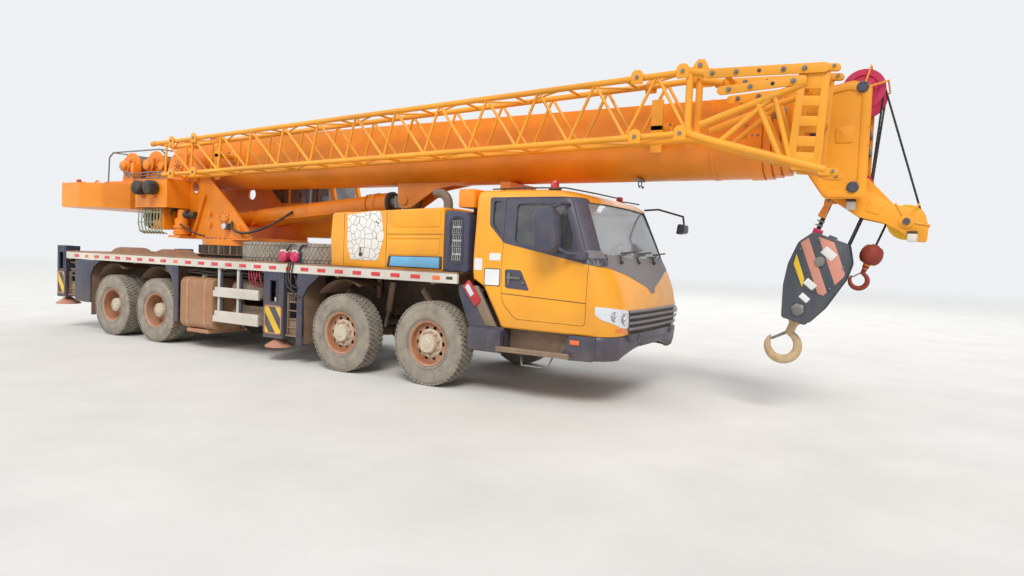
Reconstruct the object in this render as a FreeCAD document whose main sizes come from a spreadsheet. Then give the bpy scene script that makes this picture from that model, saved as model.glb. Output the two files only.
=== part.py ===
import FreeCAD, Part
import math
import os
import re
import Sketcher

# A four-axle truck crane with a telescopic boom, a stowed lattice jib and a luffing cylinder.
# Millimetres. +X is the driving direction, +Y the left side and +Z up. The origin lies on the
# ground, half way along the whole machine and on its middle plane.

Vector = FreeCAD.Vector

# Driving dimensions: name, value, what it measures
SIZES = [
    # Wheels and axles
    ("axle_1", 2000, "first steered axle"),
    ("axle_2", 445, "second steered axle"),
    ("axle_3", -3980, "first driven axle"),
    ("axle_4", -5320, "second driven axle"),
    ("side_y", 1380, "half of the body's width, and the tyres' outer face"),
    ("tyre_radius", 562.5, "tyre radius"),
    ("tyre_width", 310, "tyre section width"),
    ("tread_half", 125, "half of the flat tread"),
    ("bead_radius", 286, "tyre bead radius"),
    ("twin_pitch", 345, "distance between the middles of two twin tyres"),
    ("rim_wall", 10, "rim plate thickness"),
    ("flange_radius", 302, "rim flange radius"),
    ("flange_room", 2, "flat part of the tyre's bead beyond the rim flange"),
    ("hub_radius", 128, "hub radius"),
    ("hole_ring", 205, "radius of the ring of hand holes"),
    ("hand_hole", 30, "radius of a hand hole"),
    ("hand_holes", 10, "number of hand holes in a rim"),
    ("spindle_radius", 50, "wheel spindle radius"),
    ("spindle_room", 5, "room round the wheel spindle"),
    ("seat_gap", 0.3, "gap between two seated faces of different bodies"),
    ("kingpin_y", 960, "distance of a kingpin from the middle plane"),
    ("eye_radius", 58, "axle eye round the kingpin"),
    ("eye_half", 75, "half of the axle eye's height"),
    ("lug_thick", 40, "thickness of a knuckle lug"),
    ("axle_radius", 62, "steered axle tube radius"),
    ("drive_radius", 85, "driven axle tube radius"),
    ("case_radius", 205, "differential case radius"),
    ("shaft_radius", 45, "propeller shaft radius"),
    ("case_reach", 190, "reach of a differential case before its axle"),
    ("cover_reach", 150, "reach of a differential cover behind its axle"),
    ("gearbox_back", -1900, "rear end of the transfer gearbox"),
    ("gearbox_front", -1300, "front end of the transfer gearbox"),
    ("shaft_z", 600, "propeller shaft height"),
    ("spring_y", 500, "middle of a leaf spring from the middle plane"),
    ("spring_width", 90, "leaf spring width"),
    ("spring_half", 560, "half of a leaf spring's length"),
    ("spring_stack", 90, "leaf pack thickness over the axle"),
    # Frame, deck and rails
    ("frame_back", -7180, "rear end of the frame"),
    ("frame_front", 4250, "front end of the frame"),
    ("frame_half", 400, "half of the frame's width"),
    ("frame_low", 790, "frame underside"),
    ("frame_top", 1350, "frame top behind the engine"),
    ("nose_top", 1130, "frame top under the engine and the cab"),
    ("nose_back", 250, "where the frame steps down for the engine"),
    ("deck_low", 1501, "underside of the deck plate"),
    ("deck_top", 1521, "top of the deck plate"),
    ("deck_back", -6880, "rear edge of the deck"),
    ("deck_front", 2450, "front edge of the deck"),
    ("rail_low", 1376, "underside of the side rail"),
    ("rail_thick", 40, "side rail thickness"),
    ("cross_width", 70, "width of a deck cross member"),
    ("ring_x", -3250, "slewing axis"),
    ("ring_radius", 800, "slewing ring seat radius"),
    ("ring_top", 1745, "top of the fixed slewing ring"),
    ("gear_radius", 860, "ring gear radius"),
    ("gear_low", 1600, "underside of the ring gear"),
    ("gear_teeth", 48, "teeth of the ring gear"),
    ("tooth_depth", 24, "depth of a ring gear tooth"),
    # Outriggers
    ("box_front_x", -950, "middle of the front outrigger box"),
    ("box_rear_x", -7055, "middle of the rear outrigger box"),
    ("box_front_half", 220, "half of the front outrigger box's length along the frame"),
    ("box_rear_half", 155, "half of the rear outrigger box's length along the frame"),
    ("box_wall", 10, "outrigger box wall"),
    ("box_end", 1095, "end of an outrigger box from the middle plane"),
    ("box_front_low", 800, "underside of the front outrigger box"),
    ("box_rear_low", 900, "underside of the rear outrigger box"),
    ("box_height", 400, "outrigger box height"),
    ("beam_gap", 5, "sliding gap beside and over an outrigger beam"),
    ("beam_wall", 10, "outrigger beam wall"),
    ("beam_inner", 1050, "inner end of an outrigger beam beyond the middle plane"),
    ("leg_in", 1110, "inner face of a jack housing"),
    ("leg_wall", 12, "jack housing plate"),
    ("leg_front_low", 360, "underside of a front jack housing"),
    ("leg_rear_low", 610, "underside of a rear jack housing"),
    ("leg_height", 1008, "jack housing height"),
    ("leg_window_width", 130, "width of the slot in a jack housing"),
    ("leg_window_low", 560, "foot of the slot above the housing's underside"),
    ("leg_window_top", 880, "head of the slot above the housing's underside"),
    ("jack_y", 1245, "jack axis from the middle plane"),
    ("jack_radius", 75, "jack barrel radius"),
    ("jack_rod_radius", 50, "jack rod radius"),
    ("jack_rod_room", 0.3, "room round a jack rod"),
    ("float_radius", 215, "float radius"),
    ("float_height", 120, "float height"),
    ("float_drop", 142, "float underside below the housing"),
    # Side panels, tanks and guards
    ("panel_thick", 20, "side panel thickness"),
    ("arch_radius", 640, "wheel arch radius"),
    ("tank_back", -3280, "rear end of a tank"),
    ("tank_front", -2420, "front end of a tank"),
    ("tank_low", 350, "tank underside"),
    ("tank_top", 1190, "tank top"),
    ("tank_in", 860, "inner face of a tank"),
    ("tank_round", 130, "tank corner radius"),
    ("air_back", -2160, "rear end of an air tank"),
    ("air_front", -1290, "front end of an air tank"),
    ("air_radius", 145, "air tank radius"),
    ("air_y", 1090, "air tank axis from the middle plane"),
    ("guard_back", -2390, "rear end of the side guard"),
    ("guard_front", -1300, "front end of the side guard"),
    ("guard_low", 500, "underside of the lower guard bar"),
    ("guard_high", 910, "underside of the upper guard bar"),
    ("guard_bar", 100, "guard bar height"),
    ("post_radius", 28, "guard post radius"),
    # Engine, hood, intake and exhaust
    ("hood_back", 150, "rear face of the engine hood"),
    ("hood_front", 2150, "front face of the engine hood"),
    ("hood_half", 1300, "half of the hood's width"),
    ("hood_rear_top", 2280, "hood top at the rear"),
    ("hood_front_top", 2360, "hood top at the front"),
    ("hood_wall", 30, "hood wall"),
    ("hood_round", 90, "hood edge radius"),
    ("rib_height", 34, "height of a hood rib"),
    ("rib_proud", 14, "how far a hood rib stands out"),
    ("engine_back", 420, "rear end of the engine"),
    ("engine_front", 1900, "front end of the engine"),
    ("engine_half", 430, "half of the engine's width"),
    ("engine_top", 2080, "engine top"),
    ("intake_back", 2155, "rear face of the intake tower"),
    ("intake_front", 2520, "front face of the intake tower"),
    ("intake_in", 900, "inner face of the intake tower"),
    ("intake_out", 1290, "outer face of the intake tower"),
    ("intake_top", 2290, "top of the intake tower"),
    ("louvre_pitch", 62, "distance between two louvres"),
    ("exhaust_radius", 62, "exhaust pipe radius"),
    ("exhaust_x", 2060, "exhaust stack axis"),
    ("exhaust_y", -1080, "exhaust stack axis across"),
    ("exhaust_bend", 150, "exhaust bend radius"),
    ("exhaust_rise", 60, "straight rise of the exhaust pipe above the hood"),
    ("exhaust_tail", 70, "straight tail of the exhaust pipe behind its bend"),
    # Driver's cab
    ("cab_half", 1280, "half of the cab's width"),
    ("cab_roof_half", 1215, "half of the cab's width at the roof"),
    ("cab_belt", 1720, "height of the cab's belt line"),
    ("cab_back", 2600, "rear wall of the cab"),
    ("cab_top", 2590, "cab roof"),
    ("cab_wall", 45, "cab wall and door thickness"),
    ("cab_floor", 1140, "cab floor height"),
    ("nose_x", 4570, "cab front under the windscreen"),
    ("screen_foot_x", 4370, "foot of the windscreen"),
    ("screen_foot_z", 1770, "foot of the windscreen"),
    ("screen_head_x", 4065, "head of the windscreen"),
    ("screen_head_z", 2510, "head of the windscreen"),
    ("door_gap", 9, "gap round a door"),
    ("door_back", 3060, "rear edge of a door"),
    ("door_front", 4190, "front edge of a door"),
    ("door_low", 985, "foot of a door"),
    ("glass_thick", 12, "glass thickness"),
    ("bumper_front", 4790, "front face of the bumper"),
    ("bumper_low", 560, "underside of the bumper"),
    ("bumper_top", 1010, "top of the bumper"),
    # Superstructure
    ("turn_low", 1745.5, "underside of the turntable's ring"),
    ("plate_y", 600, "inner face of a turntable cheek"),
    ("cheek_thick", 36, "turntable cheek thickness"),
    ("slew_x", -4130, "slewing drive axis"),
    ("slew_y", -785, "slewing drive axis across"),
    ("slew_radius", 115, "slewing drive radius"),
    ("oil_back", -5060, "rear end of the oil tank"),
    ("oil_front", -4100, "front end of the oil tank"),
    ("oil_out", 1100, "outer face of the oil tank"),
    ("oil_low", 2385, "underside of the oil tank"),
    ("oil_top", 2900, "top of the oil tank"),
    ("foot_x", -4450, "boom foot pin"),
    ("foot_z", 3200, "boom foot pin height"),
    ("foot_pin", 70, "boom foot pin radius"),
    ("pin_proud", 30, "how far the boom foot pin stands out of a cheek"),
    ("pin_room", 0.3, "running room round a main pin"),
    ("weight_back", -7570, "rear face of the counterweight"),
    ("weight_low", 2395, "underside of the counterweight"),
    ("weight_top", 2870, "top of the counterweight"),
    ("weight_half", 1250, "half of the counterweight's width"),
    ("tail_top", 2950, "top of the turntable's tail"),
    ("drum_1_x", -5640, "front winch axis"),
    ("drum_2_x", -6450, "rear winch axis"),
    ("drum_z", 3270, "winch axis height"),
    ("drum_radius", 215, "winch drum radius with its rope"),
    ("drum_flange", 290, "winch flange radius"),
    ("drum_half", 330, "half of a winch drum's length"),
    ("ocab_back", -3640, "rear wall of the operator's cab"),
    ("ocab_front", -1700, "front foot of the operator's cab"),
    ("ocab_in", 640, "inner wall of the operator's cab"),
    ("ocab_out", 1360, "outer wall of the operator's cab"),
    ("ocab_low", 1960, "underside of the operator's cab"),
    ("ocab_top", 3480, "roof of the operator's cab"),
    ("ocab_wall", 35, "wall of the operator's cab"),
    # Boom and luffing cylinder
    ("boom_half", 400, "half of the boom base's width"),
    ("boom_top", 3680, "top of the boom base"),
    ("boom_round_z", 3190, "centre height of the boom's round underside"),
    ("boom_back", -4900, "rear end of the boom base"),
    ("boom_front", 5900, "front end of the boom base"),
    ("boom_wall", 10, "boom wall"),
    ("boom_gap", 8, "sliding gap between two boom sections"),
    ("tube_back", -3900, "rear end of the sliding sections"),
    ("collar_length", 75, "length of a section's front collar"),
    ("collar_step", 95, "distance between two collars"),
    ("head_back", 6330, "rear edge of the boom head"),
    ("head_plate", 30, "boom head plate"),
    ("head_top", 3740, "top of the boom head"),
    ("head_low", 2520, "underside of the boom head"),
    ("sheave_radius", 215, "boom head sheave radius"),
    ("sheave_x", 6900, "upper head sheaves"),
    ("sheave_z", 3700, "upper head sheaves"),
    ("fall_x", 6860, "lower head sheaves, where the hook block hangs"),
    ("fall_z", 2640, "lower head sheaves, where the hook block hangs"),
    ("fall_sheave", 200, "lower head sheave radius"),
    ("sheave_width", 50, "sheave width"),
    ("groove_depth", 28, "depth of a rope groove"),
    ("sheave_pin", 45, "head sheave pin radius"),
    ("aux_pin", 30, "auxiliary sheave pin radius"),
    ("aux_x", 7380, "auxiliary head sheave"),
    ("aux_z", 2290, "auxiliary head sheave"),
    ("aux_radius", 190, "auxiliary head sheave radius"),
    ("cyl_base_x", -3120, "foot pin of the luffing cylinder"),
    ("cyl_base_z", 2250, "foot pin of the luffing cylinder"),
    ("cyl_eye_x", 550, "rod pin of the luffing cylinder"),
    ("cyl_eye_z", 2560, "rod pin of the luffing cylinder"),
    ("cyl_radius", 165, "luffing cylinder barrel radius"),
    ("cyl_rod_radius", 110, "luffing cylinder rod radius"),
    ("cyl_rod_room", 0.3, "room round the luffing cylinder's rod"),
    ("cyl_half", 120, "half width of the cylinder's eyes"),
    ("cyl_barrel", 3050, "barrel length from its foot pin"),
    # Hook block, measured down from the head sheaves along the falls
    ("hook_tilt", 20, "backward tilt of both hooks as parked, degrees"),
    ("block_top", 540, "top of the hook block"),
    ("block_low", 1600, "foot of the hook block's plates"),
    ("block_half", 200, "half of the hook block's width"),
    ("block_plate", 20, "hook block cheek plate"),
    ("block_sheave_z", 860, "hook block sheave axis"),
    ("rope_radius", 11, "rope radius"),
    ("hook_thick", 90, "hook thickness"),
    # Lattice jib
    ("jib_y", -905, "middle of the stowed jib"),
    ("jib_half", 195, "half of the jib's width"),
    ("chord_radius", 34, "jib chord radius"),
    ("brace_size", 30, "jib brace size"),
    ("jib_bays", 13, "number of jib bays"),
    ("jib_rear_x", -4500, "rear end of the jib's upper chords"),
    ("jib_rear_top", 3530, "height of the upper chords at the rear"),
    ("jib_rear_low_x", -4150, "rear end of the jib's lower chords"),
    ("jib_rear_low", 2970, "height of the lower chords at the rear"),
    ("jib_front_x", 5250, "front end of the jib's chords"),
    ("jib_front_top", 3845, "height of the upper chords at the front"),
    ("jib_front_low", 3175, "height of the lower chords at the front"),
    ("jib_end_x", 6560, "end frame of the jib"),
    ("jib_end_top", 3860, "top of the jib's end frame"),
    ("jib_end_low", 2760, "bottom of the jib's end frame"),
    ("jib_end_size", 70, "bar size of the jib's end frame"),
]

doc = FreeCAD.newDocument("MobileCrane")
sheet = doc.addObject("Spreadsheet::Sheet", "Sizes")
for row, (alias, number, meaning) in enumerate(SIZES, start=1):
    sheet.set("A%d" % row, meaning)
    sheet.set("B%d" % row, str(number))
    sheet.setAlias("B%d" % row, alias)
doc.recompute()

ALIASES = {alias for alias, number, meaning in SIZES}
WORD = re.compile(r"[a-z][a-z0-9_]*")
NODES = []


def size(alias):
    """The number in the sheet's cell."""
    return float(sheet.get(alias))


def formula(text):
    """An expression in which each size name points to its cell."""
    return WORD.sub(lambda word: "Sizes." + word.group(0) if word.group(0) in ALIASES else word.group(0),
                    str(text))


def node(name, solid):
    """Label an object as one sub-part of the crane."""
    solid.Label = name
    NODES.append(solid)
    return solid


# Building blocks. Every length is an expression of the sheet's names.

TURNS = {
    "x": FreeCAD.Rotation(Vector(0, 1, 0), 90),
    "y": FreeCAD.Rotation(Vector(1, 0, 0), -90),
    "z": FreeCAD.Rotation(),
}


def box(x, y, z):
    """A block; each argument is its (low, high) along one axis."""
    solid = doc.addObject("Part::Box", "Block")
    for length, (low, high) in zip(("Length", "Width", "Height"), (x, y, z)):
        solid.setExpression(length, formula("(%s) - (%s)" % (high, low)))
    for axis, (low, high) in zip("xyz", (x, y, z)):
        solid.setExpression("Placement.Base." + axis, formula(low))
    return solid


def place(solid, axis, at, start):
    """Turn a solid's own Z axis to the named axis and set it at two cross coordinates."""
    solid.Placement = FreeCAD.Placement(Vector(), TURNS[axis])
    others = [letter for letter in "xyz" if letter != axis]
    solid.setExpression("Placement.Base." + axis, formula(start))
    for letter, coordinate in zip(others, at):
        solid.setExpression("Placement.Base." + letter, formula(coordinate))
    return solid


def rod(axis, at, radius, span):
    """A round bar along an axis; at holds its two other coordinates."""
    solid = doc.addObject("Part::Cylinder", "Rod")
    solid.setExpression("Radius", formula(radius))
    solid.setExpression("Height", formula("(%s) - (%s)" % (span[1], span[0])))
    return place(solid, axis, at, span[0])


def cone(axis, at, radii, span):
    """A round taper along an axis, with its radius at the start and at the end."""
    solid = doc.addObject("Part::Cone", "Taper")
    solid.setExpression("Radius1", formula(radii[0]))
    solid.setExpression("Radius2", formula(radii[1]))
    solid.setExpression("Height", formula("(%s) - (%s)" % (span[1], span[0])))
    return place(solid, axis, at, span[0])


def join(*solids):
    """Several solids fused to one."""
    union = doc.addObject("Part::MultiFuse", "Joined")
    union.Shapes = list(solids)
    union.Refine = True
    return union


def cut(base, *tools):
    """A solid without the tools' volumes."""
    result = doc.addObject("Part::Cut", "Trimmed")
    result.Base = base
    result.Tool = tools[0] if len(tools) == 1 else join(*tools)
    result.Refine = True
    return result


def common(first, second):
    """What two solids share."""
    result = doc.addObject("Part::Common", "Shared")
    result.Base = first
    result.Tool = second
    result.Refine = True
    return result


def mirrored(solid):
    """The same solid on the other side of the middle plane."""
    other = doc.addObject("Part::Mirroring", "Mirrored")
    other.Source = solid
    other.Base = Vector()
    other.Normal = Vector(0, 1, 0)
    return other


def group(*solids):
    """Separate solids that belong to one sub-part."""
    pieces = doc.addObject("Part::Compound", "Pieces")
    pieces.Links = list(solids)
    return pieces


def both_sides(solid):
    return group(solid, mirrored(solid))


def new_sketch(plane):
    """A body with an empty sketch on one of its origin planes."""
    body = doc.addObject("PartDesign::Body", "Body")
    sketch = body.newObject("Sketcher::SketchObject", "Outline")
    for feature in body.Origin.OriginFeatures:
        if feature.Role == plane + "_Plane":
            sketch.AttachmentSupport = [(feature, "")]
    sketch.MapMode = "FlatFace"
    return body, sketch


def draw_outline(sketch, outline):
    """A closed outline of straight edges, each corner bound to two expressions."""
    first = sketch.GeometryCount
    count = len(outline)
    corners = [Vector(100 * math.cos(2 * math.pi * i / count), 100 * math.sin(2 * math.pi * i / count), 0)
               for i in range(count)]
    for i in range(count):
        sketch.addGeometry(Part.LineSegment(corners[i], corners[(i + 1) % count]), False)
    for i in range(count):
        sketch.addConstraint(Sketcher.Constraint("Coincident", first + i, 2, first + (i + 1) % count, 1))
    for i, corner in enumerate(outline):
        for letter, kind, coordinate in zip("uv", ("DistanceX", "DistanceY"), corner):
            name = "%s%d" % (letter, first + i)
            at = corners[i].x if letter == "u" else corners[i].y
            index = sketch.addConstraint(Sketcher.Constraint(kind, -1, 1, first + i, 1, at))
            sketch.renameConstraint(index, name)
            sketch.setExpression("Constraints." + name, formula(coordinate))
    return first


def edges_through(shape, points, direction):
    """Names of the straight edges along a direction that pass through the given points."""
    names = []
    for number, edge in enumerate(shape.Edges, start=1):
        if edge.Curve.TypeId != "Part::GeomLine":
            continue
        if abs(abs(edge.Curve.Direction.dot(direction)) - 1) > 1e-6:
            continue
        start = edge.Vertexes[0].Point
        for point in points:
            offset = point - start
            if (offset - direction * offset.dot(direction)).Length < 0.05:
                names.append("Edge%d" % number)
                break
    return names


def pad(sketch, body, span, plane):
    """Pad a sketch from the low to the high end of a span across its plane."""
    feature = body.newObject("PartDesign::Pad", "Pad")
    feature.Profile = sketch
    feature.setExpression("Length", formula("(%s) - (%s)" % (span[1], span[0])))
    start = "-(%s)" % span[1] if plane == "XZ" else span[0]
    sketch.setExpression("AttachmentOffset.Base.z", formula(start))
    return feature


def prism(plane, outline, span, rounds=()):
    """An outline padded across its plane. Rounds are (corner numbers, radius) pairs."""
    body, sketch = new_sketch(plane)
    draw_outline(sketch, outline)
    feature = pad(sketch, body, span, plane)
    doc.recompute()
    direction = sketch.Placement.Rotation.multVec(Vector(0, 0, 1))
    for corners, radius in rounds:
        points = [sketch.Placement.multVec(sketch.getPoint(corner, 1)) for corner in corners]
        fillet = body.newObject("PartDesign::Fillet", "Round")
        fillet.Base = (feature, edges_through(feature.Shape, points, direction))
        fillet.setExpression("Radius", formula(radius))
        doc.recompute()
        feature = fillet
    return body


def lathe(outline, axis="y"):
    """A solid of revolution from (radius, along) corners, in its own frame."""
    body, sketch = new_sketch("XY")
    draw_outline(sketch, outline)
    turned = body.newObject("PartDesign::Revolution", "Turned")
    turned.Profile = sketch
    turned.ReferenceAxis = (sketch, ["V_Axis"])
    turned.Angle = 360
    doc.recompute()
    return body


def u_tube(half, top, round_z, span, wall=None):
    """A boom section: flat top and sides over a round underside; hollow where a wall is given."""
    body, sketch = new_sketch("YZ")
    loops = [(half, top)]
    if wall:
        loops.append(("(%s) - (%s)" % (half, wall), "(%s) - (%s)" % (top, wall)))
    for width, height in loops:
        first = sketch.GeometryCount
        sketch.addGeometry(Part.LineSegment(Vector(-300, 3600, 0), Vector(300, 3600, 0)), False)
        sketch.addGeometry(Part.LineSegment(Vector(300, 3600, 0), Vector(300, 3200, 0)), False)
        circle = Part.Circle(Vector(0, 3200, 0), Vector(0, 0, 1), 300)
        sketch.addGeometry(Part.ArcOfCircle(circle, math.pi, 2 * math.pi), False)
        sketch.addGeometry(Part.LineSegment(Vector(-300, 3200, 0), Vector(-300, 3600, 0)), False)
        sketch.addConstraint([
            Sketcher.Constraint("Coincident", first, 2, first + 1, 1),
            Sketcher.Constraint("Coincident", first + 1, 2, first + 2, 2),
            Sketcher.Constraint("Coincident", first + 2, 1, first + 3, 1),
            Sketcher.Constraint("Coincident", first + 3, 2, first, 1),
            Sketcher.Constraint("Horizontal", first),
            Sketcher.Constraint("Vertical", first + 1),
            Sketcher.Constraint("Vertical", first + 3),
            Sketcher.Constraint("PointOnObject", first + 2, 3, -2),
            Sketcher.Constraint("Horizontal", first + 1, 2, first + 2, 3),
            Sketcher.Constraint("Horizontal", first + 3, 1, first + 2, 3),
        ])
        for name, kind, where, text in (
                ("radius", "Radius", (first + 2,), width),
                ("centre", "DistanceY", (-1, 1, first + 2, 3), round_z),
                ("head", "DistanceY", (-1, 1, first, 1), height)):
            start = 300 if name == "radius" else (3200 if name == "centre" else 3600)
            index = sketch.addConstraint(Sketcher.Constraint(kind, *where, start))
            sketch.renameConstraint(index, "%s%d" % (name, first))
            sketch.setExpression("Constraints.%s%d" % (name, first), formula(text))
    pad(sketch, body, span, "YZ")
    return body


def moved(solid, x, y, z, turn=None):
    """Place a body made in its own frame; turn is a rotation applied first."""
    solid.Placement = FreeCAD.Placement(Vector(), turn or FreeCAD.Rotation())
    for letter, coordinate in zip("xyz", (x, y, z)):
        solid.setExpression("Placement.Base." + letter, formula(coordinate))
    return solid


def shape_of(shape):
    """A feature whose shape is worked out from the sheet's numbers."""
    feature = doc.addObject("Part::Feature", "Shape")
    feature.Shape = shape
    return feature


HALF_TURN = FreeCAD.Rotation(Vector(0, 0, 1), 180)

# Axles: name, position, steered
AXLES = [("1", "axle_1", True), ("2", "axle_2", True), ("3", "axle_3", False), ("4", "axle_4", False)]

# Sides: name, sign of Y
SIDES = [("right", -1), ("left", 1)]


# Wheels

TYRE_SECTION = [
    ("bead_radius", "-tyre_width * 0.42"),
    ("flange_radius + flange_room", "-tyre_width * 0.42"),
    ("tyre_radius * 0.77", "-tyre_width / 2"),
    ("tyre_radius * 0.93", "-tyre_width * 0.47"),
    ("tyre_radius", "-tread_half"),
    ("tyre_radius", "tread_half"),
    ("tyre_radius * 0.93", "tyre_width * 0.47"),
    ("tyre_radius * 0.77", "tyre_width / 2"),
    ("flange_radius + flange_room", "tyre_width * 0.42"),
    ("bead_radius", "tyre_width * 0.42"),
]


def tyre(x, y):
    return moved(lathe(TYRE_SECTION), x, y, "tyre_radius")


def rim_barrel_section(middle):
    """The rim's barrel with a flange at each edge, round the given middle."""
    edge = "tyre_width * 0.42"
    return [
        ("bead_radius - rim_wall", "%s - %s" % (middle, edge)),
        ("flange_radius", "%s - %s - rim_wall" % (middle, edge)),
        ("flange_radius", "%s - %s - seat_gap" % (middle, edge)),
        ("bead_radius - seat_gap", "%s - %s - seat_gap" % (middle, edge)),
        ("bead_radius - seat_gap", "%s + %s + seat_gap" % (middle, edge)),
        ("flange_radius", "%s + %s + seat_gap" % (middle, edge)),
        ("flange_radius", "%s + %s + rim_wall" % (middle, edge)),
        ("bead_radius - rim_wall", "%s + %s" % (middle, edge)),
    ]


def hand_holes(low, high):
    """A ring of round cutters through the rim's disc."""
    return [rod("y", ("hole_ring * cos(%s)" % angle, "hole_ring * sin(%s)" % angle), "hand_hole", (low, high))
            for angle in [360.0 * i / int(size("hand_holes")) for i in range(int(size("hand_holes")))]]


def single_rim():
    """A steered wheel's rim: disc near the outer face, hub pointing out; its outside is +Y."""
    disc = lathe([
        ("spindle_radius + spindle_room", "-60"),
        ("hub_radius + 30", "-60"),
        ("hub_radius + 40", "64"),
        ("bead_radius - rim_wall / 2", "40"),
        ("bead_radius - rim_wall / 2", "54"),
        ("hub_radius + 44", "80"),
        ("hub_radius", "92"),
        ("hub_radius - 12", "150"),
        ("0", "156"),
        ("0", "40"),
        ("spindle_radius + spindle_room", "40"),
    ])
    return cut(join(lathe(rim_barrel_section("0")), disc), *hand_holes("20", "100"))


def twin_rim():
    """A driven wheel's two rims bolted back to back on one hub; its outside is +Y."""
    disc = lathe([
        ("spindle_radius + spindle_room", "-120"),
        ("hub_radius + 30", "-120"),
        ("hub_radius + 30", "-30"),
        ("bead_radius - rim_wall / 2", "-56"),
        ("bead_radius - rim_wall / 2", "-44"),
        ("hub_radius + 60", "-16"),
        ("hub_radius + 60", "16"),
        ("bead_radius - rim_wall / 2", "44"),
        ("bead_radius - rim_wall / 2", "56"),
        ("hub_radius + 30", "30"),
        ("hub_radius", "60"),
        ("hub_radius - 12", "250"),
        ("0", "262"),
        ("0", "100"),
        ("spindle_radius + spindle_room", "100"),
    ])
    outer = lathe(rim_barrel_section("twin_pitch / 2"))
    inner = lathe(rim_barrel_section("-twin_pitch / 2"))
    return cut(join(outer, inner, disc), *hand_holes("-70", "70"))


def wheels():
    for number, axle, steered in AXLES:
        for side, sign in SIDES:
            turn = None if sign > 0 else HALF_TURN
            outer = "%d * (side_y - tyre_width / 2)" % sign
            if steered:
                node("tyre_%s_%s" % (number, side), group(tyre(axle, outer)))
                rim = single_rim()
                node("rim_%s_%s" % (number, side), moved(rim, axle, outer, "tyre_radius", turn))
            else:
                inner = "%d * (side_y - tyre_width / 2 - twin_pitch)" % sign
                node("tyres_%s_%s" % (number, side), group(tyre(axle, outer), tyre(axle, inner)))
                middle = "%d * (side_y - tyre_width / 2 - twin_pitch / 2)" % sign
                rim = twin_rim()
                node("rims_%s_%s" % (number, side), moved(rim, axle, middle, "tyre_radius", turn))


def knuckle(axle, sign):
    """A steering knuckle: two lugs round the kingpin, a web, a brake backing plate and the spindle."""
    lug_y = ("%d * kingpin_y" % sign)
    web_in = "kingpin_y + eye_radius + 6"
    web_out = "kingpin_y + eye_radius + 40"
    hub_face = "side_y - tyre_width / 2 - 60"

    def across(low, high):
        return ("-(%s)" % high, "-(%s)" % low) if sign < 0 else (low, high)

    low_lug = rod("z", (axle, lug_y), "eye_radius", ("tyre_radius - eye_half - 0.4 - lug_thick",
                                                     "tyre_radius - eye_half - 0.4"))
    high_lug = rod("z", (axle, lug_y), "eye_radius", ("tyre_radius + eye_half + 0.4",
                                                      "tyre_radius + eye_half + 0.4 + lug_thick"))
    low_arm = box((axle + " - 45", axle + " + 45"), across("kingpin_y", web_out),
                  ("tyre_radius - eye_half - 0.4 - lug_thick", "tyre_radius - eye_half - 0.4"))
    high_arm = box((axle + " - 45", axle + " + 45"), across("kingpin_y", web_out),
                   ("tyre_radius + eye_half + 0.4", "tyre_radius + eye_half + 0.4 + lug_thick"))
    web = box((axle + " - 45", axle + " + 45"), across(web_in, web_out),
              ("tyre_radius - eye_half - 0.4 - lug_thick", "tyre_radius + eye_half + 0.4 + lug_thick"))
    flange = rod("y", (axle, "tyre_radius"), "hub_radius + 60",
                 across("kingpin_y + eye_radius + 30", hub_face + " - 40"))
    boss = rod("y", (axle, "tyre_radius"), "hub_radius", across(hub_face + " - 41", hub_face + " - seat_gap"))
    spindle = rod("y", (axle, "tyre_radius"), "spindle_radius", across(hub_face + " - 1", hub_face + " + 95"))
    return join(low_lug, high_lug, low_arm, high_arm, web, flange, boss, spindle)


def knuckles():
    for number, axle, steered in AXLES:
        if steered:
            for side, sign in SIDES:
                node("knuckle_%s_%s" % (number, side), knuckle(axle, sign))


# Axles, springs and engine

def axle_tube(axle, steered):
    """An axle tube with its differential case, and an eye at each end of a steered one."""
    case = cone("x", ("0", "tyre_radius"), ("case_radius", "case_radius * 0.55"),
                (axle + " - 40", axle + " + case_reach"))
    cover = cone("x", ("0", "tyre_radius"), ("case_radius * 0.7", "case_radius"),
                 (axle + " - cover_reach", axle + " - 39"))
    if steered:
        tube = rod("y", (axle, "tyre_radius"), "axle_radius", ("-kingpin_y", "kingpin_y"))
        eyes = [rod("z", (axle, "%d * kingpin_y" % sign), "eye_radius",
                    ("tyre_radius - eye_half", "tyre_radius + eye_half")) for side, sign in SIDES]
        seat_radius = "axle_radius"
    else:
        end = "side_y - tyre_width / 2 - twin_pitch / 2 - 120"
        tube = rod("y", (axle, "tyre_radius"), "drive_radius",
                   ("-(%s - seat_gap)" % end, "%s - seat_gap" % end))
        eyes = [rod("y", (axle, "tyre_radius"), "spindle_radius", ("-(%s + 180)" % end, "%s + 180" % end))]
        seat_radius = "drive_radius"
    springs = []
    for side, sign in SIDES:
        seat = "tyre_radius + %s - 8" % seat_radius
        near = ("%d * spring_y - spring_width / 2" % sign, "%d * spring_y + spring_width / 2" % sign)
        springs.append(prism("XZ", [
            (axle + " - 110", seat),
            (axle + " + 110", seat),
            (axle + " + spring_half", "frame_low - 50"),
            (axle + " + spring_half", "frame_low - 30"),
            (axle, seat + " + spring_stack"),
            (axle + " - spring_half", "frame_low - 30"),
            (axle + " - spring_half", "frame_low - 50"),
        ], near))
        for end in (-1, 1):
            middle = "%s + (%d) * (spring_half - 30)" % (axle, end)
            inner = ("frame_half", "spring_y + spring_width / 2")
            across = inner if sign > 0 else ("-(%s)" % inner[1], "-(%s)" % inner[0])
            springs.append(box((middle + " - 35", middle + " + 35"), across,
                               ("frame_low - 60", "frame_low + 120")))
    return [case, cover, tube] + eyes + springs


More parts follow.
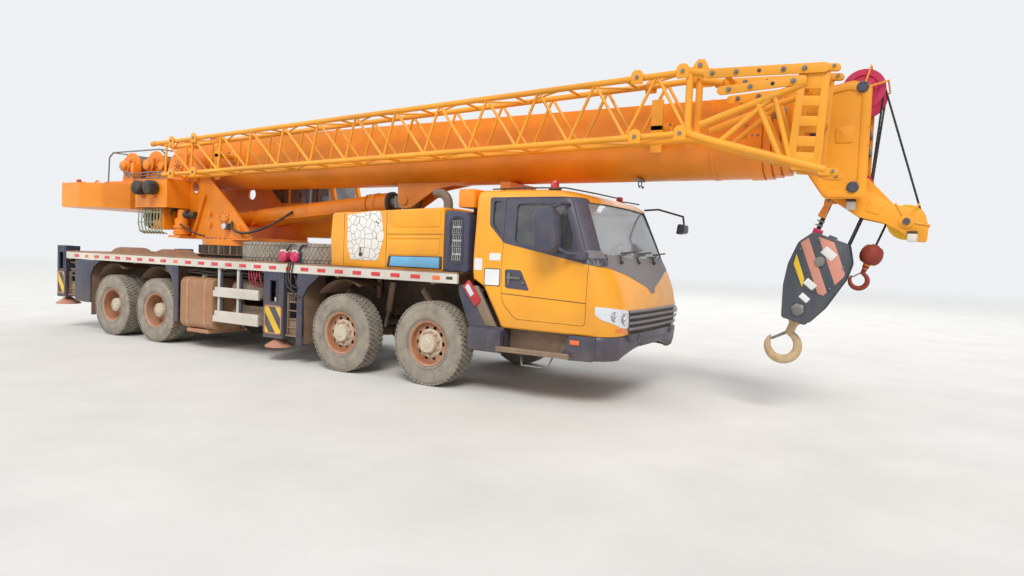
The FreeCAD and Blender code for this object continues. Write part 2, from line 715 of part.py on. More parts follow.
# Stretches of the propeller shaft: rear end, front end
SHAFTS = [("axle_4 + case_reach", "axle_3 - cover_reach"), ("axle_3 + case_reach", "gearbox_back"),
          ("gearbox_front", "axle_2 - cover_reach"), ("axle_2 + case_reach", "axle_1 - cover_reach")]


def drive_train():
    axles = [join(*axle_tube(axle, steered)) for number, axle, steered in AXLES]
    gearbox = cone("x", ("0", "tyre_radius"), ("150", "210"), ("gearbox_back", "gearbox_front"))
    shafts = [rod("x", ("0", "tyre_radius"), "shaft_radius", span) for span in SHAFTS]
    engine = box(("engine_back", "engine_front"), ("-engine_half", "engine_half"), ("nose_top", "engine_top"))
    return node("drive_train", group(*axles, gearbox, *shafts, engine))


# Frame with its outrigger boxes

# Outrigger boxes: name, middle, half length, underside, underside of their jack housings
BOXES = [("front", "box_front_x", "box_front_half", "box_front_low", "leg_front_low"),
         ("rear", "box_rear_x", "box_rear_half", "box_rear_low", "leg_rear_low")]


def outrigger_box(middle, half, low):
    """A box across the frame and the two rooms in it, side by side, for its two beams."""
    outer = box(("%s - %s" % (middle, half), "%s + %s" % (middle, half)), ("-box_end", "box_end"),
                (low, low + " + box_height"))
    rooms = [box(along, ("-box_end - 1", "box_end + 1"),
                 (low + " + box_wall", low + " + box_height - box_wall"))
             for along in (("%s - %s + box_wall" % (middle, half), middle + " - box_wall / 2"),
                           (middle + " + box_wall / 2", "%s + %s - box_wall" % (middle, half)))]
    return outer, rooms


def chassis_frame():
    beam = prism("XZ", [
        ("frame_back", "frame_low"),
        ("cab_back - 100", "frame_low"),
        ("cab_back + 300", "frame_low - 120"),
        ("frame_front", "frame_low - 120"),
        ("frame_front", "nose_top - 100"),
        ("cab_back + 300", "nose_top - 100"),
        ("cab_back", "nose_top"),
        ("nose_back", "nose_top"),
        ("nose_back - 250", "frame_top"),
        ("frame_back", "frame_top"),
    ], ("-frame_half", "frame_half"))
    seat = rod("z", ("ring_x", "0"), "ring_radius", ("frame_top - 10", "ring_top"))
    outers, rooms = [], []
    for name, middle, half, low, leg in BOXES:
        outer, pair = outrigger_box(middle, half, low)
        outers.append(outer)
        rooms += pair
    return node("chassis_frame", cut(join(beam, seat, ring_gear(), *outers), *rooms))


def ring_gear():
    """The fixed ring gear: a toothed ring round the slewing ring's seat."""
    outer = rod("z", ("ring_x", "0"), "gear_radius", ("gear_low", "ring_top - 1"))
    inner = rod("z", ("ring_x", "0"), "ring_radius - 5", ("gear_low - 1", "ring_top"))
    count = int(size("gear_teeth"))
    gaps = []
    for i in range(count):
        angle = 360.0 * i / count
        gap = box(("-tooth_depth", "tooth_depth"), ("-14", "14"), ("0", "ring_top - gear_low + 4"))
        gap.Placement.Rotation = FreeCAD.Rotation(Vector(0, 0, 1), angle)
        gap.setExpression("Placement.Base.x", formula("ring_x + gear_radius * cos(%s) - (0 - 14) * sin(%s)"
                                                      " - tooth_depth * cos(%s)" % (angle, angle, angle)))
        gap.setExpression("Placement.Base.y", formula("gear_radius * sin(%s) + (0 - 14) * cos(%s)"
                                                      " - tooth_depth * sin(%s)" % (angle, angle, angle)))
        gap.setExpression("Placement.Base.z", formula("gear_low - 2"))
        gaps.append(gap)
    return cut(outer, inner, *gaps)


# Deck, rails, side panels, tanks and guards

def deck():
    plate = box(("deck_back", "deck_front"), ("-side_y", "side_y"), ("deck_low", "deck_top"))
    hole = rod("z", ("ring_x", "0"), "gear_radius + 20", ("deck_low - 5", "deck_top + 5"))
    engine_hole = box(("engine_back - 60", "engine_front + 60"), ("-engine_half - 60", "engine_half + 60"),
                      ("deck_low - 5", "deck_top + 5"))
    crosses = [box((x, x + " + cross_width"), ("-side_y + rail_thick", "side_y - rail_thick"),
                   ("frame_top", "deck_low"))
               for x in ("deck_back", "-6000", "-4700", "-2200", "box_front_x - box_front_half - 100",
                         "nose_back - 340")]
    brackets = []
    for side, sign in SIDES:
        for x in ("engine_back - 130", "engine_front + 100"):
            low, high = "frame_half", "side_y - rail_thick"
            across = (low, high) if sign > 0 else ("-(%s)" % high, "-(%s)" % low)
            brackets.append(box((x, x + " + cross_width"), across, ("frame_top", "deck_low")))
            across = (low, low + " + 40") if sign > 0 else ("-(%s + 40)" % low, "-(%s)" % low)
            brackets.append(box((x, x + " + cross_width"), across, ("nose_top - 100", "deck_low")))
    return node("deck", cut(join(plate, *crosses, *brackets), hole, engine_hole))


def side_rails():
    rail = box(("deck_back", "deck_front"), ("side_y - rail_thick", "side_y"), ("rail_low", "deck_low"))
    bars = [box(("guard_back", "guard_front"), ("side_y - rail_thick", "side_y"), (low, low + " + guard_bar"))
            for low in ("guard_low", "guard_high")]
    posts = [rod("z", (x, "side_y - rail_thick - post_radius * 0.6"), "post_radius",
                 ("guard_low + 20", "deck_low"))
             for x in ("guard_back + 90", "guard_back + 560")]
    return node("side_rails", both_sides(join(rail, *bars, *posts)))


def arch(axle):
    return rod("y", (axle, "tyre_radius"), "arch_radius", ("side_y - 500", "side_y + 10"))


def side_panels():
    across = ("side_y - panel_thick", "side_y")
    middle = cut(prism("XZ", [
        ("-450", "300"), ("-230", "300"), ("-230", "1020"), ("-15", "1250"),
        ("-15", "rail_low"), ("-450", "rail_low")], across), arch("axle_2"))
    front_of_twins = cut(prism("XZ", [
        ("-3440", "350"), ("-3330", "350"), ("-3330", "rail_low"), ("-3690", "rail_low"),
        ("-3690", "1280"), ("-3440", "1040")], across), arch("axle_3"))
    rear = cut(prism("XZ", [
        ("-6570", "360"), ("-6350", "360"), ("-5750", "1240"), ("-5590", "1310"),
        ("-5590", "rail_low"), ("-6570", "rail_low")], across), arch("axle_4"))
    flap_across = ("side_y - 400", "side_y - panel_thick")
    flaps = [box(("-300", "-288"), flap_across, ("300", "frame_top")),
             box(("-3370", "-3358"), flap_across, ("350", "frame_top")),
             box(("-6500", "-6488"), flap_across, ("360", "frame_top"))]
    rear_of_cab = prism("XZ", [
        ("cab_back - 150", "deck_low"), ("cab_back - 148", "rail_low"), ("2780", "600"), ("2800", "600"),
        ("cab_back - 60", "rail_low + 60"), ("cab_back - 90", "deck_low")], ("frame_half", "side_y"))
    return node("side_panels", group(*[solid for piece in (middle, front_of_twins, rear, rear_of_cab, *flaps)
                                       for solid in (piece, mirrored(piece))]))


def tanks():
    across = ("tank_in", "side_y - 30")
    tank = prism("YZ", [
        (across[0], "tank_low"), (across[1], "tank_low"), (across[1], "tank_top"), (across[0], "tank_top"),
    ], ("tank_back", "tank_front"), [((0, 1, 2, 3), "tank_round")])
    straps = [cut(prism("YZ", [
        ("tank_in - 12", "tank_low - 12"), ("side_y - 18", "tank_low - 12"),
        ("side_y - 18", "tank_top + 12"), ("tank_in - 12", "tank_top + 12"),
    ], (x, x + " + 60"), [((0, 1, 2, 3), "tank_round + 12")]), prism("YZ", [
        ("tank_in", "tank_low"), ("side_y - 30", "tank_low"),
        ("side_y - 30", "tank_top"), ("tank_in", "tank_top"),
    ], (x + " - 5", x + " + 65"), [((0, 1, 2, 3), "tank_round")]))
        for x in ("tank_back + 150", "tank_front - 330")]
    arms = [box((x, x + " + 60"), ("frame_half", "tank_in - 12"), ("tank_low + 480", "tank_low + 560"))
            for x in ("tank_back + 150", "tank_front - 330")]
    air = [rod("x", ("air_y", z), "air_radius", ("air_back", "air_front")) for z in ("830", "1165")]
    carrier = box(("air_back + 300", "air_back + 380"), ("frame_half", "air_y"), ("900", "1080"))
    return node("tanks", group(both_sides(join(tank, *straps, *arms)), both_sides(join(*air, carrier))))


def outriggers():
    """Two beams side by side in each box; each carries a jack housing at its outer end."""
    for name, middle, half, box_low, leg_low in BOXES:
        for side, sign in SIDES:
            low_x = "%s - %s + box_wall" % (middle, half) if sign < 0 else middle + " + box_wall / 2"
            high_x = middle + " - box_wall / 2" if sign < 0 else "%s + %s - box_wall" % (middle, half)

            def across(low, high):
                return ("-(%s)" % high, "-(%s)" % low) if sign < 0 else (low, high)

            z_low = box_low + " + box_wall + seat_gap"
            z_high = box_low + " + box_height - box_wall - beam_gap"
            outer = box((low_x + " + beam_gap", high_x + " - beam_gap"),
                        across("-beam_inner", "leg_in + leg_wall"), (z_low, z_high))
            hollow = box((low_x + " + beam_gap + beam_wall", high_x + " - beam_gap - beam_wall"),
                         across("-beam_inner - 1", "leg_in - 1"),
                         (z_low + " + beam_wall", z_high + " - beam_wall"))
            leg = box(("%s - %s" % (middle, half), "%s + %s" % (middle, half)), across("leg_in", "side_y"),
                      (leg_low, leg_low + " + leg_height"))
            room = box(("%s - %s + leg_wall" % (middle, half), "%s + %s - leg_wall" % (middle, half)),
                       across("leg_in + leg_wall", "side_y - leg_wall"),
                       (leg_low + " - 1", leg_low + " + leg_height - leg_wall"))
            window = box((middle + " - leg_window_width / 2", middle + " + leg_window_width / 2"),
                         across("side_y - leg_wall - 5", "side_y + 5"),
                         (leg_low + " + leg_window_low", leg_low + " + leg_window_top"))
            barrel = rod("z", (middle, "%d * jack_y" % sign), "jack_radius",
                         (leg_low + " + 40", leg_low + " + leg_height - 1"))
            bore = rod("z", (middle, "%d * jack_y" % sign), "jack_rod_radius + jack_rod_room",
                       (leg_low + " + 30", leg_low + " + leg_height - 60"))
            frame = cut(join(cut(outer, hollow), cut(leg, room, window)), bore)
            ties = [box(("%s - %s" % (middle, half), "%s + %s" % (middle, half)),
                        across("jack_y - 20", "jack_y + 20"),
                        (leg_low + " + " + z, leg_low + " + " + z + " + 16")) for z in ("150", "700")]
            beam = cut(join(frame, barrel, *ties), bore)
            node("beam_%s_%s" % (name, side), beam)
            foot = leg_low + " - float_drop"
            rod_solid = rod("z", (middle, "%d * jack_y" % sign), "jack_rod_radius",
                            (foot + " + float_height - 10", leg_low + " + leg_height - 60 - 3"))
            pad_disc = rod("z", (middle, "%d * jack_y" % sign), "float_radius", (foot, foot + " + 18"))
            pad_cone = cone("z", (middle, "%d * jack_y" % sign), ("float_radius", "jack_rod_radius + 20"),
                            (foot + " + 17", foot + " + float_height"))
            node("jack_%s_%s" % (name, side), join(rod_solid, pad_disc, pad_cone))


# Engine hood, intake and exhaust

def engine_hood():
    outline = [("hood_back", "deck_top"), ("hood_front", "deck_top"),
               ("hood_front", "hood_front_top"), ("hood_back", "hood_rear_top")]
    shell = prism("XZ", outline, ("-hood_half", "hood_half"), [((2, 3), "hood_round")])
    room = prism("XZ", [
        ("hood_back + hood_wall", "deck_top - 10"), ("hood_front - hood_wall", "deck_top - 10"),
        ("hood_front - hood_wall", "hood_front_top - hood_wall"),
        ("hood_back + hood_wall", "hood_rear_top - hood_wall"),
    ], ("-hood_half + hood_wall", "hood_half - hood_wall"), [((2, 3), "hood_round - hood_wall")])
    ribs = [box(("hood_back + 40", "hood_front - 40"), ("-hood_half - rib_proud", "hood_half + rib_proud"),
                (z, z + " + rib_height")) for z in ("1790", "2085")]
    return node("engine_hood", cut(join(shell, *ribs), room))


def intake_exhaust():
    tower = box(("intake_back", "intake_front"), ("-intake_out", "-intake_in"), ("deck_top", "intake_top"))
    slots = [box(("intake_back + 50", "intake_front - 50"), ("-intake_out - 5", "-intake_out + 40"),
                 ("intake_top - 90 - %d * louvre_pitch" % i, "intake_top - 60 - %d * louvre_pitch" % i))
             for i in range(9)]
    bend, pipe = size("exhaust_bend"), size("exhaust_radius")
    x, y = size("exhaust_x"), size("exhaust_y")
    foot = size("hood_rear_top") + (size("hood_front_top") - size("hood_rear_top")) * (
        (x - size("hood_back")) / (size("hood_front") - size("hood_back"))) - 6
    knee = foot + size("exhaust_rise")
    riser = Part.makeCylinder(pipe, size("exhaust_rise"), Vector(x, y, foot))
    mouth = Part.Face(Part.Wire(Part.makeCircle(pipe, Vector(x, y, knee), Vector(0, 0, 1))))
    elbow = mouth.revolve(Vector(x - bend, y, knee), Vector(0, -1, 0), 90)
    tail = Part.makeCylinder(pipe, size("exhaust_tail"), Vector(x - bend, y, knee + bend), Vector(-1, 0, 0))
    slope = math.degrees(math.atan2(size("hood_front_top") - size("hood_rear_top"),
                                    size("hood_front") - size("hood_back")))
    wedge = Part.makeBox(400, 400, 200, Vector(-200, -200, -200))
    wedge.rotate(Vector(), Vector(0, 1, 0), -slope)
    wedge.translate(Vector(x, y, foot + 6))
    pipe_solid = shape_of(riser.fuse([elbow, tail]).removeSplitter().cut(wedge))
    return node("intake_exhaust", group(cut(tower, *slots), pipe_solid))


# Driver's cab

CAB_SIDE = [
    ("cab_back", "1500"), ("cab_back + 180", "1130"), ("cab_back + 420", "890"), ("nose_x - 250", "860"),
    ("nose_x", "1010"), ("nose_x", "1200"), ("screen_foot_x + 60", "screen_foot_z - 60"),
    ("screen_foot_x", "screen_foot_z"), ("screen_head_x", "screen_head_z"),
    ("screen_head_x - 220", "cab_top - 10"), ("cab_back", "cab_top"),
]


def cab_block(inset):
    """The cab's closed form, or its inside where an inset is given; the walls lean in above the belt."""
    outline = CAB_SIDE
    half = "cab_half"
    if inset:
        outline = [
            ("cab_back + cab_wall", "1500"), ("cab_back + 180 + cab_wall * 0.6", "cab_floor + 20"),
            ("cab_back + 420", "cab_floor"), ("nose_x - 350", "cab_floor"),
            ("nose_x - cab_wall", "cab_floor + 90"), ("nose_x - cab_wall", "1230"),
            ("screen_foot_x + 10", "screen_foot_z - 100"),
            ("screen_foot_x - cab_wall", "screen_foot_z"),
            ("screen_head_x - cab_wall - 10", "screen_head_z - cab_wall + 10"),
            ("screen_head_x - 230", "cab_top - 10 - cab_wall"),
            ("cab_back + cab_wall", "cab_top - cab_wall"),
        ]
        half = "cab_half - cab_wall"
    block = prism("XZ", outline, ("-(%s)" % half, half))
    roof = "cab_roof_half - cab_wall" if inset else "cab_roof_half"
    lean = prism("YZ", [
        ("-(%s)" % half, "800"), (half, "800"), (half, "cab_belt"), (roof, "cab_top + 5"),
        ("-(%s)" % roof, "cab_top + 5"), ("-(%s)" % half, "cab_belt")], ("cab_back - 10", "bumper_front"))
    return common(block, lean)


def door_outline(gap):
    """The door's side outline, grown by a gap."""
    return [
        ("door_back - %s" % gap, "door_low - %s" % gap), ("door_front + %s" % gap, "door_low - %s" % gap),
        ("door_front + %s" % gap, "screen_foot_z + 30"),
        ("screen_head_x - 120 + %s" % gap, "screen_head_z - 20 + %s" % gap),
        ("door_back - %s" % gap, "screen_head_z - 20 + %s" % gap)]


def door_zone(sign, gap, depth):
    """The space of a door on one side; below the cab's floor it is only so deep."""
    zone = prism("XZ", door_outline(gap), across(sign, "cab_half - 160", "cab_half + 20"))
    sill = box(("door_back - 50", "door_front + 50"), across(sign, "cab_half - 170", "cab_half - %s" % depth),
               ("door_low - 50", "cab_floor"))
    return cut(zone, sill)


WINDOW = [("door_back + 60", "cab_belt + 40"), ("door_front - 180", "cab_belt + 20"),
          ("door_front - 70", "cab_belt + 110"), ("screen_head_x - 190", "screen_head_z - 80"),
          ("door_back + 90", "screen_head_z - 80")]


def cab():
    shell = cut(cab_block(False), cab_block(True))
    openings = [door_zone(sign, "door_gap", "(cab_wall + seat_gap)") for side, sign in SIDES]
    screen = prism("YZ", [("-1130", "screen_foot_z + 40"), ("1130", "screen_foot_z + 40"),
                          ("1080", "screen_head_z - 45"), ("-1080", "screen_head_z - 45")],
                   ("screen_head_x - 200", "nose_x"))
    rear_window = box(("cab_back - 20", "cab_back + cab_wall + 20"), ("-700", "700"), ("1850", "2400"))
    tunnel = prism("XZ", [
        ("cab_back - 50", "600"), ("frame_front + 20", "600"), ("frame_front + 20", "nose_top - 100"),
        ("cab_back + 300", "nose_top - 100"), ("cab_back", "nose_top"), ("cab_back - 50", "nose_top")],
        ("-frame_half - 5", "frame_half + 5"))
    node("cab_shell", cut(shell, *openings, screen, rear_window, tunnel))
    for side, sign in SIDES:
        skin = common(cut(cab_block(False), cab_block(True)), door_zone(sign, "0", "cab_wall"))
        window = prism("XZ", WINDOW, across(sign, "cab_half - 160", "cab_half + 20"))
        handle = box(("door_back + 60", "door_back + 220"), across(sign, "cab_half - 20", "cab_half + 6"),
                     ("cab_belt - 160", "cab_belt - 110"))
        node("door_%s" % side, join(cut(skin, window), handle, *mirror(sign)))


def across(sign, low, high):
    """A span of Y on one side of the middle plane."""
    return ("-(%s)" % high, "-(%s)" % low) if sign < 0 else (low, high)


def mirror(sign):
    """A mirror head on two arms from the door's frame."""
    head = box(("3790", "3880"), across(sign, "1430", "1670"), ("1850", "2370"))
    low_arm = box(("3820", "3850"), across(sign, "cab_half - 20", "1560"), ("1700", "1730"))
    low_riser = box(("3820", "3850"), across(sign, "1530", "1560"), ("1700", "1860"))
    high_arm = box(("3820", "3850"), across(sign, "cab_roof_half - 10", "1560"), ("2440", "2470"))
    high_riser = box(("3820", "3850"), across(sign, "1530", "1560"), ("2360", "2470"))
    return [head, low_arm, low_riser, high_arm, high_riser]


def cab_glass():
    rise = "screen_head_z - screen_foot_z"
    run = "screen_foot_x - screen_head_x"
    slab = prism("XZ", [
        ("screen_foot_x - 30 - (%s) * 40 / (%s)" % (run, rise), "screen_foot_z + 40"),
        ("screen_foot_x - 30 + glass_thick - (%s) * 40 / (%s)" % (run, rise), "screen_foot_z + 40"),
        ("screen_head_x - 30 + glass_thick + (%s) * 45 / (%s)" % (run, rise), "screen_head_z - 45"),
        ("screen_head_x - 30 + (%s) * 45 / (%s)" % (run, rise), "screen_head_z - 45"),
    ], ("-1130", "1130"))
    edge = prism("YZ", [("-1130", "screen_foot_z + 40"), ("1130", "screen_foot_z + 40"),
                        ("1080", "screen_head_z - 45"), ("-1080", "screen_head_z - 45")],
                 ("screen_head_x - 200", "nose_x"))
    rear = box(("cab_back + 15", "cab_back + 15 + glass_thick"), ("-700", "700"), ("1850", "2400"))
    return node("cab_glass", group(common(slab, edge), rear))


def cab_inside():
    """Dashboard, steering wheel and two seats on the cab's floor."""
    dash = prism("XZ", [
        ("nose_x - 350", "cab_floor"), ("nose_x - 120", "1300"), ("screen_foot_x - 80", "screen_foot_z - 60"),
        ("screen_foot_x - 330", "screen_foot_z - 40"), ("screen_foot_x - 350", "1450"),
        ("nose_x - 400", "cab_floor")], ("-cab_half + 160", "cab_half - 160"))
    seats = []
    for y in (-700, 700):
        base = prism("XZ", [
            ("3030", "cab_floor"), ("3500", "cab_floor"), ("3560", "1480"), ("3540", "1600"),
            ("3090", "1570"), ("2930", "2230"), ("2800", "2230"), ("2900", "1450")],
            (str(y - 260), str(y + 260)), [((3, 5), "40")])
        seats.append(base)
    column = shape_of(Part.makeCylinder(28, 330, Vector(size("screen_foot_x") - 340, 700, 1600),
                                        Vector(-0.6, 0, 0.55)))
    ring = Part.makeTorus(215, 18, Vector(size("screen_foot_x") - 340 - 240, 700, 1820),
                          Vector(-0.6, 0, 0.55))
    spokes = Part.makeBox(40, 430, 20, Vector(-20, -215, -10))
    spokes.rotate(Vector(), Vector(0, 1, 0), -math.degrees(math.atan2(0.6, 0.55)))
    spokes.translate(Vector(size("screen_foot_x") - 340 - 240, 700, 1820))
    wheel = shape_of(ring.fuse(spokes))
    return node("cab_inside", group(join(dash, column, wheel), *seats))


def cab_front():
    """Bumper with its lower panel, grille bars and headlamp housings, and the steps at both sides."""
    bumper = prism("XY", [
        ("nose_x", "-1282"), ("nose_x", "1282"), ("nose_x - 330", "1282"), ("nose_x - 330", "1370"),
        ("nose_x - 60", "1370"), ("bumper_front - 60", "1150"), ("bumper_front", "900"),
        ("bumper_front", "-900"), ("bumper_front - 60", "-1150"), ("nose_x - 60", "-1370"),
        ("nose_x - 330", "-1370"), ("nose_x - 330", "-1282")], ("bumper_low", "bumper_top"),
        [((4, 9), "90")])
    slats = [box(("nose_x", "nose_x + 30"), ("-850", "850"), (z, z + " + 40"))
             for z in ("bumper_top + 40", "bumper_top + 100")]
    posts = [box(("nose_x", "nose_x + 24"), (y, y + " + 40"), ("bumper_top", "bumper_top + 140"))
             for y in ("-820", "-20", "780")]
    hangers = [box(("frame_front", "nose_x + 2"), (y, y + " + 60"), ("bumper_low + 150", "bumper_low + 290"))
               for y in ("-340", "280")]
    steps = [box(("3130", "4180"), ("cab_half - 130", "side_y"), (z, z + " + 30")) for z in ("520", "760")]
    ends = [prism("XZ", [("3110", "510"), ("4200", "510"), ("4260", "861"), ("3110", "887")],
                  ("cab_half - 150", "cab_half - 130"))]
    step_box = join(*steps, *ends)
    return node("cab_front", group(join(bumper, *slats, *posts, *hangers), both_sides(step_box)))


def fittings():
    """Beacons on the cab's roof, headlamps over the bumper and rear lamps."""
    beacons = [rod("z", ("3640", y), "60", ("cab_top - 7.6", "cab_top + 110")) for y in ("-1080", "1080")]
    lamps = [box(("nose_x", "nose_x + 70"), across(sign, "890", "1240"), ("bumper_top", "bumper_top + 160"))
             for side, sign in SIDES]
    tail = "box_rear_x - box_rear_half"
    rear = [box((tail + " - 40", tail), across(sign, "620", "1000"), ("1000", "1120"))
            for side, sign in SIDES]
    return node("fittings", group(*beacons, *lamps, *rear))


def boom_rest():
    """The post with a padded cross bar behind the cab that carries the lowered boom."""
    posts = [box(("deck_front + 5", "deck_front + 125"), across, ("nose_top", "2560"))
             for across in (("-340", "-240"), ("240", "340"))]
    cradle = box(("deck_front - 15", "deck_front + 145"), ("-380", "380"),
                 ("2500", "boom_round_z - boom_half - 6"))
    return node("boom_rest", join(cradle, *posts))


def spare_tyres():
    """Two spare wheels lying on the deck."""
    places = [("-1560", "-760"), ("-425", "-760")]
    flat = FreeCAD.Rotation(Vector(1, 0, 0), 90)
    return node("spare_tyres", group(*[
        moved(lathe(TYRE_SECTION), x, y, "deck_top + tyre_width / 2", flat) for x, y in places]))


# Superstructure

def turntable():
    ring = rod("z", ("ring_x", "0"), "ring_radius", ("turn_low", "turn_low + 110"))
    floor = box(("ring_x - 1150", "ring_x + 850"), ("-plate_y - cheek_thick", "plate_y + cheek_thick"),
                ("turn_low + 100", "turn_low + 150"))
    cheek = prism("XZ", [
        ("ring_x - 1150", "turn_low + 100"), ("ring_x + 850", "turn_low + 100"),
        ("ring_x + 850", "turn_low + 190"), ("cyl_base_x + 190", "cyl_base_z + 190"),
        ("foot_x + 260", "foot_z + 210"), ("foot_x - 220", "foot_z + 210"),
        ("foot_x - 420", "tail_top"), ("drum_2_x - 480", "tail_top"), ("drum_2_x - 480", "weight_top"),
        ("foot_x - 500", "weight_top"), ("foot_x - 420", "weight_low + 60")],
        ("plate_y", "plate_y + cheek_thick"), [((3, 4, 5), "120")])
    hole = rod("y", ("foot_x + 500", "foot_z - 420"), "110", ("plate_y - 5", "plate_y + cheek_thick + 5"))
    cheeks = [cut(cheek, hole), mirrored(cut(cheek, hole))]
    tail = box(("drum_2_x - 480", "foot_x - 700"), ("-plate_y - 1", "plate_y + 1"),
               ("weight_top", "tail_top"))
    bridge = box(("foot_x - 400", "foot_x - 360"), ("-plate_y - 1", "plate_y + 1"),
                 ("weight_low + 70", "weight_low + 165"))
    pins = [rod("y", (x, z), "foot_pin",
                ("-plate_y - cheek_thick - %s" % proud, "plate_y + cheek_thick + %s" % proud))
            for x, z, proud in (("foot_x", "foot_z", "pin_proud"), ("cyl_base_x", "cyl_base_z", "seat_gap"))]
    return node("turntable", join(ring, floor, *cheeks, tail, bridge, *pins))


def counterweight():
    block = prism("XY", [
        ("weight_back", "-weight_half + 250"), ("weight_back + 200", "-weight_half"),
        ("-6700", "-weight_half"), ("-6250", "-weight_half + 180"), ("-6000", "-640"),
        ("-6000", "640"), ("-6250", "weight_half - 180"), ("-6700", "weight_half"),
        ("weight_back + 200", "weight_half"), ("weight_back", "weight_half - 250")],
        ("weight_low", "weight_top"), [((1, 2, 3, 6, 7, 8), "160")])
    return node("counterweight", block)


def winches():
    solids = []
    for x in ("drum_1_x", "drum_2_x"):
        drum = rod("y", (x, "drum_z"), "drum_radius", ("-drum_half", "drum_half"))
        flanges = [rod("y", (x, "drum_z"), "drum_flange", (y, y + " + 24"))
                   for y in ("-drum_half - 24", "drum_half")]
        motor = rod("y", (x, "drum_z"), "130", ("drum_half + 20", "drum_half + 230"))
        shaft = rod("y", (x, "drum_z"), "60", ("-drum_half - 110", "-drum_half"))
        stands = [prism("XZ", [(x + " - 240", "tail_top"), (x + " + 240", "tail_top"),
                               (x + " + 120", "drum_z + 120"), (x + " - 120", "drum_z + 120")],
                        (y, y + " + 30"), [((2, 3), "80")])
                  for y in ("-drum_half - 80", "drum_half + 50")]
        solids.append(join(drum, *flanges, motor, shaft, *stands))
    return solids


def upper_units():
    """Slewing drive, hydraulic tank with two filler caps and the hose tray at the right side."""
    spot = ("slew_x", "slew_y")
    drive = join(box(("slew_x - 170", "slew_x + 170"), ("slew_y - 150", "-plate_y - cheek_thick"),
                     ("turn_low + 110 + seat_gap", "turn_low + 150")),
                 rod("z", spot, "slew_radius", ("turn_low + 149", "oil_low - 180")),
                 rod("z", spot, "slew_radius + 28", ("turn_low + 290", "turn_low + 330")),
                 rod("z", spot, "slew_radius - 45", ("oil_low - 181", "oil_low - 20")))
    tank = box(("oil_back", "oil_front"), ("-oil_out", "-plate_y - cheek_thick"), ("oil_low", "oil_top"))
    caps = [rod("y", (x, "(oil_low + oil_top) / 2"), "85", ("-oil_out - 50", "-oil_out + 1"))
            for x in ("oil_back + 230", "oil_front - 380")]
    tray = box(("oil_back + 360", "slew_x - 200"), ("-oil_out + 100", "-plate_y - cheek_thick"),
               ("oil_low - 385", "oil_low + 1"))
    return [drive, join(tank, *caps, tray)]


def operator_cab():
    outline = [
        ("ocab_back", "ocab_low"), ("ocab_front - 120", "ocab_low"), ("ocab_front", "ocab_low + 180"),
        ("ocab_front", "ocab_low + 620"), ("ocab_front - 260", "ocab_top"), ("ocab_back + 60", "ocab_top"),
        ("ocab_back", "ocab_top - 200")]
    body = prism("XZ", outline, ("ocab_in", "ocab_out"), [((4, 5), "90")])
    room = prism("XZ", [
        ("ocab_back + ocab_wall", "ocab_low + ocab_wall"), ("ocab_front - 130", "ocab_low + ocab_wall"),
        ("ocab_front - ocab_wall", "ocab_low + 190"), ("ocab_front - ocab_wall", "ocab_low + 615"),
        ("ocab_front - 285", "ocab_top - ocab_wall"), ("ocab_back + 75", "ocab_top - ocab_wall"),
        ("ocab_back + ocab_wall", "ocab_top - 210")], ("ocab_in + ocab_wall", "ocab_out - ocab_wall"))
    side = prism("XZ", [
        ("ocab_back + 750", "ocab_low + 640"), ("ocab_front - 110", "ocab_low + 640"),
        ("ocab_front - 330", "ocab_top - 130"), ("ocab_back + 750", "ocab_top - 130")],
        ("ocab_in - 10", "ocab_out + 10"))
    back_side = box(("ocab_back + 140", "ocab_back + 690"), ("ocab_in - 10", "ocab_out + 10"),
                    ("ocab_low + 640", "ocab_top - 260"))
    front = box(("ocab_front - 330", "ocab_front + 20"), ("ocab_in + 70", "ocab_out - 70"),
                ("ocab_low + 240", "ocab_top - 120"))
    bracket = box(("ocab_back + 200", "ocab_front - 500"), ("plate_y + cheek_thick", "ocab_in + 5"),
                  ("ocab_low", "ocab_low + 90"))
    seat = prism("XZ", [
        ("ocab_back + 420", "ocab_low + ocab_wall - 1"), ("ocab_back + 860", "ocab_low + ocab_wall - 1"),
        ("ocab_back + 900", "ocab_low + 520"), ("ocab_back + 520", "ocab_low + 500"),
        ("ocab_back + 380", "ocab_low + 1150"), ("ocab_back + 270", "ocab_low + 1150")],
        ("ocab_in + 160", "ocab_out - 160"))
    return node("operator_cab", join(cut(body, room, side, back_side, front), bracket, seat))


# Boom

def section_half(number):
    """Half width of section 1 to 5; each slides inside the one before it."""
    return "boom_half - %d * (boom_wall + boom_gap)" % (number - 1)


def section_top(number):
    return "boom_top - %d * (boom_wall + boom_gap)" % (number - 1)


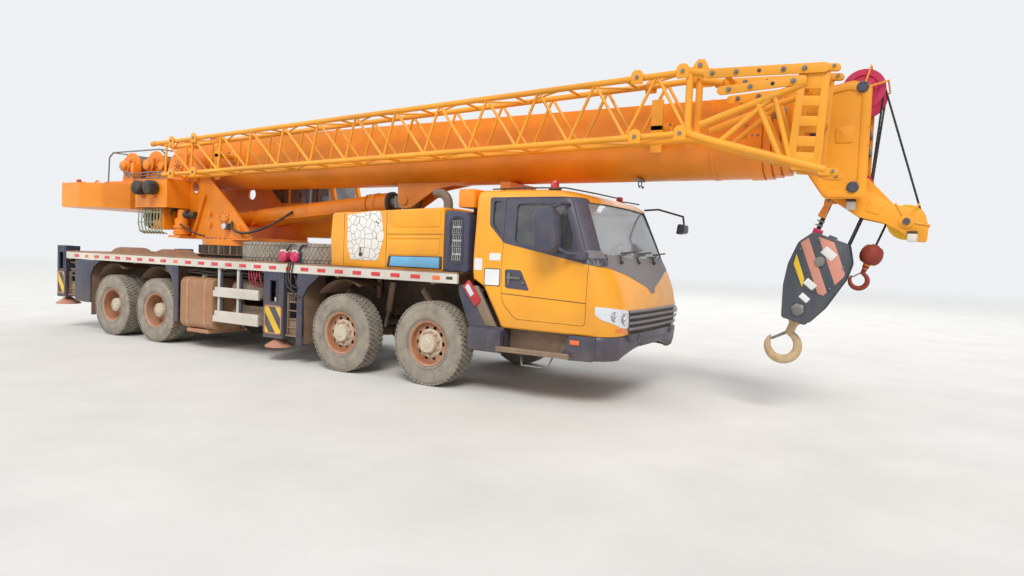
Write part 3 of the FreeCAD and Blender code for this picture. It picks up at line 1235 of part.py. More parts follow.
def boom_base():
    tube = u_tube("boom_half", "boom_top", "boom_round_z", ("boom_back", "boom_front"), "boom_wall")
    collar = u_tube("boom_half + 14", "boom_top + 14", "boom_round_z",
                    ("boom_front - 2 * collar_length", "boom_front"), "14 + boom_wall")
    bore = rod("y", ("foot_x", "foot_z"), "foot_pin + pin_room", ("-plate_y", "plate_y"))
    hubs = [rod("y", ("foot_x", "foot_z"), "foot_pin + 70", across)
            for across in (("boom_half - 20", "plate_y - 0.5"), ("-plate_y + 0.5", "-boom_half + 20"))]
    back = box(("boom_back", "boom_back + 20"), ("-boom_half + 60", "boom_half - 60"),
               ("boom_round_z", "boom_top - 1"))
    ear_spans = [("cyl_half + 0.5", "cyl_half + 40"), ("-cyl_half - 40", "-cyl_half - 0.5")]
    boss_spans = [("cyl_half + 39", "cyl_half + 64"), ("-cyl_half - 64", "-cyl_half - 39")]
    ears = [prism("XZ", [
        ("cyl_eye_x - 140", "boom_round_z - boom_half + 60"), ("cyl_eye_x - 130", "cyl_eye_z - 20"),
        ("cyl_eye_x - 60", "cyl_eye_z - 120"), ("cyl_eye_x + 120", "cyl_eye_z - 110"),
        ("cyl_eye_x + 600", "boom_round_z - boom_half - 60"),
        ("cyl_eye_x + 1350", "boom_round_z - boom_half + 60")], across) for across in ear_spans]
    bosses = [rod("y", ("cyl_eye_x", "cyl_eye_z"), "foot_pin", across) for across in boss_spans]
    room = u_tube("boom_half - boom_wall", "boom_top - boom_wall", "boom_round_z",
                  ("boom_back + 30", "boom_front"))
    shell = cut(join(tube, collar, back, *hubs), bore, room)
    lugs = [cut(join(ear, boss), u_tube("boom_half", "boom_top", "boom_round_z", ("boom_back", "boom_front")))
            for ear, boss in zip(ears, bosses)]
    return node("boom_base", group(join(shell, slide_pads(1, "boom_front")), *lugs))


def slide_pads(number, front):
    """The ring of wear pads in a section's mouth, which the next section slides on."""
    return u_tube("%s - boom_wall + 1" % section_half(number), "%s - boom_wall + 1" % section_top(number),
                  "boom_round_z", (front + " - 150", front + " - 5"), "boom_gap + 1 - seat_gap")


def boom_sections():
    for number in (2, 3, 4, 5):
        front = "boom_front + %d * collar_step" % (number - 1)
        tube = u_tube(section_half(number), section_top(number), "boom_round_z",
                      ("tube_back", front if number < 5 else "head_back + 260"), "boom_wall")
        if number < 5:
            collar = u_tube(section_half(number) + " + 26", section_top(number) + " + 26", "boom_round_z",
                            (front + " - collar_length", front), "26 + boom_wall")
            node("boom_section_%d" % number, join(tube, collar, slide_pads(number, front)))
        else:
            node("boom_section_5", join(tube, *head_parts()))


def head_parts():
    """The boom head: two side plates, cross plates and the auxiliary head in front."""
    plate = prism("XZ", [
        ("head_back", "boom_round_z - 300"), ("head_back + 250", "head_low"), ("fall_x + 130", "head_low"),
        ("sheave_x + 90", "fall_z + 300"), ("sheave_x + 90", "head_top - 20"),
        ("sheave_x - 90", "head_top + 40"),
        ("head_back + 60", "head_top - 40"), ("head_back", "head_top - 160")],
        ("%s - 2" % section_half(5), "%s + head_plate" % section_half(5)), [((1, 2, 4, 5), "60")])
    pins = [rod("y", (x, z), "sheave_pin", ("-(%s) - head_plate - 25" % section_half(5),
                                            "%s + head_plate + 25" % section_half(5)))
            for x, z in (("sheave_x", "sheave_z"), ("fall_x", "fall_z"))]
    plates = [plate, mirrored(plate)]
    wall = box(("head_back + 230", "head_back + 260"), ("-(%s)" % section_half(5), section_half(5)),
               ("boom_round_z - 60", "%s - 5" % section_top(5)))
    arm = prism("XZ", [
        ("fall_x - 60", "head_low + 60"), ("fall_x + 60", "head_low - 30"), ("aux_x - 60", "aux_z - 90"),
        ("aux_x + 40", "aux_z - 70"), ("aux_x + 90", "aux_z + 40"), ("aux_x - 60", "aux_z + 110"),
        ("fall_x + 130", "head_low + 240")], ("140", "160"))
    pin = rod("y", ("aux_x", "aux_z"), "aux_pin", ("-175", "175"))
    return [*plates, *pins, wall, arm, mirrored(arm), pin]


def sheave(x, y, z, radius, pin):
    """A grooved rope wheel, with room for its pin."""
    floor = "%s - groove_depth" % radius
    return moved(lathe([
        (pin + " + pin_room", "-sheave_width / 2"), (radius, "-sheave_width / 2"),
        (floor, "-rope_radius - 0.5"), (floor, "rope_radius + 0.5"),
        (radius, "sheave_width / 2"), (pin + " + pin_room", "sheave_width / 2")]),
        x, y, z)


def head_sheaves():
    upper = [sheave("sheave_x", y, "sheave_z", "sheave_radius", "sheave_pin") for y in ("-240", "240")]
    lower = [sheave("fall_x", y, "fall_z", "fall_sheave", "sheave_pin") for y in ("-110", "0", "110")]
    aux = sheave("aux_x", "0", "aux_z", "aux_radius", "aux_pin")
    return node("head_sheaves", group(*upper, *lower, aux))


def luffing_cylinder():
    """The barrel and rod, made along their own axis and tilted onto the two pins."""
    run = size("cyl_eye_x") - size("cyl_base_x")
    rise = size("cyl_eye_z") - size("cyl_base_z")
    tilt = FreeCAD.Rotation(Vector(0, 1, 0), -math.degrees(math.atan2(rise, run)))
    length = math.hypot(run, rise)
    base_place = FreeCAD.Placement(Vector(size("cyl_base_x"), 0, size("cyl_base_z")), tilt)
    half, radius, rod_radius = size("cyl_half"), size("cyl_radius"), size("cyl_rod_radius")
    room, pin = size("cyl_rod_room"), size("foot_pin") + size("pin_room")
    along = Vector(1, 0, 0)
    barrel = Part.makeCylinder(radius, size("cyl_barrel") - 200, Vector(200, 0, 0), along)
    gland = Part.makeCylinder(radius + 18, 140, Vector(size("cyl_barrel") - 140, 0, 0), along)
    eye = Part.makeCylinder(150, 2 * half, Vector(0, -half, 0), Vector(0, 1, 0))
    neck = Part.makeBox(240, 2 * half, 200, Vector(0, -half, -100))
    spacers = [Part.makeCylinder(105, size("plate_y") - half - 0.5, Vector(0, y, 0), Vector(0, 1, 0))
               for y in (half, -size("plate_y") + 0.5)]
    bore = Part.makeCylinder(rod_radius + room, size("cyl_barrel"), Vector(260, 0, 0), along)
    pin_bore = Part.makeCylinder(pin, 2 * size("plate_y"), Vector(0, -size("plate_y"), 0), Vector(0, 1, 0))
    outer = barrel.fuse([gland, eye, neck, *spacers]).cut(bore).cut(pin_bore)
    feature = node("luff_barrel", shape_of(outer))
    feature.Placement = base_place
    rod_solid = Part.makeCylinder(rod_radius, length - 280 - 120, Vector(280, 0, 0), along)
    end = Part.makeCylinder(140, 2 * half, Vector(length, -half, 0), Vector(0, 1, 0))
    end_neck = Part.makeBox(220, 2 * half, 180, Vector(length - 230, -half, -90))
    feature = node("luff_rod", shape_of(rod_solid.fuse([end, end_neck])))
    feature.Placement = base_place


def hook_parts(thick, scale):
    """A single hook hanging from the origin, its mouth towards -X."""
    outer = Part.makeCylinder(190 * scale, thick, Vector(0, -thick / 2, -330 * scale), Vector(0, 1, 0))
    near = -thick / 2 - 1
    inner = Part.makeCylinder(105 * scale, thick + 2, Vector(-20 * scale, near, -310 * scale),
                              Vector(0, 1, 0))
    mouth = Part.makeBox(260 * scale, thick + 2, 250 * scale, Vector(-260 * scale, near, -310 * scale))
    shank = Part.makeCylinder(48 * scale, 190 * scale, Vector(0, 0, -190 * scale), Vector(0, 0, 1))
    throat = Part.makeBox(130 * scale, thick * 0.9, 120 * scale,
                          Vector(30 * scale, -thick * 0.45, -300 * scale))
    neck = Part.makeBox(110 * scale, thick * 0.8, 90 * scale, Vector(-50 * scale, -thick * 0.4, -240 * scale))
    bowl = outer.cut(inner).cut(mouth)
    return shank.fuse([bowl, neck, throat]).removeSplitter()


def hook_block():
    """The main hook block, built hanging straight down and tilted as it is parked."""
    top, low, half = size("block_top"), size("block_low"), size("block_half")
    plate, sheave_z = size("block_plate"), size("block_sheave_z")
    outline = [Vector(-150, 0, -top), Vector(150, 0, -top), Vector(265, 0, -top - 330),
               Vector(265, 0, -top - 560), Vector(110, 0, -low), Vector(-110, 0, -low),
               Vector(-265, 0, -top - 560), Vector(-265, 0, -top - 330), Vector(-150, 0, -top)]
    face = Part.Face(Part.makePolygon(outline))
    cheeks = []
    for y in (-half, half - plate):
        cheek = face.extrude(Vector(0, plate, 0))
        cheek.translate(Vector(0, y, 0))
        cheeks.append(cheek)
    bars = [Part.makeCylinder(40, 2 * half + 40, Vector(0, -half - 20, -sheave_z), Vector(0, 1, 0)),
            Part.makeBox(180, 2 * half, 130, Vector(-90, -half, -low + 10)),
            Part.makeBox(60, 2 * half, 60, Vector(-30, -half, -top - 70))]
    sheaves = [Part.makeCylinder(size("fall_sheave"), 46, Vector(0, y - 23, -sheave_z), Vector(0, 1, 0))
               for y in (-110, 0, 110)]
    hook = hook_parts(size("hook_thick"), 1.05)
    hook.translate(Vector(0, 0, -low + 30))
    block = cheeks[0].fuse([cheeks[1], *bars, *sheaves, hook])
    radius = size("fall_sheave") - size("groove_depth") + size("rope_radius") + size("seat_gap")
    falls = [Part.makeCylinder(size("rope_radius"), sheave_z, Vector(x, y, -sheave_z), Vector(0, 0, 1))
             for x in (-radius, radius) for y in (-110, 0, 110)]
    feature = node("hook_block", shape_of(block.fuse(falls)))
    tilt = FreeCAD.Rotation(Vector(0, 1, 0), size("hook_tilt"))
    feature.Placement = FreeCAD.Placement(Vector(size("fall_x"), 0, size("fall_z")), tilt)


def aux_hook():
    """The auxiliary hook: rope, ball weight and hook under the front sheave."""
    radius = size("aux_radius") - size("groove_depth") + size("rope_radius") + size("seat_gap")
    rope = Part.makeCylinder(size("rope_radius"), 360, Vector(-radius, 0, -360), Vector(0, 0, 1))
    ball = Part.makeSphere(118, Vector(-radius, 0, -450))
    hook = hook_parts(46, 0.55)
    hook.translate(Vector(-radius, 0, -540))
    feature = node("aux_hook", shape_of(rope.fuse([ball, hook])))
    feature.Placement = FreeCAD.Placement(Vector(size("aux_x"), 0, size("aux_z")),
                                          FreeCAD.Rotation(Vector(0, 1, 0), size("hook_tilt")))


def bar_between(start, end, width):
    """A square bar from one point to another."""
    span = end - start
    bar = Part.makeBox(width, width, span.Length, Vector(-width / 2, -width / 2, 0))
    bar.Placement = FreeCAD.Placement(start, FreeCAD.Rotation(Vector(0, 0, 1), span))
    return bar


def jib():
    """The stowed lattice jib: four chords, zigzag braces and the end frame, on the boom's right side."""
    middle, half, bays = size("jib_y"), size("jib_half"), int(size("jib_bays"))
    front, end_x = size("jib_front_x"), size("jib_end_x")
    top = [Vector(size("jib_rear_x"), 0, size("jib_rear_top")), Vector(front, 0, size("jib_front_top"))]
    low = [Vector(size("jib_rear_low_x"), 0, size("jib_rear_low")), Vector(front, 0, size("jib_front_low"))]
    width, end_size = size("brace_size"), size("jib_end_size")

    def at(line, share, y):
        point = line[0] + (line[1] - line[0]) * share
        return Vector(point.x, middle + y, point.z)

    def end(y, z):
        return Vector(end_x, middle + y * 0.7, z)

    solids = []
    for y in (-half, half):
        for line in (top, low):
            start, stop = at(line, 0, y), at(line, 1, y)
            solids.append(Part.makeCylinder(size("chord_radius"), (stop - start).Length, start, stop - start))
        for i in range(bays):
            first, mid, last = i / bays, (i + 0.5) / bays, (i + 1) / bays
            solids.append(bar_between(at(low, first, y), at(top, mid, y), width))
            solids.append(bar_between(at(top, mid, y), at(low, last, y), width))
    for line in (top, low):
        for i in range(bays + 1):
            solids.append(bar_between(at(line, i / bays, -half), at(line, i / bays, half), width))
    end_top, end_low = size("jib_end_top"), size("jib_end_low")
    for y in (-half, half):
        solids.append(bar_between(at(top, 1, y), end(y, end_top), end_size))
        solids.append(bar_between(at(low, 1, y), end(y, end_low), end_size))
        solids.append(bar_between(end(y, end_top + 20), end(y, end_low - 40), end_size))
        solids.append(bar_between(at(low, 1, y), at(top, 1, y), end_size - 10))
    for z in (end_top, end_low):
        solids.append(bar_between(end(-half, z), end(half, z), end_size - 10))
    # Brackets to the boom's side
    inner, boom_side = middle + half, -size("boom_half") - size("seat_gap")
    for x in (size("jib_rear_x") + 1200, front - 550):
        solids.append(Part.makeBox(140, boom_side - inner, 60, Vector(x, inner, 3300)))
        solids.append(Part.makeBox(140, 40, 620, Vector(x, inner - 20, 3040)))
    body = solids[0].fuse(solids[1:])
    return node("jib", shape_of(body))


def build_model():
    wheels()
    knuckles()
    drive_train()
    chassis_frame()
    deck()
    side_rails()
    side_panels()
    tanks()
    outriggers()
    engine_hood()
    intake_exhaust()
    cab()
    cab_glass()
    cab_inside()
    cab_front()
    fittings()
    boom_rest()
    spare_tyres()
    turntable()
    counterweight()
    node("upper_machinery", group(*winches(), *upper_units()))
    operator_cab()
    boom_base()
    boom_sections()
    head_sheaves()
    luffing_cylinder()
    hook_block()
    aux_hook()
    jib()


def check_model():
    """Stop if any feature failed or any sub-part has no sound shape."""
    for item in doc.Objects:
        if "Invalid" in item.State or "Error" in item.State:
            raise RuntimeError("%s (%s) failed" % (item.Name, item.Label))
    for item in NODES:
        if item.Shape.isNull() or not item.Shape.isValid() or not item.Shape.Solids:
            raise RuntimeError("%s has no valid solid" % item.Label)


def write_parts():
    os.makedirs("parts", exist_ok=True)
    for item in NODES:
        item.Shape.exportStep(os.path.join("parts", item.Label + ".step"))


build_model()
doc.recompute()
check_model()
write_parts()
print("%d sub-parts" % len(NODES))
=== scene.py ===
import math
import random

import bmesh
import bpy
from mathutils import Matrix, Vector


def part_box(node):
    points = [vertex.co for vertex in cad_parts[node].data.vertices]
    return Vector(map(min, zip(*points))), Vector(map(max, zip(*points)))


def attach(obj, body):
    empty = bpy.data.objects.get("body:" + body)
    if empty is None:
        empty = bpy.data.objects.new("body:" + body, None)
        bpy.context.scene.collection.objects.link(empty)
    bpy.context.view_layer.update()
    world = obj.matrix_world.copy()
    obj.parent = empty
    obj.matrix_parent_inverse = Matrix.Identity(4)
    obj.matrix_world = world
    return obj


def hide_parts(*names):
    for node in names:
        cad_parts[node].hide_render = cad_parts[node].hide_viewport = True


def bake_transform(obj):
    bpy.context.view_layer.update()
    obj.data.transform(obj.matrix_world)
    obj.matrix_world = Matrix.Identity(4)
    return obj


# A four-axle truck crane. Metres; +X is the driving direction, +Y the left side and +Z up.

# Camera of the photograph, solved for an image 1024 pixels wide
CAMERA_PLACE = (7.457, -8.574, 1.768)
CAMERA_YAW = 120.209
CAMERA_PITCH = -2.736
CAMERA_ROLL = 2.22
SENSOR_WIDTH = 36.0
LENS = 683.84 / 1024 * SENSOR_WIDTH

# Driving places of the machine
HUB_Z = 0.5625
TYRE_RADIUS = 0.5625
TYRE_HALF = 0.155
SIDE_Y = 1.38
DECK_TOP = 1.521
WHEELS = [("1", 2.0, False), ("2", 0.445, False), ("3", -3.98, True), ("4", -5.32, True)]
SIDES = [("right", -1), ("left", 1)]
TWIN_PITCH = 0.345

# Colours as they look in plain light
AMBER = (0.99, 0.66, 0.06)
ORANGE = (0.97, 0.56, 0.06)
BLUE_GREY = (0.19, 0.21, 0.30)
DUST = (0.66, 0.55, 0.44)
RUST = (0.45, 0.22, 0.12)
CREAM = (0.84, 0.79, 0.68)
BACKDROP = (0.86, 0.88, 0.90, 1.0)


def linear(colour):
    """A colour as seen on a screen, in the shader's linear values."""
    values = [c / 12.92 if c <= 0.04045 else ((c + 0.055) / 1.055) ** 2.4 for c in colour]
    return (*values, 1.0)


# Shader building

class Shader:
    """A principled material with short calls for its nodes."""

    def __init__(self, name):
        self.material = bpy.data.materials.new(name)
        self.material.use_nodes = True
        self.tree = self.material.node_tree
        self.tree.nodes.clear()
        output = self.tree.nodes.new("ShaderNodeOutputMaterial")
        self.surface = self.tree.nodes.new("ShaderNodeBsdfPrincipled")
        self.tree.links.new(self.surface.outputs["BSDF"], output.inputs["Surface"])
        self.place = self.tree.nodes.new("ShaderNodeTexCoord").outputs["Object"]

    def node(self, kind, inputs=(), **settings):
        made = self.tree.nodes.new(kind)
        for name, value in settings.items():
            setattr(made, name, value)
        for name, value in dict(inputs).items():
            self.feed(made.inputs[name], value)
        return made

    def feed(self, socket, value):
        if isinstance(value, bpy.types.NodeSocket):
            self.tree.links.new(value, socket)
        else:
            socket.default_value = value

    def set(self, name, value):
        self.feed(self.surface.inputs[name], value)

    def stretched(self, scale):
        """The object's own coordinates, scaled along each axis."""
        return self.node("ShaderNodeMapping", {"Vector": self.place, "Scale": scale}).outputs["Vector"]

    def noise(self, scale, detail=4.0, roughness=0.6, place=None):
        return self.node("ShaderNodeTexNoise", {
            "Vector": place or self.place, "Scale": scale, "Detail": detail,
            "Roughness": roughness}).outputs["Fac"]

    def cells(self, scale, feature="F1", place=None, randomness=1.0):
        made = self.node("ShaderNodeTexVoronoi", {"Vector": place or self.place, "Scale": scale,
                                                  "Randomness": randomness}, feature=feature)
        return made.outputs["Distance"]

    def span(self, value, low, high, start=0.0, end=1.0):
        """Maps low..high to start..end, clamped."""
        return self.node("ShaderNodeMapRange", {
            "Value": value, "From Min": low, "From Max": high, "To Min": start, "To Max": end}).outputs["Result"]

    def maths(self, operation, first, second=0.0):
        made = self.node("ShaderNodeMath", operation=operation)
        self.feed(made.inputs[0], first)
        self.feed(made.inputs[1], second)
        return made.outputs[0]

    def mix(self, factor, first, second):
        made = self.node("ShaderNodeMix", data_type="RGBA")
        self.feed(made.inputs[0], factor)
        self.feed(made.inputs[6], linear(first) if isinstance(first, tuple) else first)
        self.feed(made.inputs[7], linear(second) if isinstance(second, tuple) else second)
        return made.outputs[2]

    def height(self):
        return self.node("ShaderNodeSeparateXYZ", {"Vector": self.place}).outputs["Z"]

    def facing_up(self):
        normal = self.node("ShaderNodeNewGeometry").outputs["Normal"]
        return self.node("ShaderNodeSeparateXYZ", {"Vector": normal}).outputs["Z"]

    def bump(self, height, distance, strength=1.0):
        made = self.node("ShaderNodeBump", {"Height": height, "Distance": distance, "Strength": strength})
        self.set("Normal", made.outputs["Normal"])


def paint(name, colour, dirt=0.3, rough=0.35, metallic=0.0, dust=DUST, low=0.2, high=2.2, chips=0.12, coat=0.25):
    """Worn machine paint: tone drift, rain streaks, dust below and on top, small chips."""
    shader = Shader(name)
    darker = tuple(c * 0.86 for c in colour)
    tone = shader.mix(shader.span(shader.noise(0.9, 3.0), 0.35, 0.7), colour, darker)
    streak = shader.noise(1.0, 5.0, place=shader.stretched((9.0, 9.0, 0.7)))
    tone = shader.mix(shader.span(streak, 0.52, 0.8, 0.0, dirt * 0.55), tone, dust)
    low_down = shader.span(shader.height(), high, low, 0.0, 1.0)
    cloud = shader.span(shader.noise(2.6, 8.0, 0.7), 0.3, 0.72)
    veil = shader.maths("MULTIPLY", shader.maths("MULTIPLY", low_down, cloud), dirt * 1.5)
    settled = shader.span(shader.facing_up(), 0.5, 1.0, 0.0, dirt)
    veil = shader.maths("MAXIMUM", veil, shader.maths("MULTIPLY", settled, cloud))
    tone = shader.mix(veil, tone, dust)
    specks = shader.span(shader.noise(38.0, 6.0, 0.75), 0.70, 0.74, 0.0, chips)
    tone = shader.mix(specks, tone, RUST)
    shader.set("Base Color", tone)
    shader.set("Metallic", metallic)
    shader.set("Roughness", shader.span(cloud, 0.0, 1.0, rough, min(1.0, rough + 0.3)))
    shader.set("Coat Weight", coat)
    shader.set("Coat Roughness", 0.25)
    shader.bump(shader.noise(55.0, 3.0), 0.0009, 0.5)
    return shader.material


def rubber(name, colour=(0.45, 0.43, 0.40), dust=(0.67, 0.62, 0.55)):
    """Dusty tyre rubber: dark rubber clouded with pale road dust, with darker spots."""
    shader = Shader(name)
    cloud = shader.span(shader.noise(6.0, 9.0, 0.75), 0.3, 0.7)
    tone = shader.mix(cloud, colour, dust)
    spots = shader.span(shader.noise(24.0, 6.0, 0.7), 0.56, 0.7, 0.0, 0.45)
    tone = shader.mix(spots, tone, (0.24, 0.22, 0.20))
    shader.set("Base Color", tone)
    shader.set("Roughness", 0.92)
    shader.bump(shader.noise(70.0, 5.0), 0.002, 0.6)
    return shader.material


def rusty(name, colour, second, spread=0.5):
    """Old paint over rust, such as on rims, floats and the hook."""
    shader = Shader(name)
    cloud = shader.span(shader.noise(5.0, 9.0, 0.72), 0.35, 0.35 + spread)
    tone = shader.mix(cloud, colour, second)
    fine = shader.span(shader.noise(30.0, 8.0, 0.8), 0.55, 0.7, 0.0, 0.6)
    tone = shader.mix(fine, tone, RUST)
    shader.set("Base Color", tone)
    shader.set("Roughness", shader.span(cloud, 0.0, 1.0, 0.55, 0.9))
    shader.set("Metallic", 0.05)
    shader.bump(shader.noise(45.0, 6.0), 0.0016, 0.7)
    return shader.material


def steel(name, colour=(0.55, 0.54, 0.52), rough=0.35, metallic=0.85):
    shader = Shader(name)
    streak = shader.noise(1.0, 6.0, place=shader.stretched((30.0, 30.0, 3.0)))
    shader.set("Base Color", shader.mix(shader.span(streak, 0.4, 0.7), colour, tuple(c * 0.75 for c in colour)))
    shader.set("Metallic", metallic)
    shader.set("Roughness", shader.span(streak, 0.3, 0.7, rough, rough + 0.25))
    shader.bump(shader.noise(90.0, 3.0), 0.0005, 0.4)
    return shader.material


def glass(name, tint=(0.62, 0.70, 0.72), density=0.55):
    """Window glass: a see-through pane of a given colour, with patches of dust."""
    shader = Shader(name)
    haze = shader.span(shader.noise(3.0, 6.0), 0.35, 0.75, 0.0, 0.35)
    shader.set("Base Color", shader.mix(haze, tint, DUST))
    shader.set("Roughness", shader.span(haze, 0.0, 0.35, 0.03, 0.25))
    shader.set("Transmission Weight", 0.0)
    shader.set("Alpha", shader.span(haze, 0.0, 0.35, density, density + 0.2))
    shader.set("Specular IOR Level", 0.8)
    shader.set("Coat Weight", 1.0)
    shader.set("Coat Roughness", 0.02)
    shader.bump(shader.noise(4.0, 2.0), 0.0006, 0.4)
    return shader.material


def clear_lens(name, tint, glow=0.0):
    shader = Shader(name)
    ribs = shader.node("ShaderNodeTexWave", {"Vector": shader.place, "Scale": 34.0, "Distortion": 0.4}).outputs["Fac"]
    shader.set("Base Color", shader.mix(shader.span(ribs, 0.0, 1.0, 0.0, 0.22), tint, tuple(c * 0.6 for c in tint)))
    shader.set("Roughness", 0.12)
    shader.set("Coat Weight", 1.0)
    shader.set("Emission Color", linear(tint))
    shader.set("Emission Strength", glow)
    shader.bump(ribs, 0.002, 0.6)
    return shader.material


def cloth(name, colour):
    """Woven seat cloth."""
    shader = Shader(name)
    weave = shader.node("ShaderNodeTexChecker", {"Vector": shader.place, "Scale": 220.0}).outputs["Fac"]
    tone = shader.mix(shader.span(weave, 0.0, 1.0, 0.0, 0.35), colour, tuple(c * 0.7 for c in colour))
    shader.set("Base Color", shader.mix(shader.span(shader.noise(7.0), 0.4, 0.7, 0.0, 0.4), tone, DUST))
    shader.set("Roughness", 0.95)
    shader.set("Sheen Weight", 0.3)
    shader.set("Sheen Roughness", 0.6)
    shader.bump(weave, 0.001, 0.5)
    return shader.material


def plastic(name, colour, rough=0.6, dirt=0.3):
    """Moulded grained plastic with dust."""
    shader = Shader(name)
    cloud = shader.span(shader.noise(5.0, 7.0, 0.7), 0.35, 0.75, 0.0, dirt)
    shader.set("Base Color", shader.mix(cloud, colour, DUST))
    shader.set("Roughness", shader.span(cloud, 0.0, 0.5, rough, min(1.0, rough + 0.25)))
    shader.bump(shader.noise(160.0, 2.0), 0.0006, 0.6)
    return shader.material


def cracked(name, colour, line):
    """Pale panel with a net of fine dark lines in irregular cells."""
    shader = Shader(name)
    edge = shader.cells(9.0, "DISTANCE_TO_EDGE")
    shader.set("Base Color", shader.mix(shader.span(edge, 0.014, 0.034), line, colour))
    shader.set("Roughness", 0.5)
    shader.bump(shader.span(edge, 0.0, 0.05), 0.003, 0.6)
    return shader.material


MATERIALS = {
    "amber": paint("amber_paint", AMBER, dirt=0.16, rough=0.3, low=0.5, high=1.6, coat=0.4),
    "orange": paint("orange_paint", ORANGE, dirt=0.16, rough=0.36, low=0.5, high=2.0),
    "boom": paint("boom_paint", (0.97, 0.57, 0.05), dirt=0.12, rough=0.33, low=0.5, high=2.0, coat=0.35),
    "jib": paint("jib_paint", (0.98, 0.65, 0.10), dirt=0.22, rough=0.4, low=0.5, high=2.0),
    "blue_grey": paint("blue_grey_paint", BLUE_GREY, dirt=0.26, rough=0.45, low=0.1, high=1.6),
    "chassis": paint("chassis_paint", (0.17, 0.15, 0.13), dirt=0.65, rough=0.7, low=0.2, high=1.8, coat=0.0),
    "white": paint("white_paint", (0.86, 0.84, 0.79), dirt=0.35, rough=0.5, low=0.3, high=1.7),
    "deck": paint("deck_paint", (0.56, 0.40, 0.30), dirt=0.75, rough=0.75, dust=(0.71, 0.58, 0.47),
                  low=0.9, high=2.6, coat=0.0),
    "tank": paint("tank_paint", (0.63, 0.42, 0.27), dirt=0.6, rough=0.6, low=0.3, high=2.6, coat=0.0),
    "tyre": rubber("tyre_rubber"),
    "rim": rusty("rim_paint", (0.68, 0.45, 0.32), (0.74, 0.62, 0.52)),
    "hub": rusty("hub_paint", (0.80, 0.76, 0.68), (0.70, 0.60, 0.50), 0.6),
    "steel": steel("oiled_steel"),
    "dark": plastic("dark_plastic", (0.10, 0.10, 0.12)),
    "soot": rusty("exhaust_steel", (0.42, 0.36, 0.31), (0.56, 0.47, 0.40)),
    "glass": glass("window_glass", (0.30, 0.33, 0.35), 0.5),
    "seat": cloth("seat_cloth", (0.24, 0.24, 0.27)),
    "red_lens": clear_lens("red_lens", (0.75, 0.06, 0.05)),
    "amber_lens": clear_lens("amber_lens", (0.98, 0.42, 0.05)),
    "clear_lens": clear_lens("clear_lens", (0.86, 0.88, 0.90)),
    "crimson": paint("crimson_paint", (0.80, 0.14, 0.34), dirt=0.2, rough=0.45, coat=0.1),
    "hook": rusty("hook_paint", (0.78, 0.70, 0.55), (0.62, 0.42, 0.26)),
    "block": paint("block_paint", (0.27, 0.29, 0.33), dirt=0.25, rough=0.5, low=0.0, high=1.4),
    "yellow": paint("yellow_paint", (0.95, 0.78, 0.10), dirt=0.2, rough=0.4),
    "float": rusty("float_paint", (0.72, 0.48, 0.40), (0.78, 0.60, 0.50)),
    "rope": steel("wire_rope", (0.26, 0.25, 0.24), 0.6, 0.5),
    "tower": paint("tower_paint", (0.22, 0.23, 0.33), dirt=0.2, rough=0.4, low=0.5, high=1.6),
    "vent": cracked("vent_panel", (0.90, 0.88, 0.85), (0.42, 0.40, 0.42)),
    "pale_blue": paint("pale_blue_paint", (0.42, 0.70, 0.86), dirt=0.12, rough=0.4),
    "reflector": clear_lens("red_reflector", (0.86, 0.05, 0.10)),
    "deck_plate": paint("deck_plate_paint", (0.60, 0.50, 0.43), dirt=0.8, rough=0.8, coat=0.0, low=0.9, high=2.6),
    "flap": rusty("flap_rubber", (0.50, 0.40, 0.32), (0.62, 0.50, 0.41)),
    "dusty": rusty("dusty_steel", (0.66, 0.58, 0.50), (0.55, 0.44, 0.35)),
    "pale_green": paint("pale_green_paint", (0.62, 0.64, 0.50), dirt=0.3, rough=0.5),
    "pale_pink": paint("pale_pink_paint", (0.86, 0.58, 0.50), dirt=0.15, rough=0.5),
    "rust_red": rusty("rust_red_paint", (0.50, 0.14, 0.10), (0.58, 0.27, 0.17)),
    "trim": plastic("smoke_trim", (0.25, 0.26, 0.33), 0.45, 0.14),
    "cab_lining": plastic("cab_lining", (0.34, 0.33, 0.34), 0.7, 0.15),
    "sign": paint("blank_sign", (0.93, 0.93, 0.92), dirt=0.10, rough=0.45, chips=0.03),
    "trim_dusty": plastic("dusty_trim", (0.44, 0.43, 0.45), 0.5, 0.25),
    "chrome": steel("bright_metal", (0.80, 0.80, 0.80), 0.15, 0.9),
    "step": rusty("tread_plate", (0.50, 0.41, 0.33), (0.64, 0.55, 0.46)),
    # The windscreen's pale bluish colour is a painted sky reflection; the glass shader adds some dust haze over it.
    "screen_glass": glass("screen_glass", (0.70, 0.74, 0.76), 0.45),
}

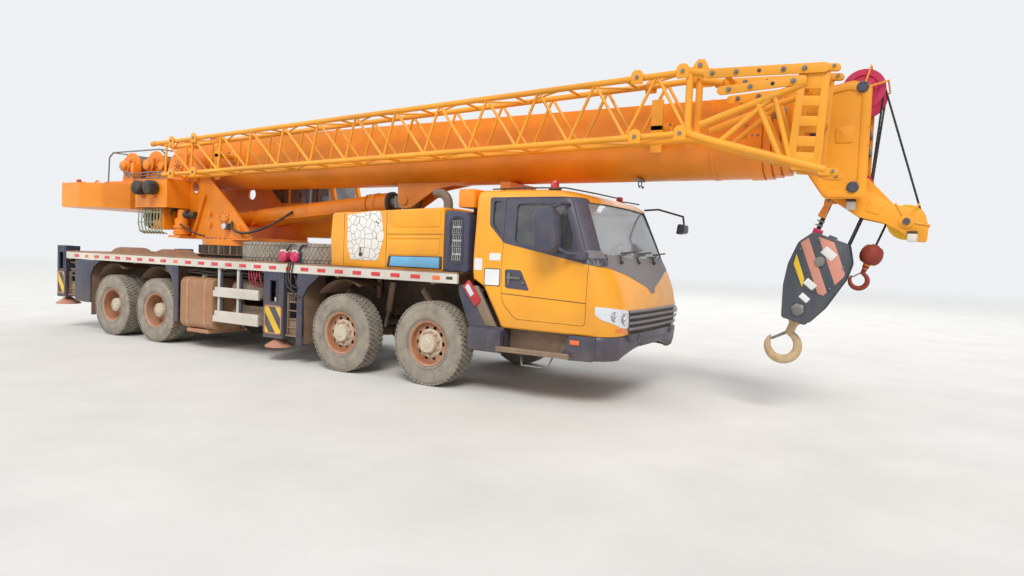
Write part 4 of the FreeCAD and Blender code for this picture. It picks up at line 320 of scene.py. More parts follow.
# Finish of each CAD node: node names, material
FINISHES = [
    (["tyre_1_right", "tyre_1_left", "tyre_2_right", "tyre_2_left", "tyres_3_right", "tyres_3_left",
      "tyres_4_right", "tyres_4_left", "spare_tyres"], "tyre"),
    (["rim_1_right", "rim_1_left", "rim_2_right", "rim_2_left", "rims_3_right", "rims_3_left",
      "rims_4_right", "rims_4_left"], "rim"),
    (["knuckle_1_right", "knuckle_1_left", "knuckle_2_right", "knuckle_2_left", "drive_train",
      "chassis_frame"], "chassis"),
    (["deck"], "deck"),
    (["side_rails"], "white"),
    (["side_panels", "beam_front_right", "beam_front_left", "beam_rear_right", "beam_rear_left",
      "cab_front"], "blue_grey"),
    (["tanks"], "tank"),
    (["jack_front_right", "jack_front_left", "jack_rear_right", "jack_rear_left"], "float"),
    (["engine_hood", "cab_shell", "door_right", "door_left"], "amber"),
    (["intake_exhaust"], "dark"),
    (["cab_glass"], "glass"),
    (["cab_inside"], "dark"),
    (["fittings"], "amber_lens"),
    (["boom_rest", "turntable", "upper_machinery", "luff_barrel"], "orange"),
    (["counterweight", "boom_base", "boom_section_2", "boom_section_3", "boom_section_4"], "boom"),
    (["boom_section_5", "jib", "operator_cab"], "jib"),
    (["head_sheaves"], "crimson"),
    (["luff_rod"], "steel"),
    (["hook_block"], "block"),
    (["aux_hook"], "crimson"),
]


def finish_nodes(nodes):
    for names, material in FINISHES:
        for name in names:
            node = nodes[name]
            node.data.materials.clear()
            node.data.materials.append(MATERIALS[material])
            for face in node.data.polygons:
                face.use_smooth = True
            keep_edges(node)


def keep_edges(piece, angle=32.0):
    """Smooth shading that keeps edges sharper than an angle."""
    modifier = piece.modifiers.new("Edges", "EDGE_SPLIT")
    modifier.split_angle = math.radians(angle)


# Camera, light and floor

def make_camera():
    yaw, pitch, roll = (math.radians(a) for a in (CAMERA_YAW, CAMERA_PITCH, CAMERA_ROLL))
    forward = Vector((math.cos(yaw) * math.cos(pitch), math.sin(yaw) * math.cos(pitch), math.sin(pitch)))
    level = Vector((math.sin(yaw), -math.cos(yaw), 0.0))
    upright = level.cross(forward)
    right = level * math.cos(roll) + upright * math.sin(roll)
    up = upright * math.cos(roll) - level * math.sin(roll)
    data = bpy.data.cameras.new("Camera")
    data.sensor_width = SENSOR_WIDTH
    data.lens = LENS
    data.clip_end = 400
    camera = bpy.data.objects.new("Camera", data)
    camera.matrix_world = Matrix((
        (right.x, up.x, -forward.x, CAMERA_PLACE[0]),
        (right.y, up.y, -forward.y, CAMERA_PLACE[1]),
        (right.z, up.z, -forward.z, CAMERA_PLACE[2]),
        (0, 0, 0, 1)))
    bpy.context.scene.collection.objects.link(camera)
    bpy.context.scene.camera = camera


def area_light(name, place, target, size, power, colour=(1, 1, 1)):
    data = bpy.data.lights.new(name, "AREA")
    data.shape = "RECTANGLE"
    data.size, data.size_y = size
    data.energy = power
    data.color = colour
    light = bpy.data.objects.new(name, data)
    light.location = place
    light.rotation_euler = (Vector(target) - Vector(place)).to_track_quat("-Z", "Y").to_euler()
    bpy.context.scene.collection.objects.link(light)


def make_light():
    world = bpy.data.worlds.new("Sky")
    bpy.context.scene.world = world
    world.use_nodes = True
    tree = world.node_tree
    tree.nodes.clear()
    seen = tree.nodes.new("ShaderNodeLightPath")
    background = tree.nodes.new("ShaderNodeBackground")
    lit = tree.nodes.new("ShaderNodeBackground")
    background.inputs["Color"].default_value = BACKDROP
    background.inputs["Strength"].default_value = 1.0
    lit.inputs["Color"].default_value = (0.88, 0.94, 1.0, 1)
    lit.inputs["Strength"].default_value = 0.70
    shows = tree.nodes.new("ShaderNodeMath")
    shows.operation = "MAXIMUM"
    tree.links.new(seen.outputs["Is Camera Ray"], shows.inputs[0])
    tree.links.new(seen.outputs["Is Glossy Ray"], shows.inputs[1])
    both = tree.nodes.new("ShaderNodeMath")
    both.operation = "MAXIMUM"
    tree.links.new(shows.outputs[0], both.inputs[0])
    tree.links.new(seen.outputs["Is Transmission Ray"], both.inputs[1])
    mix = tree.nodes.new("ShaderNodeMixShader")
    tree.links.new(both.outputs[0], mix.inputs[0])
    tree.links.new(lit.outputs[0], mix.inputs[1])
    tree.links.new(background.outputs[0], mix.inputs[2])
    output = tree.nodes.new("ShaderNodeOutputWorld")
    tree.links.new(mix.outputs[0], output.inputs["Surface"])
    bpy.context.scene.view_settings.view_transform = "Standard"
    sun = bpy.data.lights.new("Sun", "SUN")
    sun.energy = 2.1
    sun.angle = math.radians(24)
    sun.color = (1.0, 0.97, 0.93)
    lamp = bpy.data.objects.new("Sun", sun)
    lamp.rotation_euler = (Vector((-0.40, 0.72, -0.86))).to_track_quat("-Z", "Y").to_euler()
    bpy.context.scene.collection.objects.link(lamp)
    area_light("Fill", (-24, -22, 22), (-2, 0, 1.5), (30, 20), 2700, (0.92, 0.96, 1.0))
    area_light("Back", (0, 24, 20), (0, 0, 2), (24, 12), 2200)


def make_floor():
    """Pale ground that keeps the shadow near the object and turns into the backdrop far away."""
    bpy.ops.mesh.primitive_plane_add(size=600, location=(0, 0, 0))
    floor = bpy.context.object
    floor.name = "floor"
    shader = Shader("floor_dust")
    tone = shader.mix(shader.span(shader.noise(0.8, 6.0), 0.3, 0.7), (0.86, 0.85, 0.83), (0.82, 0.81, 0.79))
    shader.set("Base Color", tone)
    shader.set("Roughness", 0.95)
    shader.bump(shader.noise(30.0, 5.0), 0.004, 0.3)
    place = shader.node("ShaderNodeNewGeometry")
    reach = shader.node("ShaderNodeVectorMath", operation="LENGTH")
    shader.tree.links.new(place.outputs["Position"], reach.inputs[0])
    far = shader.span(reach.outputs["Value"], 14.0, 70.0)
    seen = shader.node("ShaderNodeLightPath")
    far = shader.maths("MULTIPLY", far, seen.outputs["Is Camera Ray"])
    glow = shader.node("ShaderNodeEmission")
    glow.inputs["Color"].default_value = BACKDROP
    mix = shader.node("ShaderNodeMixShader")
    shader.tree.links.new(far, mix.inputs[0])
    shader.tree.links.new(shader.surface.outputs["BSDF"], mix.inputs[1])
    shader.tree.links.new(glow.outputs["Emission"], mix.inputs[2])
    output = [node for node in shader.tree.nodes if node.type == "OUTPUT_MATERIAL"][0]
    shader.tree.links.new(mix.outputs[0], output.inputs["Surface"])
    floor.data.materials.append(shader.material)


# Mesh building

def frame_of(direction):
    """A rotation that turns +Z to a direction."""
    return Vector(direction).normalized().to_track_quat("Z", "Y").to_matrix().to_4x4()


def axis_turn(axis):
    """A rotation that turns +Z to the named axis."""
    return frame_of({"x": (1, 0, 0), "y": (0, 1, 0), "z": (0, 0, 1)}[axis])


class Shape:
    """Collects boxes, bars, plates and turned forms in one mesh."""

    def __init__(self):
        self.mesh = bmesh.new()

    def box(self, x, y, z, turn=None):
        """A block from three (low, high) spans, turned about its own middle."""
        size = Matrix.Diagonal((x[1] - x[0], y[1] - y[0], z[1] - z[0], 1.0))
        middle = Matrix.Translation((sum(x) / 2, sum(y) / 2, sum(z) / 2))
        bmesh.ops.create_cube(self.mesh, size=1.0, matrix=middle @ (turn or Matrix()) @ size)
        return self

    def bar(self, start, end, radius, sides=12, end_radius=None):
        """A round bar from one point to another."""
        start, end = Vector(start), Vector(end)
        place = Matrix.Translation((start + end) / 2) @ frame_of(end - start)
        bmesh.ops.create_cone(self.mesh, cap_ends=True, segments=sides, radius1=radius,
                              radius2=radius if end_radius is None else end_radius,
                              depth=(end - start).length, matrix=place)
        return self

    def chain(self, points, radius, sides=10):
        """Round bars through a list of points, with a ball at each bend."""
        for start, end in zip(points, points[1:]):
            self.bar(start, end, radius, sides)
        for point in points[1:-1]:
            self.ball(point, radius, 8)
        return self

    def ball(self, centre, radius, sides=16):
        bmesh.ops.create_uvsphere(self.mesh, u_segments=sides, v_segments=max(6, sides // 2), radius=radius,
                                  matrix=Matrix.Translation(centre))
        return self

    def plate(self, plane, outline, span):
        """An outline in the XY, XZ or YZ plane, given a thickness across it."""
        spot = {"XY": lambda a, b, c: (a, b, c), "XZ": lambda a, b, c: (a, c, b),
                "YZ": lambda a, b, c: (c, a, b)}[plane]
        rings = [[self.mesh.verts.new(spot(a, b, level)) for a, b in outline] for level in span]
        count = len(outline)
        faces = [self.mesh.faces.new(rings[0]), self.mesh.faces.new(list(reversed(rings[1])))]
        for i in range(count):
            faces.append(self.mesh.faces.new((rings[0][i], rings[1][i], rings[1][(i + 1) % count],
                                              rings[0][(i + 1) % count])))
        bmesh.ops.recalc_face_normals(self.mesh, faces=faces)
        return self

    def lathe(self, outline, axis, centre, steps=48):
        """An open or closed outline of (radius, along) points turned about an axis through a centre."""
        turn = Matrix.Translation(centre) @ axis_turn(axis)
        rings = []
        for radius, along in outline:
            if radius < 1e-6:
                rings.append([self.mesh.verts.new(turn @ Vector((0, 0, along)))])
            else:
                rings.append([self.mesh.verts.new(turn @ Vector((radius * math.cos(2 * math.pi * i / steps),
                                                                  radius * math.sin(2 * math.pi * i / steps),
                                                                  along))) for i in range(steps)])
        faces = []
        for first, second in zip(rings, rings[1:]):
            for i in range(steps):
                corners = [first[i % len(first)], first[(i + 1) % len(first)],
                           second[(i + 1) % len(second)], second[i % len(second)]]
                unique = list(dict.fromkeys(corners))
                if len(unique) > 2:
                    faces.append(self.mesh.faces.new(unique))
        bmesh.ops.recalc_face_normals(self.mesh, faces=faces)
        return self

    def grid(self, rows, close=False):
        """Quads between rows of points."""
        made = [[self.mesh.verts.new(point) for point in row] for row in rows]
        faces = []
        for first, second in zip(made, made[1:]):
            count = len(first)
            for i in range(count if close else count - 1):
                faces.append(self.mesh.faces.new((first[i], first[(i + 1) % count],
                                                  second[(i + 1) % count], second[i])))
        return made, faces

    def cap(self, ring):
        self.mesh.faces.new(ring)

    def done(self, name, material, body=None, bevel=0.0, slot=None, replaces=(), smooth=True, edges=32.0):
        """The finished piece, riding on its body."""
        data = bpy.data.meshes.new(name)
        self.mesh.to_mesh(data)
        self.mesh.free()
        piece = bpy.data.objects.new(name, data)
        bpy.context.scene.collection.objects.link(piece)
        data.materials.append(MATERIALS[material])
        if bevel:
            modifier = piece.modifiers.new("Bevel", "BEVEL")
            modifier.width = bevel
            modifier.segments = 2
            modifier.limit_method = "ANGLE"
            modifier.angle_limit = math.radians(35)
        if smooth:
            for face in data.polygons:
                face.use_smooth = True
            keep_edges(piece, edges)
        if body:
            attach(piece, body)
        if replaces:
            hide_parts(*replaces)
        return piece


def both(sign, low, high):
    """A span of Y on one side of the middle plane, in rising order."""
    return (low, high) if sign > 0 else (-high, -low)


def rounded(outline, radius, steps=4):
    """An outline with its corners rounded."""
    points = []
    count = len(outline)
    for i, corner in enumerate(outline):
        corner = Vector(corner)
        before = Vector(outline[i - 1]) - corner
        after = Vector(outline[(i + 1) % count]) - corner
        reach = min(radius, before.length * 0.45, after.length * 0.45)
        start, end = corner + before.normalized() * reach, corner + after.normalized() * reach
        for step in range(steps + 1):
            t = step / steps
            point = start * (1 - t) ** 2 + corner * 2 * t * (1 - t) + end * t ** 2
            points.append((point.x, point.y))
    return points


# Wheels

TREAD_ROWS = [(-0.118, 0.030, 0.0), (-0.060, 0.036, 0.5), (0.0, 0.036, 0.0), (0.060, 0.036, 0.5),
              (0.118, 0.030, 0.0)]
TREAD_BLOCKS = 52
TREAD_FLOOR = TYRE_RADIUS - 0.018


def tyre_shape(shape, x, y, z, axis="y", flat_rows=False):
    """One tyre: rounded walls, rim beads and rows of tread blocks."""
    outline = [(0.290, -0.125), (0.320, -0.140), (0.372, -0.1545), (0.432, -0.1550), (0.490, -0.150),
               (0.522, -0.142), (0.540, -0.133), (TREAD_FLOOR, -0.128), (TREAD_FLOOR, 0.128), (0.540, 0.133),
               (0.522, 0.142), (0.490, 0.150), (0.432, 0.1550), (0.372, 0.1545), (0.320, 0.140), (0.290, 0.125)]
    shape.lathe(outline, axis, (x, y, z), 56)
    turn = Matrix.Translation((x, y, z)) @ axis_turn(axis)
    pitch = 2 * math.pi / TREAD_BLOCKS
    for middle, half, shift in TREAD_ROWS:
        shoulder = abs(middle) > 0.1
        inner, outer = middle - half * 0.92, middle + half * 0.92
        if shoulder:
            inner, outer = (middle - 0.014, middle + half * 0.9) if middle > 0 else (middle - half * 0.9,
                                                                                   middle + 0.014)
            inner, outer = (min(inner, 0.135), min(outer, 0.143)) if middle > 0 else (max(inner, -0.143),
                                                                                    max(outer, -0.135))
        for i in range(TREAD_BLOCKS):
            angle = (i + shift) * pitch
            for fraction in ((0.40,) if shoulder or not flat_rows else (0.48,)):
                half_angle = pitch * fraction
                rings = []
                for radius, shrink in ((TREAD_FLOOR - 0.004, 1.0), (TYRE_RADIUS - 0.0015, 0.9)):
                    ring = []
                    for side, along in ((-1, inner), (1, inner), (1, outer), (-1, outer)):
                        slant = 0.20 * pitch * (1 if along == outer else -1) * (1 if shift else -1)
                        a = angle + side * half_angle * shrink + (0 if shoulder else slant)
                        reach = radius - (0.006 if shoulder and abs(along) > 0.13 else 0.0)
                        ring.append(shape.mesh.verts.new(turn @ Vector((reach * math.cos(a),
                                                                        reach * math.sin(a), along))))
                    rings.append(ring)
                low, high = rings
                shape.mesh.faces.new(high)
                for k in range(4):
                    shape.mesh.faces.new((low[k], low[(k + 1) % 4], high[(k + 1) % 4], high[k]))
                faces = [face for vert in high for face in vert.link_faces]
                bmesh.ops.recalc_face_normals(shape.mesh, faces=list(set(faces)))
    # Raised ribs on the walls
    for radius in (0.34, 0.455):
        for side in (-1, 1):
            edge = side * 0.1555
            shape.lathe([(radius - 0.006, edge * 0.985), (radius - 0.004, edge * 1.0), (radius + 0.004, edge * 1.0),
                         (radius + 0.006, edge * 0.985)], axis, (x, y, z), 56)
    return shape


def wheel_nuts(shape, x, y, sign, circle, count, face, length):
    """Studs with nuts in a circle on a wheel's face."""
    for i in range(count):
        angle = 2 * math.pi * (i + 0.5) / count
        spot = (x + circle * math.cos(angle), HUB_Z + circle * math.sin(angle))
        shape.bar((spot[0], y + sign * face, spot[1]), (spot[0], y + sign * (face + length * 0.6), spot[1]),
                  0.019, 6)
        shape.bar((spot[0], y + sign * face, spot[1]), (spot[0], y + sign * (face + length), spot[1]), 0.011, 8)


def make_wheels():
    for number, x, twin in WHEELS:
        for side, sign in SIDES:
            body = "wheel_%s_%s" % (number, side)
            outer = sign * (SIDE_Y - TYRE_HALF)
            shape = Shape()
            tyre_shape(shape, x, outer, HUB_Z)
            if twin:
                tyre_shape(shape, x, outer - sign * TWIN_PITCH, HUB_Z)
            name = "tyres_%s_%s" if twin else "tyre_%s_%s"
            shape.done("tread_%s_%s" % (number, side), "tyre", body, slot="tyre",
                       replaces=(name % (number, side),), edges=28.0)
            hub = Shape()
            if twin:
                middle = outer - sign * TWIN_PITCH / 2
                wheel_nuts(hub, x, middle, sign, 0.168, 10, 0.016, 0.06)
                cap = [(0.0, 0.268), (0.055, 0.268), (0.062, 0.262), (0.116, 0.254), (0.122, 0.246), (0.133, 0.120),
                       (0.134, 0.062)]
                hub.lathe([(radius, along * sign) for radius, along in cap], "y", (x, middle, HUB_Z), 32)
                for i in range(8):
                    angle = 2 * math.pi * i / 8
                    spot = (x + 0.085 * math.cos(angle), HUB_Z + 0.085 * math.sin(angle))
                    hub.bar((spot[0], middle + sign * 0.25, spot[1]), (spot[0], middle + sign * 0.272, spot[1]),
                            0.012, 6)
            else:
                wheel_nuts(hub, x, outer, sign, 0.160, 10, 0.078, 0.045)
                plate = [(0.0, 0.084), (0.184, 0.084), (0.192, 0.078), (0.192, 0.066)]
                hub.lathe([(radius, along * sign) for radius, along in plate], "y", (x, outer, HUB_Z), 40)
                cap = [(0.0, 0.166), (0.052, 0.164), (0.062, 0.156), (0.116, 0.154), (0.124, 0.146), (0.133, 0.094),
                       (0.134, 0.080)]
                hub.lathe([(radius, along * sign) for radius, along in cap], "y", (x, outer, HUB_Z), 32)
            hub.done("hub_%s_%s" % (number, side), "hub", body, slot="rim_orange", edges=35.0)


def make_spare_tyres():
    low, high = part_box("spare_tyres")
    shape = Shape()
    z = DECK_TOP + TYRE_HALF
    for x in (high.x - TYRE_RADIUS, low.x + TYRE_RADIUS):
        tyre_shape(shape, x, (low.y + high.y) / 2, z, "z", True)
    shape.done("spare_treads", "tyre", "carrier", slot="tyre", replaces=("spare_tyres",), edges=28.0)


# Driver's cab

# Levels of the cab's skin: height, front at the middle, half width, front corner radius, rear edge
CAB_LEVELS = [
    (0.862, 4.590, 1.270, 0.30, 3.056), (0.880, 4.605, 1.280, 0.33, 3.046), (1.000, 4.618, 1.280, 0.34, 2.985),
    (1.170, 4.612, 1.280, 0.34, 2.886), (1.364, 4.575, 1.280, 0.34, 2.774), (1.450, 4.545, 1.280, 0.34, 2.620),
    (1.560, 4.500, 1.280, 0.33, 2.604), (1.680, 4.435, 1.280, 0.31, 2.602), (1.770, 4.378, 1.276, 0.28, 2.602),
    (2.000, 4.280, 1.258, 0.25, 2.602), (2.250, 4.172, 1.237, 0.24, 2.602), (2.460, 4.080, 1.219, 0.24, 2.602),
    (2.520, 4.020, 1.208, 0.24, 2.606), (2.562, 3.920, 1.180, 0.26, 2.616), (2.584, 3.780, 1.130, 0.30, 2.650),
    (2.592, 3.600, 1.000, 0.30, 2.760),
]
CORNER_STEPS = 9
FRONT_BULGE = 0.05
DOOR = [(3.055, 1.93), (3.055, 1.30), (3.085, 1.17), (3.27, 0.985), (4.205, 0.975), (4.215, 1.72), (4.11, 2.0),
        (3.985, 2.33), (3.93, 2.475), (3.055, 2.475)]
DOOR_GAP = 0.005
QUARTER_WINDOW = [(2.872, 2.44), (2.878, 2.15), (2.995, 2.02), (2.995, 2.44)]
DOOR_WINDOW = [(3.215, 2.405), (3.215, 1.935), (3.92, 1.80), (3.985, 1.83), (4.0, 2.0), (3.88, 2.36), (3.85, 2.405)]
SURROUND = [(2.815, 2.49), (2.835, 2.14), (3.065, 1.917), (4.36, 1.665), (4.385, 1.69), (4.07, 2.43), (4.03, 2.49)]
SCREEN = [(-1.10, 1.825), (-0.6, 1.795), (0.0, 1.785), (0.6, 1.795), (1.10, 1.825), (1.015, 2.44), (0.5, 2.455),
          (-0.5, 2.455), (-1.015, 2.44)]
COWL = [(-1.29, 1.70), (-0.72, 1.585), (-0.14, 1.42), (-0.07, 1.35), (0.07, 1.35), (0.14, 1.42), (0.72, 1.585),
        (1.29, 1.70), (1.29, 1.86), (-1.29, 1.86)]
GRILLE = [(-0.885, 0.915), (-0.80, 0.885), (0.80, 0.885), (0.885, 0.915), (0.885, 1.165), (-0.885, 1.165)]
CAB_WALL = 0.045


def cab_ring(z, front, half, radius, rear, grow=0.0):
    """One level of the cab's outline, from the rear right corner round the front."""
    half, front, rear = half + grow, front + grow, rear - grow
    rim = 0.05
    right = [(rear + rim, -half)]
    sides = 8
    for i in range(1, sides + 1):
        right.append((rear + rim + (front - radius - rear - rim) * i / sides, -half))
    for i in range(1, CORNER_STEPS + 1):
        angle = math.pi / 2 * i / CORNER_STEPS
        x = front - radius + radius * math.sin(angle)
        y = -half + radius - radius * math.cos(angle)
        right.append((x, y))
    inner = half - radius
    for share in (0.66, 0.33):
        right.append((front, -inner * share))
    right.insert(0, (rear + rim * 0.3, -half + rim * 0.3))
    right.insert(0, (rear, -half + rim))
    right.insert(0, (rear, -half * 0.5))
    ring = right + [(front, 0.0)] + [(x, -y) for x, y in reversed(right)] + [(rear, 0.0)]
    result = []
    for x, y in ring:
        bulge = FRONT_BULGE * (y / half) ** 2 if x > rear + 1.2 else 0.0
        share = max(0.0, (x - (front - radius - 0.02)) / (radius + 0.02))
        result.append(Vector((x - bulge * min(1.0, share), y, z)))
    return result


def cab_solid(name, grow=0.0):
    """The closed skin of the cab as a mesh object."""
    shape = Shape()
    rows = [cab_ring(*level, grow=grow) for level in CAB_LEVELS]
    if grow:
        rows = [[Vector((p.x, p.y, p.z + (grow if row is rows[-1] else 0))) for p in row] for row in rows]
    rings, faces = shape.grid(rows, close=True)
    shape.cap(rings[0])
    shape.cap(rings[-1])
    bmesh.ops.recalc_face_normals(shape.mesh, faces=shape.mesh.faces)
    return shape.done(name, "amber", smooth=False)


def prism(name, plane, outline, span):
    """A cutting tool, whose faces take the second material of what they cut."""
    tool = Shape().plate(plane, outline, span).done(name, "amber", smooth=False)
    tool.data.materials.append(MATERIALS["cab_lining"])
    for face in tool.data.polygons:
        face.material_index = 1
    return tool


def boolean(piece, tool, operation):
    modifier = piece.modifiers.new("Boolean", "BOOLEAN")
    modifier.operation = operation
    modifier.solver = "EXACT"
    modifier.object = tool


def bake(piece, tools=()):
    """Applies a piece's modifiers and drops the tools."""
    depsgraph = bpy.context.evaluated_depsgraph_get()
    depsgraph.update()
    data = bpy.data.meshes.new_from_object(piece.evaluated_get(depsgraph))
    piece.modifiers.clear()
    old = piece.data
    piece.data = data
    bpy.data.meshes.remove(old)
    for tool in tools:
        bpy.data.objects.remove(tool)
    return piece


def dress(piece, material, body, slot=None, replaces=(), bevel=0.0, edges=24.0, inside=None):
    """Material, shading and body for a baked piece; inside is for its second faces."""
    indices = [face.material_index for face in piece.data.polygons]
    piece.data.materials.clear()
    for name in (material, inside or material):
        piece.data.materials.append(MATERIALS[name])
    for face, index in zip(piece.data.polygons, indices):
        face.use_smooth = True
        face.material_index = index if inside else 0
    if bevel:
        modifier = piece.modifiers.new("Bevel", "BEVEL")
        modifier.width = bevel
        modifier.segments = 2
        modifier.limit_method = "ANGLE"
        modifier.angle_limit = math.radians(50)
        modifier.harden_normals = False
    keep_edges(piece, edges)
    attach(piece, body)
    if replaces:
        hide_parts(*replaces)
    return piece


def side_span(sign):
    return (-1.6, -0.95) if sign < 0 else (0.95, 1.6)


def grown(outline, gap):
    """An outline moved outwards from its middle by about a gap."""
    middle = Vector((sum(a for a, b in outline) / len(outline), sum(b for a, b in outline) / len(outline)))
    points = []
    for corner in outline:
        away = Vector(corner) - middle
        points.append(tuple(Vector(corner) + Vector((math.copysign(gap, away.x), math.copysign(gap, away.y)))))
    return points


def hollow_cab(name):
    """The cab's skin with its wall thickness, its inner faces in the lining; the windscreen is cut out later."""
    piece = cab_solid(name)
    modifier = piece.modifiers.new("Wall", "SOLIDIFY")
    modifier.thickness = CAB_WALL
    modifier.offset = -1
    piece.data.materials.append(MATERIALS["cab_lining"])
    modifier.material_offset = 1
    modifier.material_offset_rim = 1
    return piece


def patch(name, outline, plane, span, holes, material, body, thickness=0.004, keep=None, **dressing):
    """A thin skin lying on the cab where an outline is pressed through it."""
    skin = cab_solid(name)
    modifier = skin.modifiers.new("Skin", "SOLIDIFY")
    modifier.thickness = thickness + 0.004
    modifier.offset = 0.0
    tools = [prism("tool", plane, outline, span)]
    boolean(skin, tools[0], "INTERSECT")
    for hole_plane, hole, hole_span in holes:
        tools.append(prism("tool", hole_plane, hole, hole_span))
        boolean(skin, tools[-1], "DIFFERENCE")
    if keep:
        tools.append(prism("tool", *keep))
        boolean(skin, tools[-1], "INTERSECT")
    return dress(bake(skin, tools), material, body, **dressing)


def make_cab():
    front_span = (3.6, 4.9)
    shell = hollow_cab("cab_skin")
    tools = []
    for side, sign in SIDES:
        for outline in (grown(DOOR, DOOR_GAP), grown(QUARTER_WINDOW, 0.02)):
            tools.append(prism("tool", "XZ", rounded(outline, 0.05), side_span(sign)))
            boolean(shell, tools[-1], "DIFFERENCE")
    tools.append(prism("tool", "YZ", rounded(SCREEN, 0.07), front_span))
    boolean(shell, tools[-1], "DIFFERENCE")
    tools.append(prism("tool", "YZ", rounded([(-0.7, 1.85), (0.7, 1.85), (0.7, 2.4), (-0.7, 2.4)], 0.08),
                       (2.4, 2.9)))
    boolean(shell, tools[-1], "DIFFERENCE")
    dress(bake(shell, tools), "amber", "carrier", slot="yellow", replaces=("cab_shell",), inside="cab_lining")
    for side, sign in SIDES:
        body = "driver_door_%s" % side
        door = hollow_cab("door_skin_%s" % side)
        tools = [prism("tool", "XZ", rounded(DOOR, 0.05), side_span(sign)),
                 prism("tool", "XZ", rounded(grown(DOOR_WINDOW, 0.03), 0.06), side_span(sign))]
        boolean(door, tools[0], "INTERSECT")
        boolean(door, tools[1], "DIFFERENCE")
        dress(bake(door, tools), "amber", body, slot="yellow", replaces=("door_%s" % side,), inside="cab_lining")
        window = ("XZ", rounded(DOOR_WINDOW, 0.05), side_span(sign))
        quarter = ("XZ", rounded(QUARTER_WINDOW, 0.03), side_span(sign))
        doorway = ("XZ", rounded(grown(DOOR, DOOR_GAP), 0.05), side_span(sign))
        leaf = ("XZ", rounded(DOOR, 0.05), side_span(sign))
        surround = rounded(SURROUND, 0.03)
        patch("surround_shell_" + side, surround, "XZ", side_span(sign),
              [quarter, doorway, ("YZ", rounded(SCREEN, 0.07), front_span)], "trim", "carrier")
        patch("surround_door_" + side, surround, "XZ", side_span(sign), [window], "trim", body, keep=leaf)
        # Panes just inside the skin
        pane(side, sign, body)
        door_details(side, sign, body)
        cab_signs(side, sign)
    patch("cowl", rounded(COWL, 0.02), "YZ", (4.15, 4.9), [("YZ", rounded(SCREEN, 0.07), front_span)], "trim_dusty",
          "carrier")
    screen_glass()
    cab_face()
    cab_roof()
    cab_room()


def pane(side, sign, body):
    """Side window panes, the door's and the rear quarter's."""
    for name, outline, place in (("door_pane_", grown(DOOR_WINDOW, 0.02), body),
                                 ("quarter_pane_", grown(QUARTER_WINDOW, 0.015), "carrier")):
        skin = cab_solid(name + side)
        skin.modifiers.new("Skin", "SOLIDIFY").thickness = 0.006
        skin.modifiers["Skin"].offset = -1
        moved = prism("tool", "XZ", rounded(outline, 0.05), side_span(sign))
        boolean(skin, moved, "INTERSECT")
        bake(skin, [moved])
        for vertex in skin.data.vertices:
            vertex.co.y -= sign * 0.016
        dress(skin, "glass", place, slot="glass")


def screen_glass():
    skin = cab_solid("windscreen")
    skin.modifiers.new("Skin", "SOLIDIFY").thickness = 0.006
    skin.modifiers["Skin"].offset = -1
    tool = prism("tool", "YZ", rounded(grown(SCREEN, 0.02), 0.07), (3.6, 4.9))
    boolean(skin, tool, "INTERSECT")
    bake(skin, [tool])
    for vertex in skin.data.vertices:
        vertex.co.x -= 0.014
    dress(skin, "screen_glass", "carrier", slot="glass", replaces=("cab_glass",))
    rear = Shape().plate("YZ", rounded([(-0.72, 1.83), (0.72, 1.83), (0.72, 2.42), (-0.72, 2.42)], 0.08),
                         (2.618, 2.624))
    rear.done("rear_pane", "glass", "carrier", slot="glass")
    # Wipers on the cowl
    wipers = Shape()
    for y in (-0.72, -0.12, 0.48):
        foot = (4.415, y, 1.735)
        tip = (4.365, y + 0.34, 1.86)
        wipers.bar(foot, (4.39, y, 1.80), 0.012, 8)
        wipers.bar((4.39, y, 1.80), tip, 0.009, 8)
        wipers.bar((4.372, y + 0.08, 1.845), (4.36, y + 0.62, 1.875), 0.011, 8)
        wipers.ball(foot, 0.024, 10)
    wipers.done("wipers", "dark", "carrier")


def cab_signs(side, sign):
    """Blank plate with its dark edge, and two blank labels behind the door."""
    for number, (x, z, wide, tall, thick, material) in enumerate((
            (2.915, 1.485, 0.236, 0.222, 0.002, "dark"), (2.915, 1.485, 0.214, 0.200, 0.0045, "sign"),
            (2.945, 1.742, 0.165, 0.090, 0.002, "sign"), (2.700, 1.640, 0.120, 0.150, 0.002, "sign"))):
        outline = [(x - wide / 2, z - tall / 2), (x + wide / 2, z - tall / 2), (x + wide / 2, z + tall / 2),
                   (x - wide / 2, z + tall / 2)]
        patch("cab_sign_%d_%s" % (number, side), rounded(outline, 0.015), "XZ", side_span(sign), [], material,
              "carrier", thickness=thick)


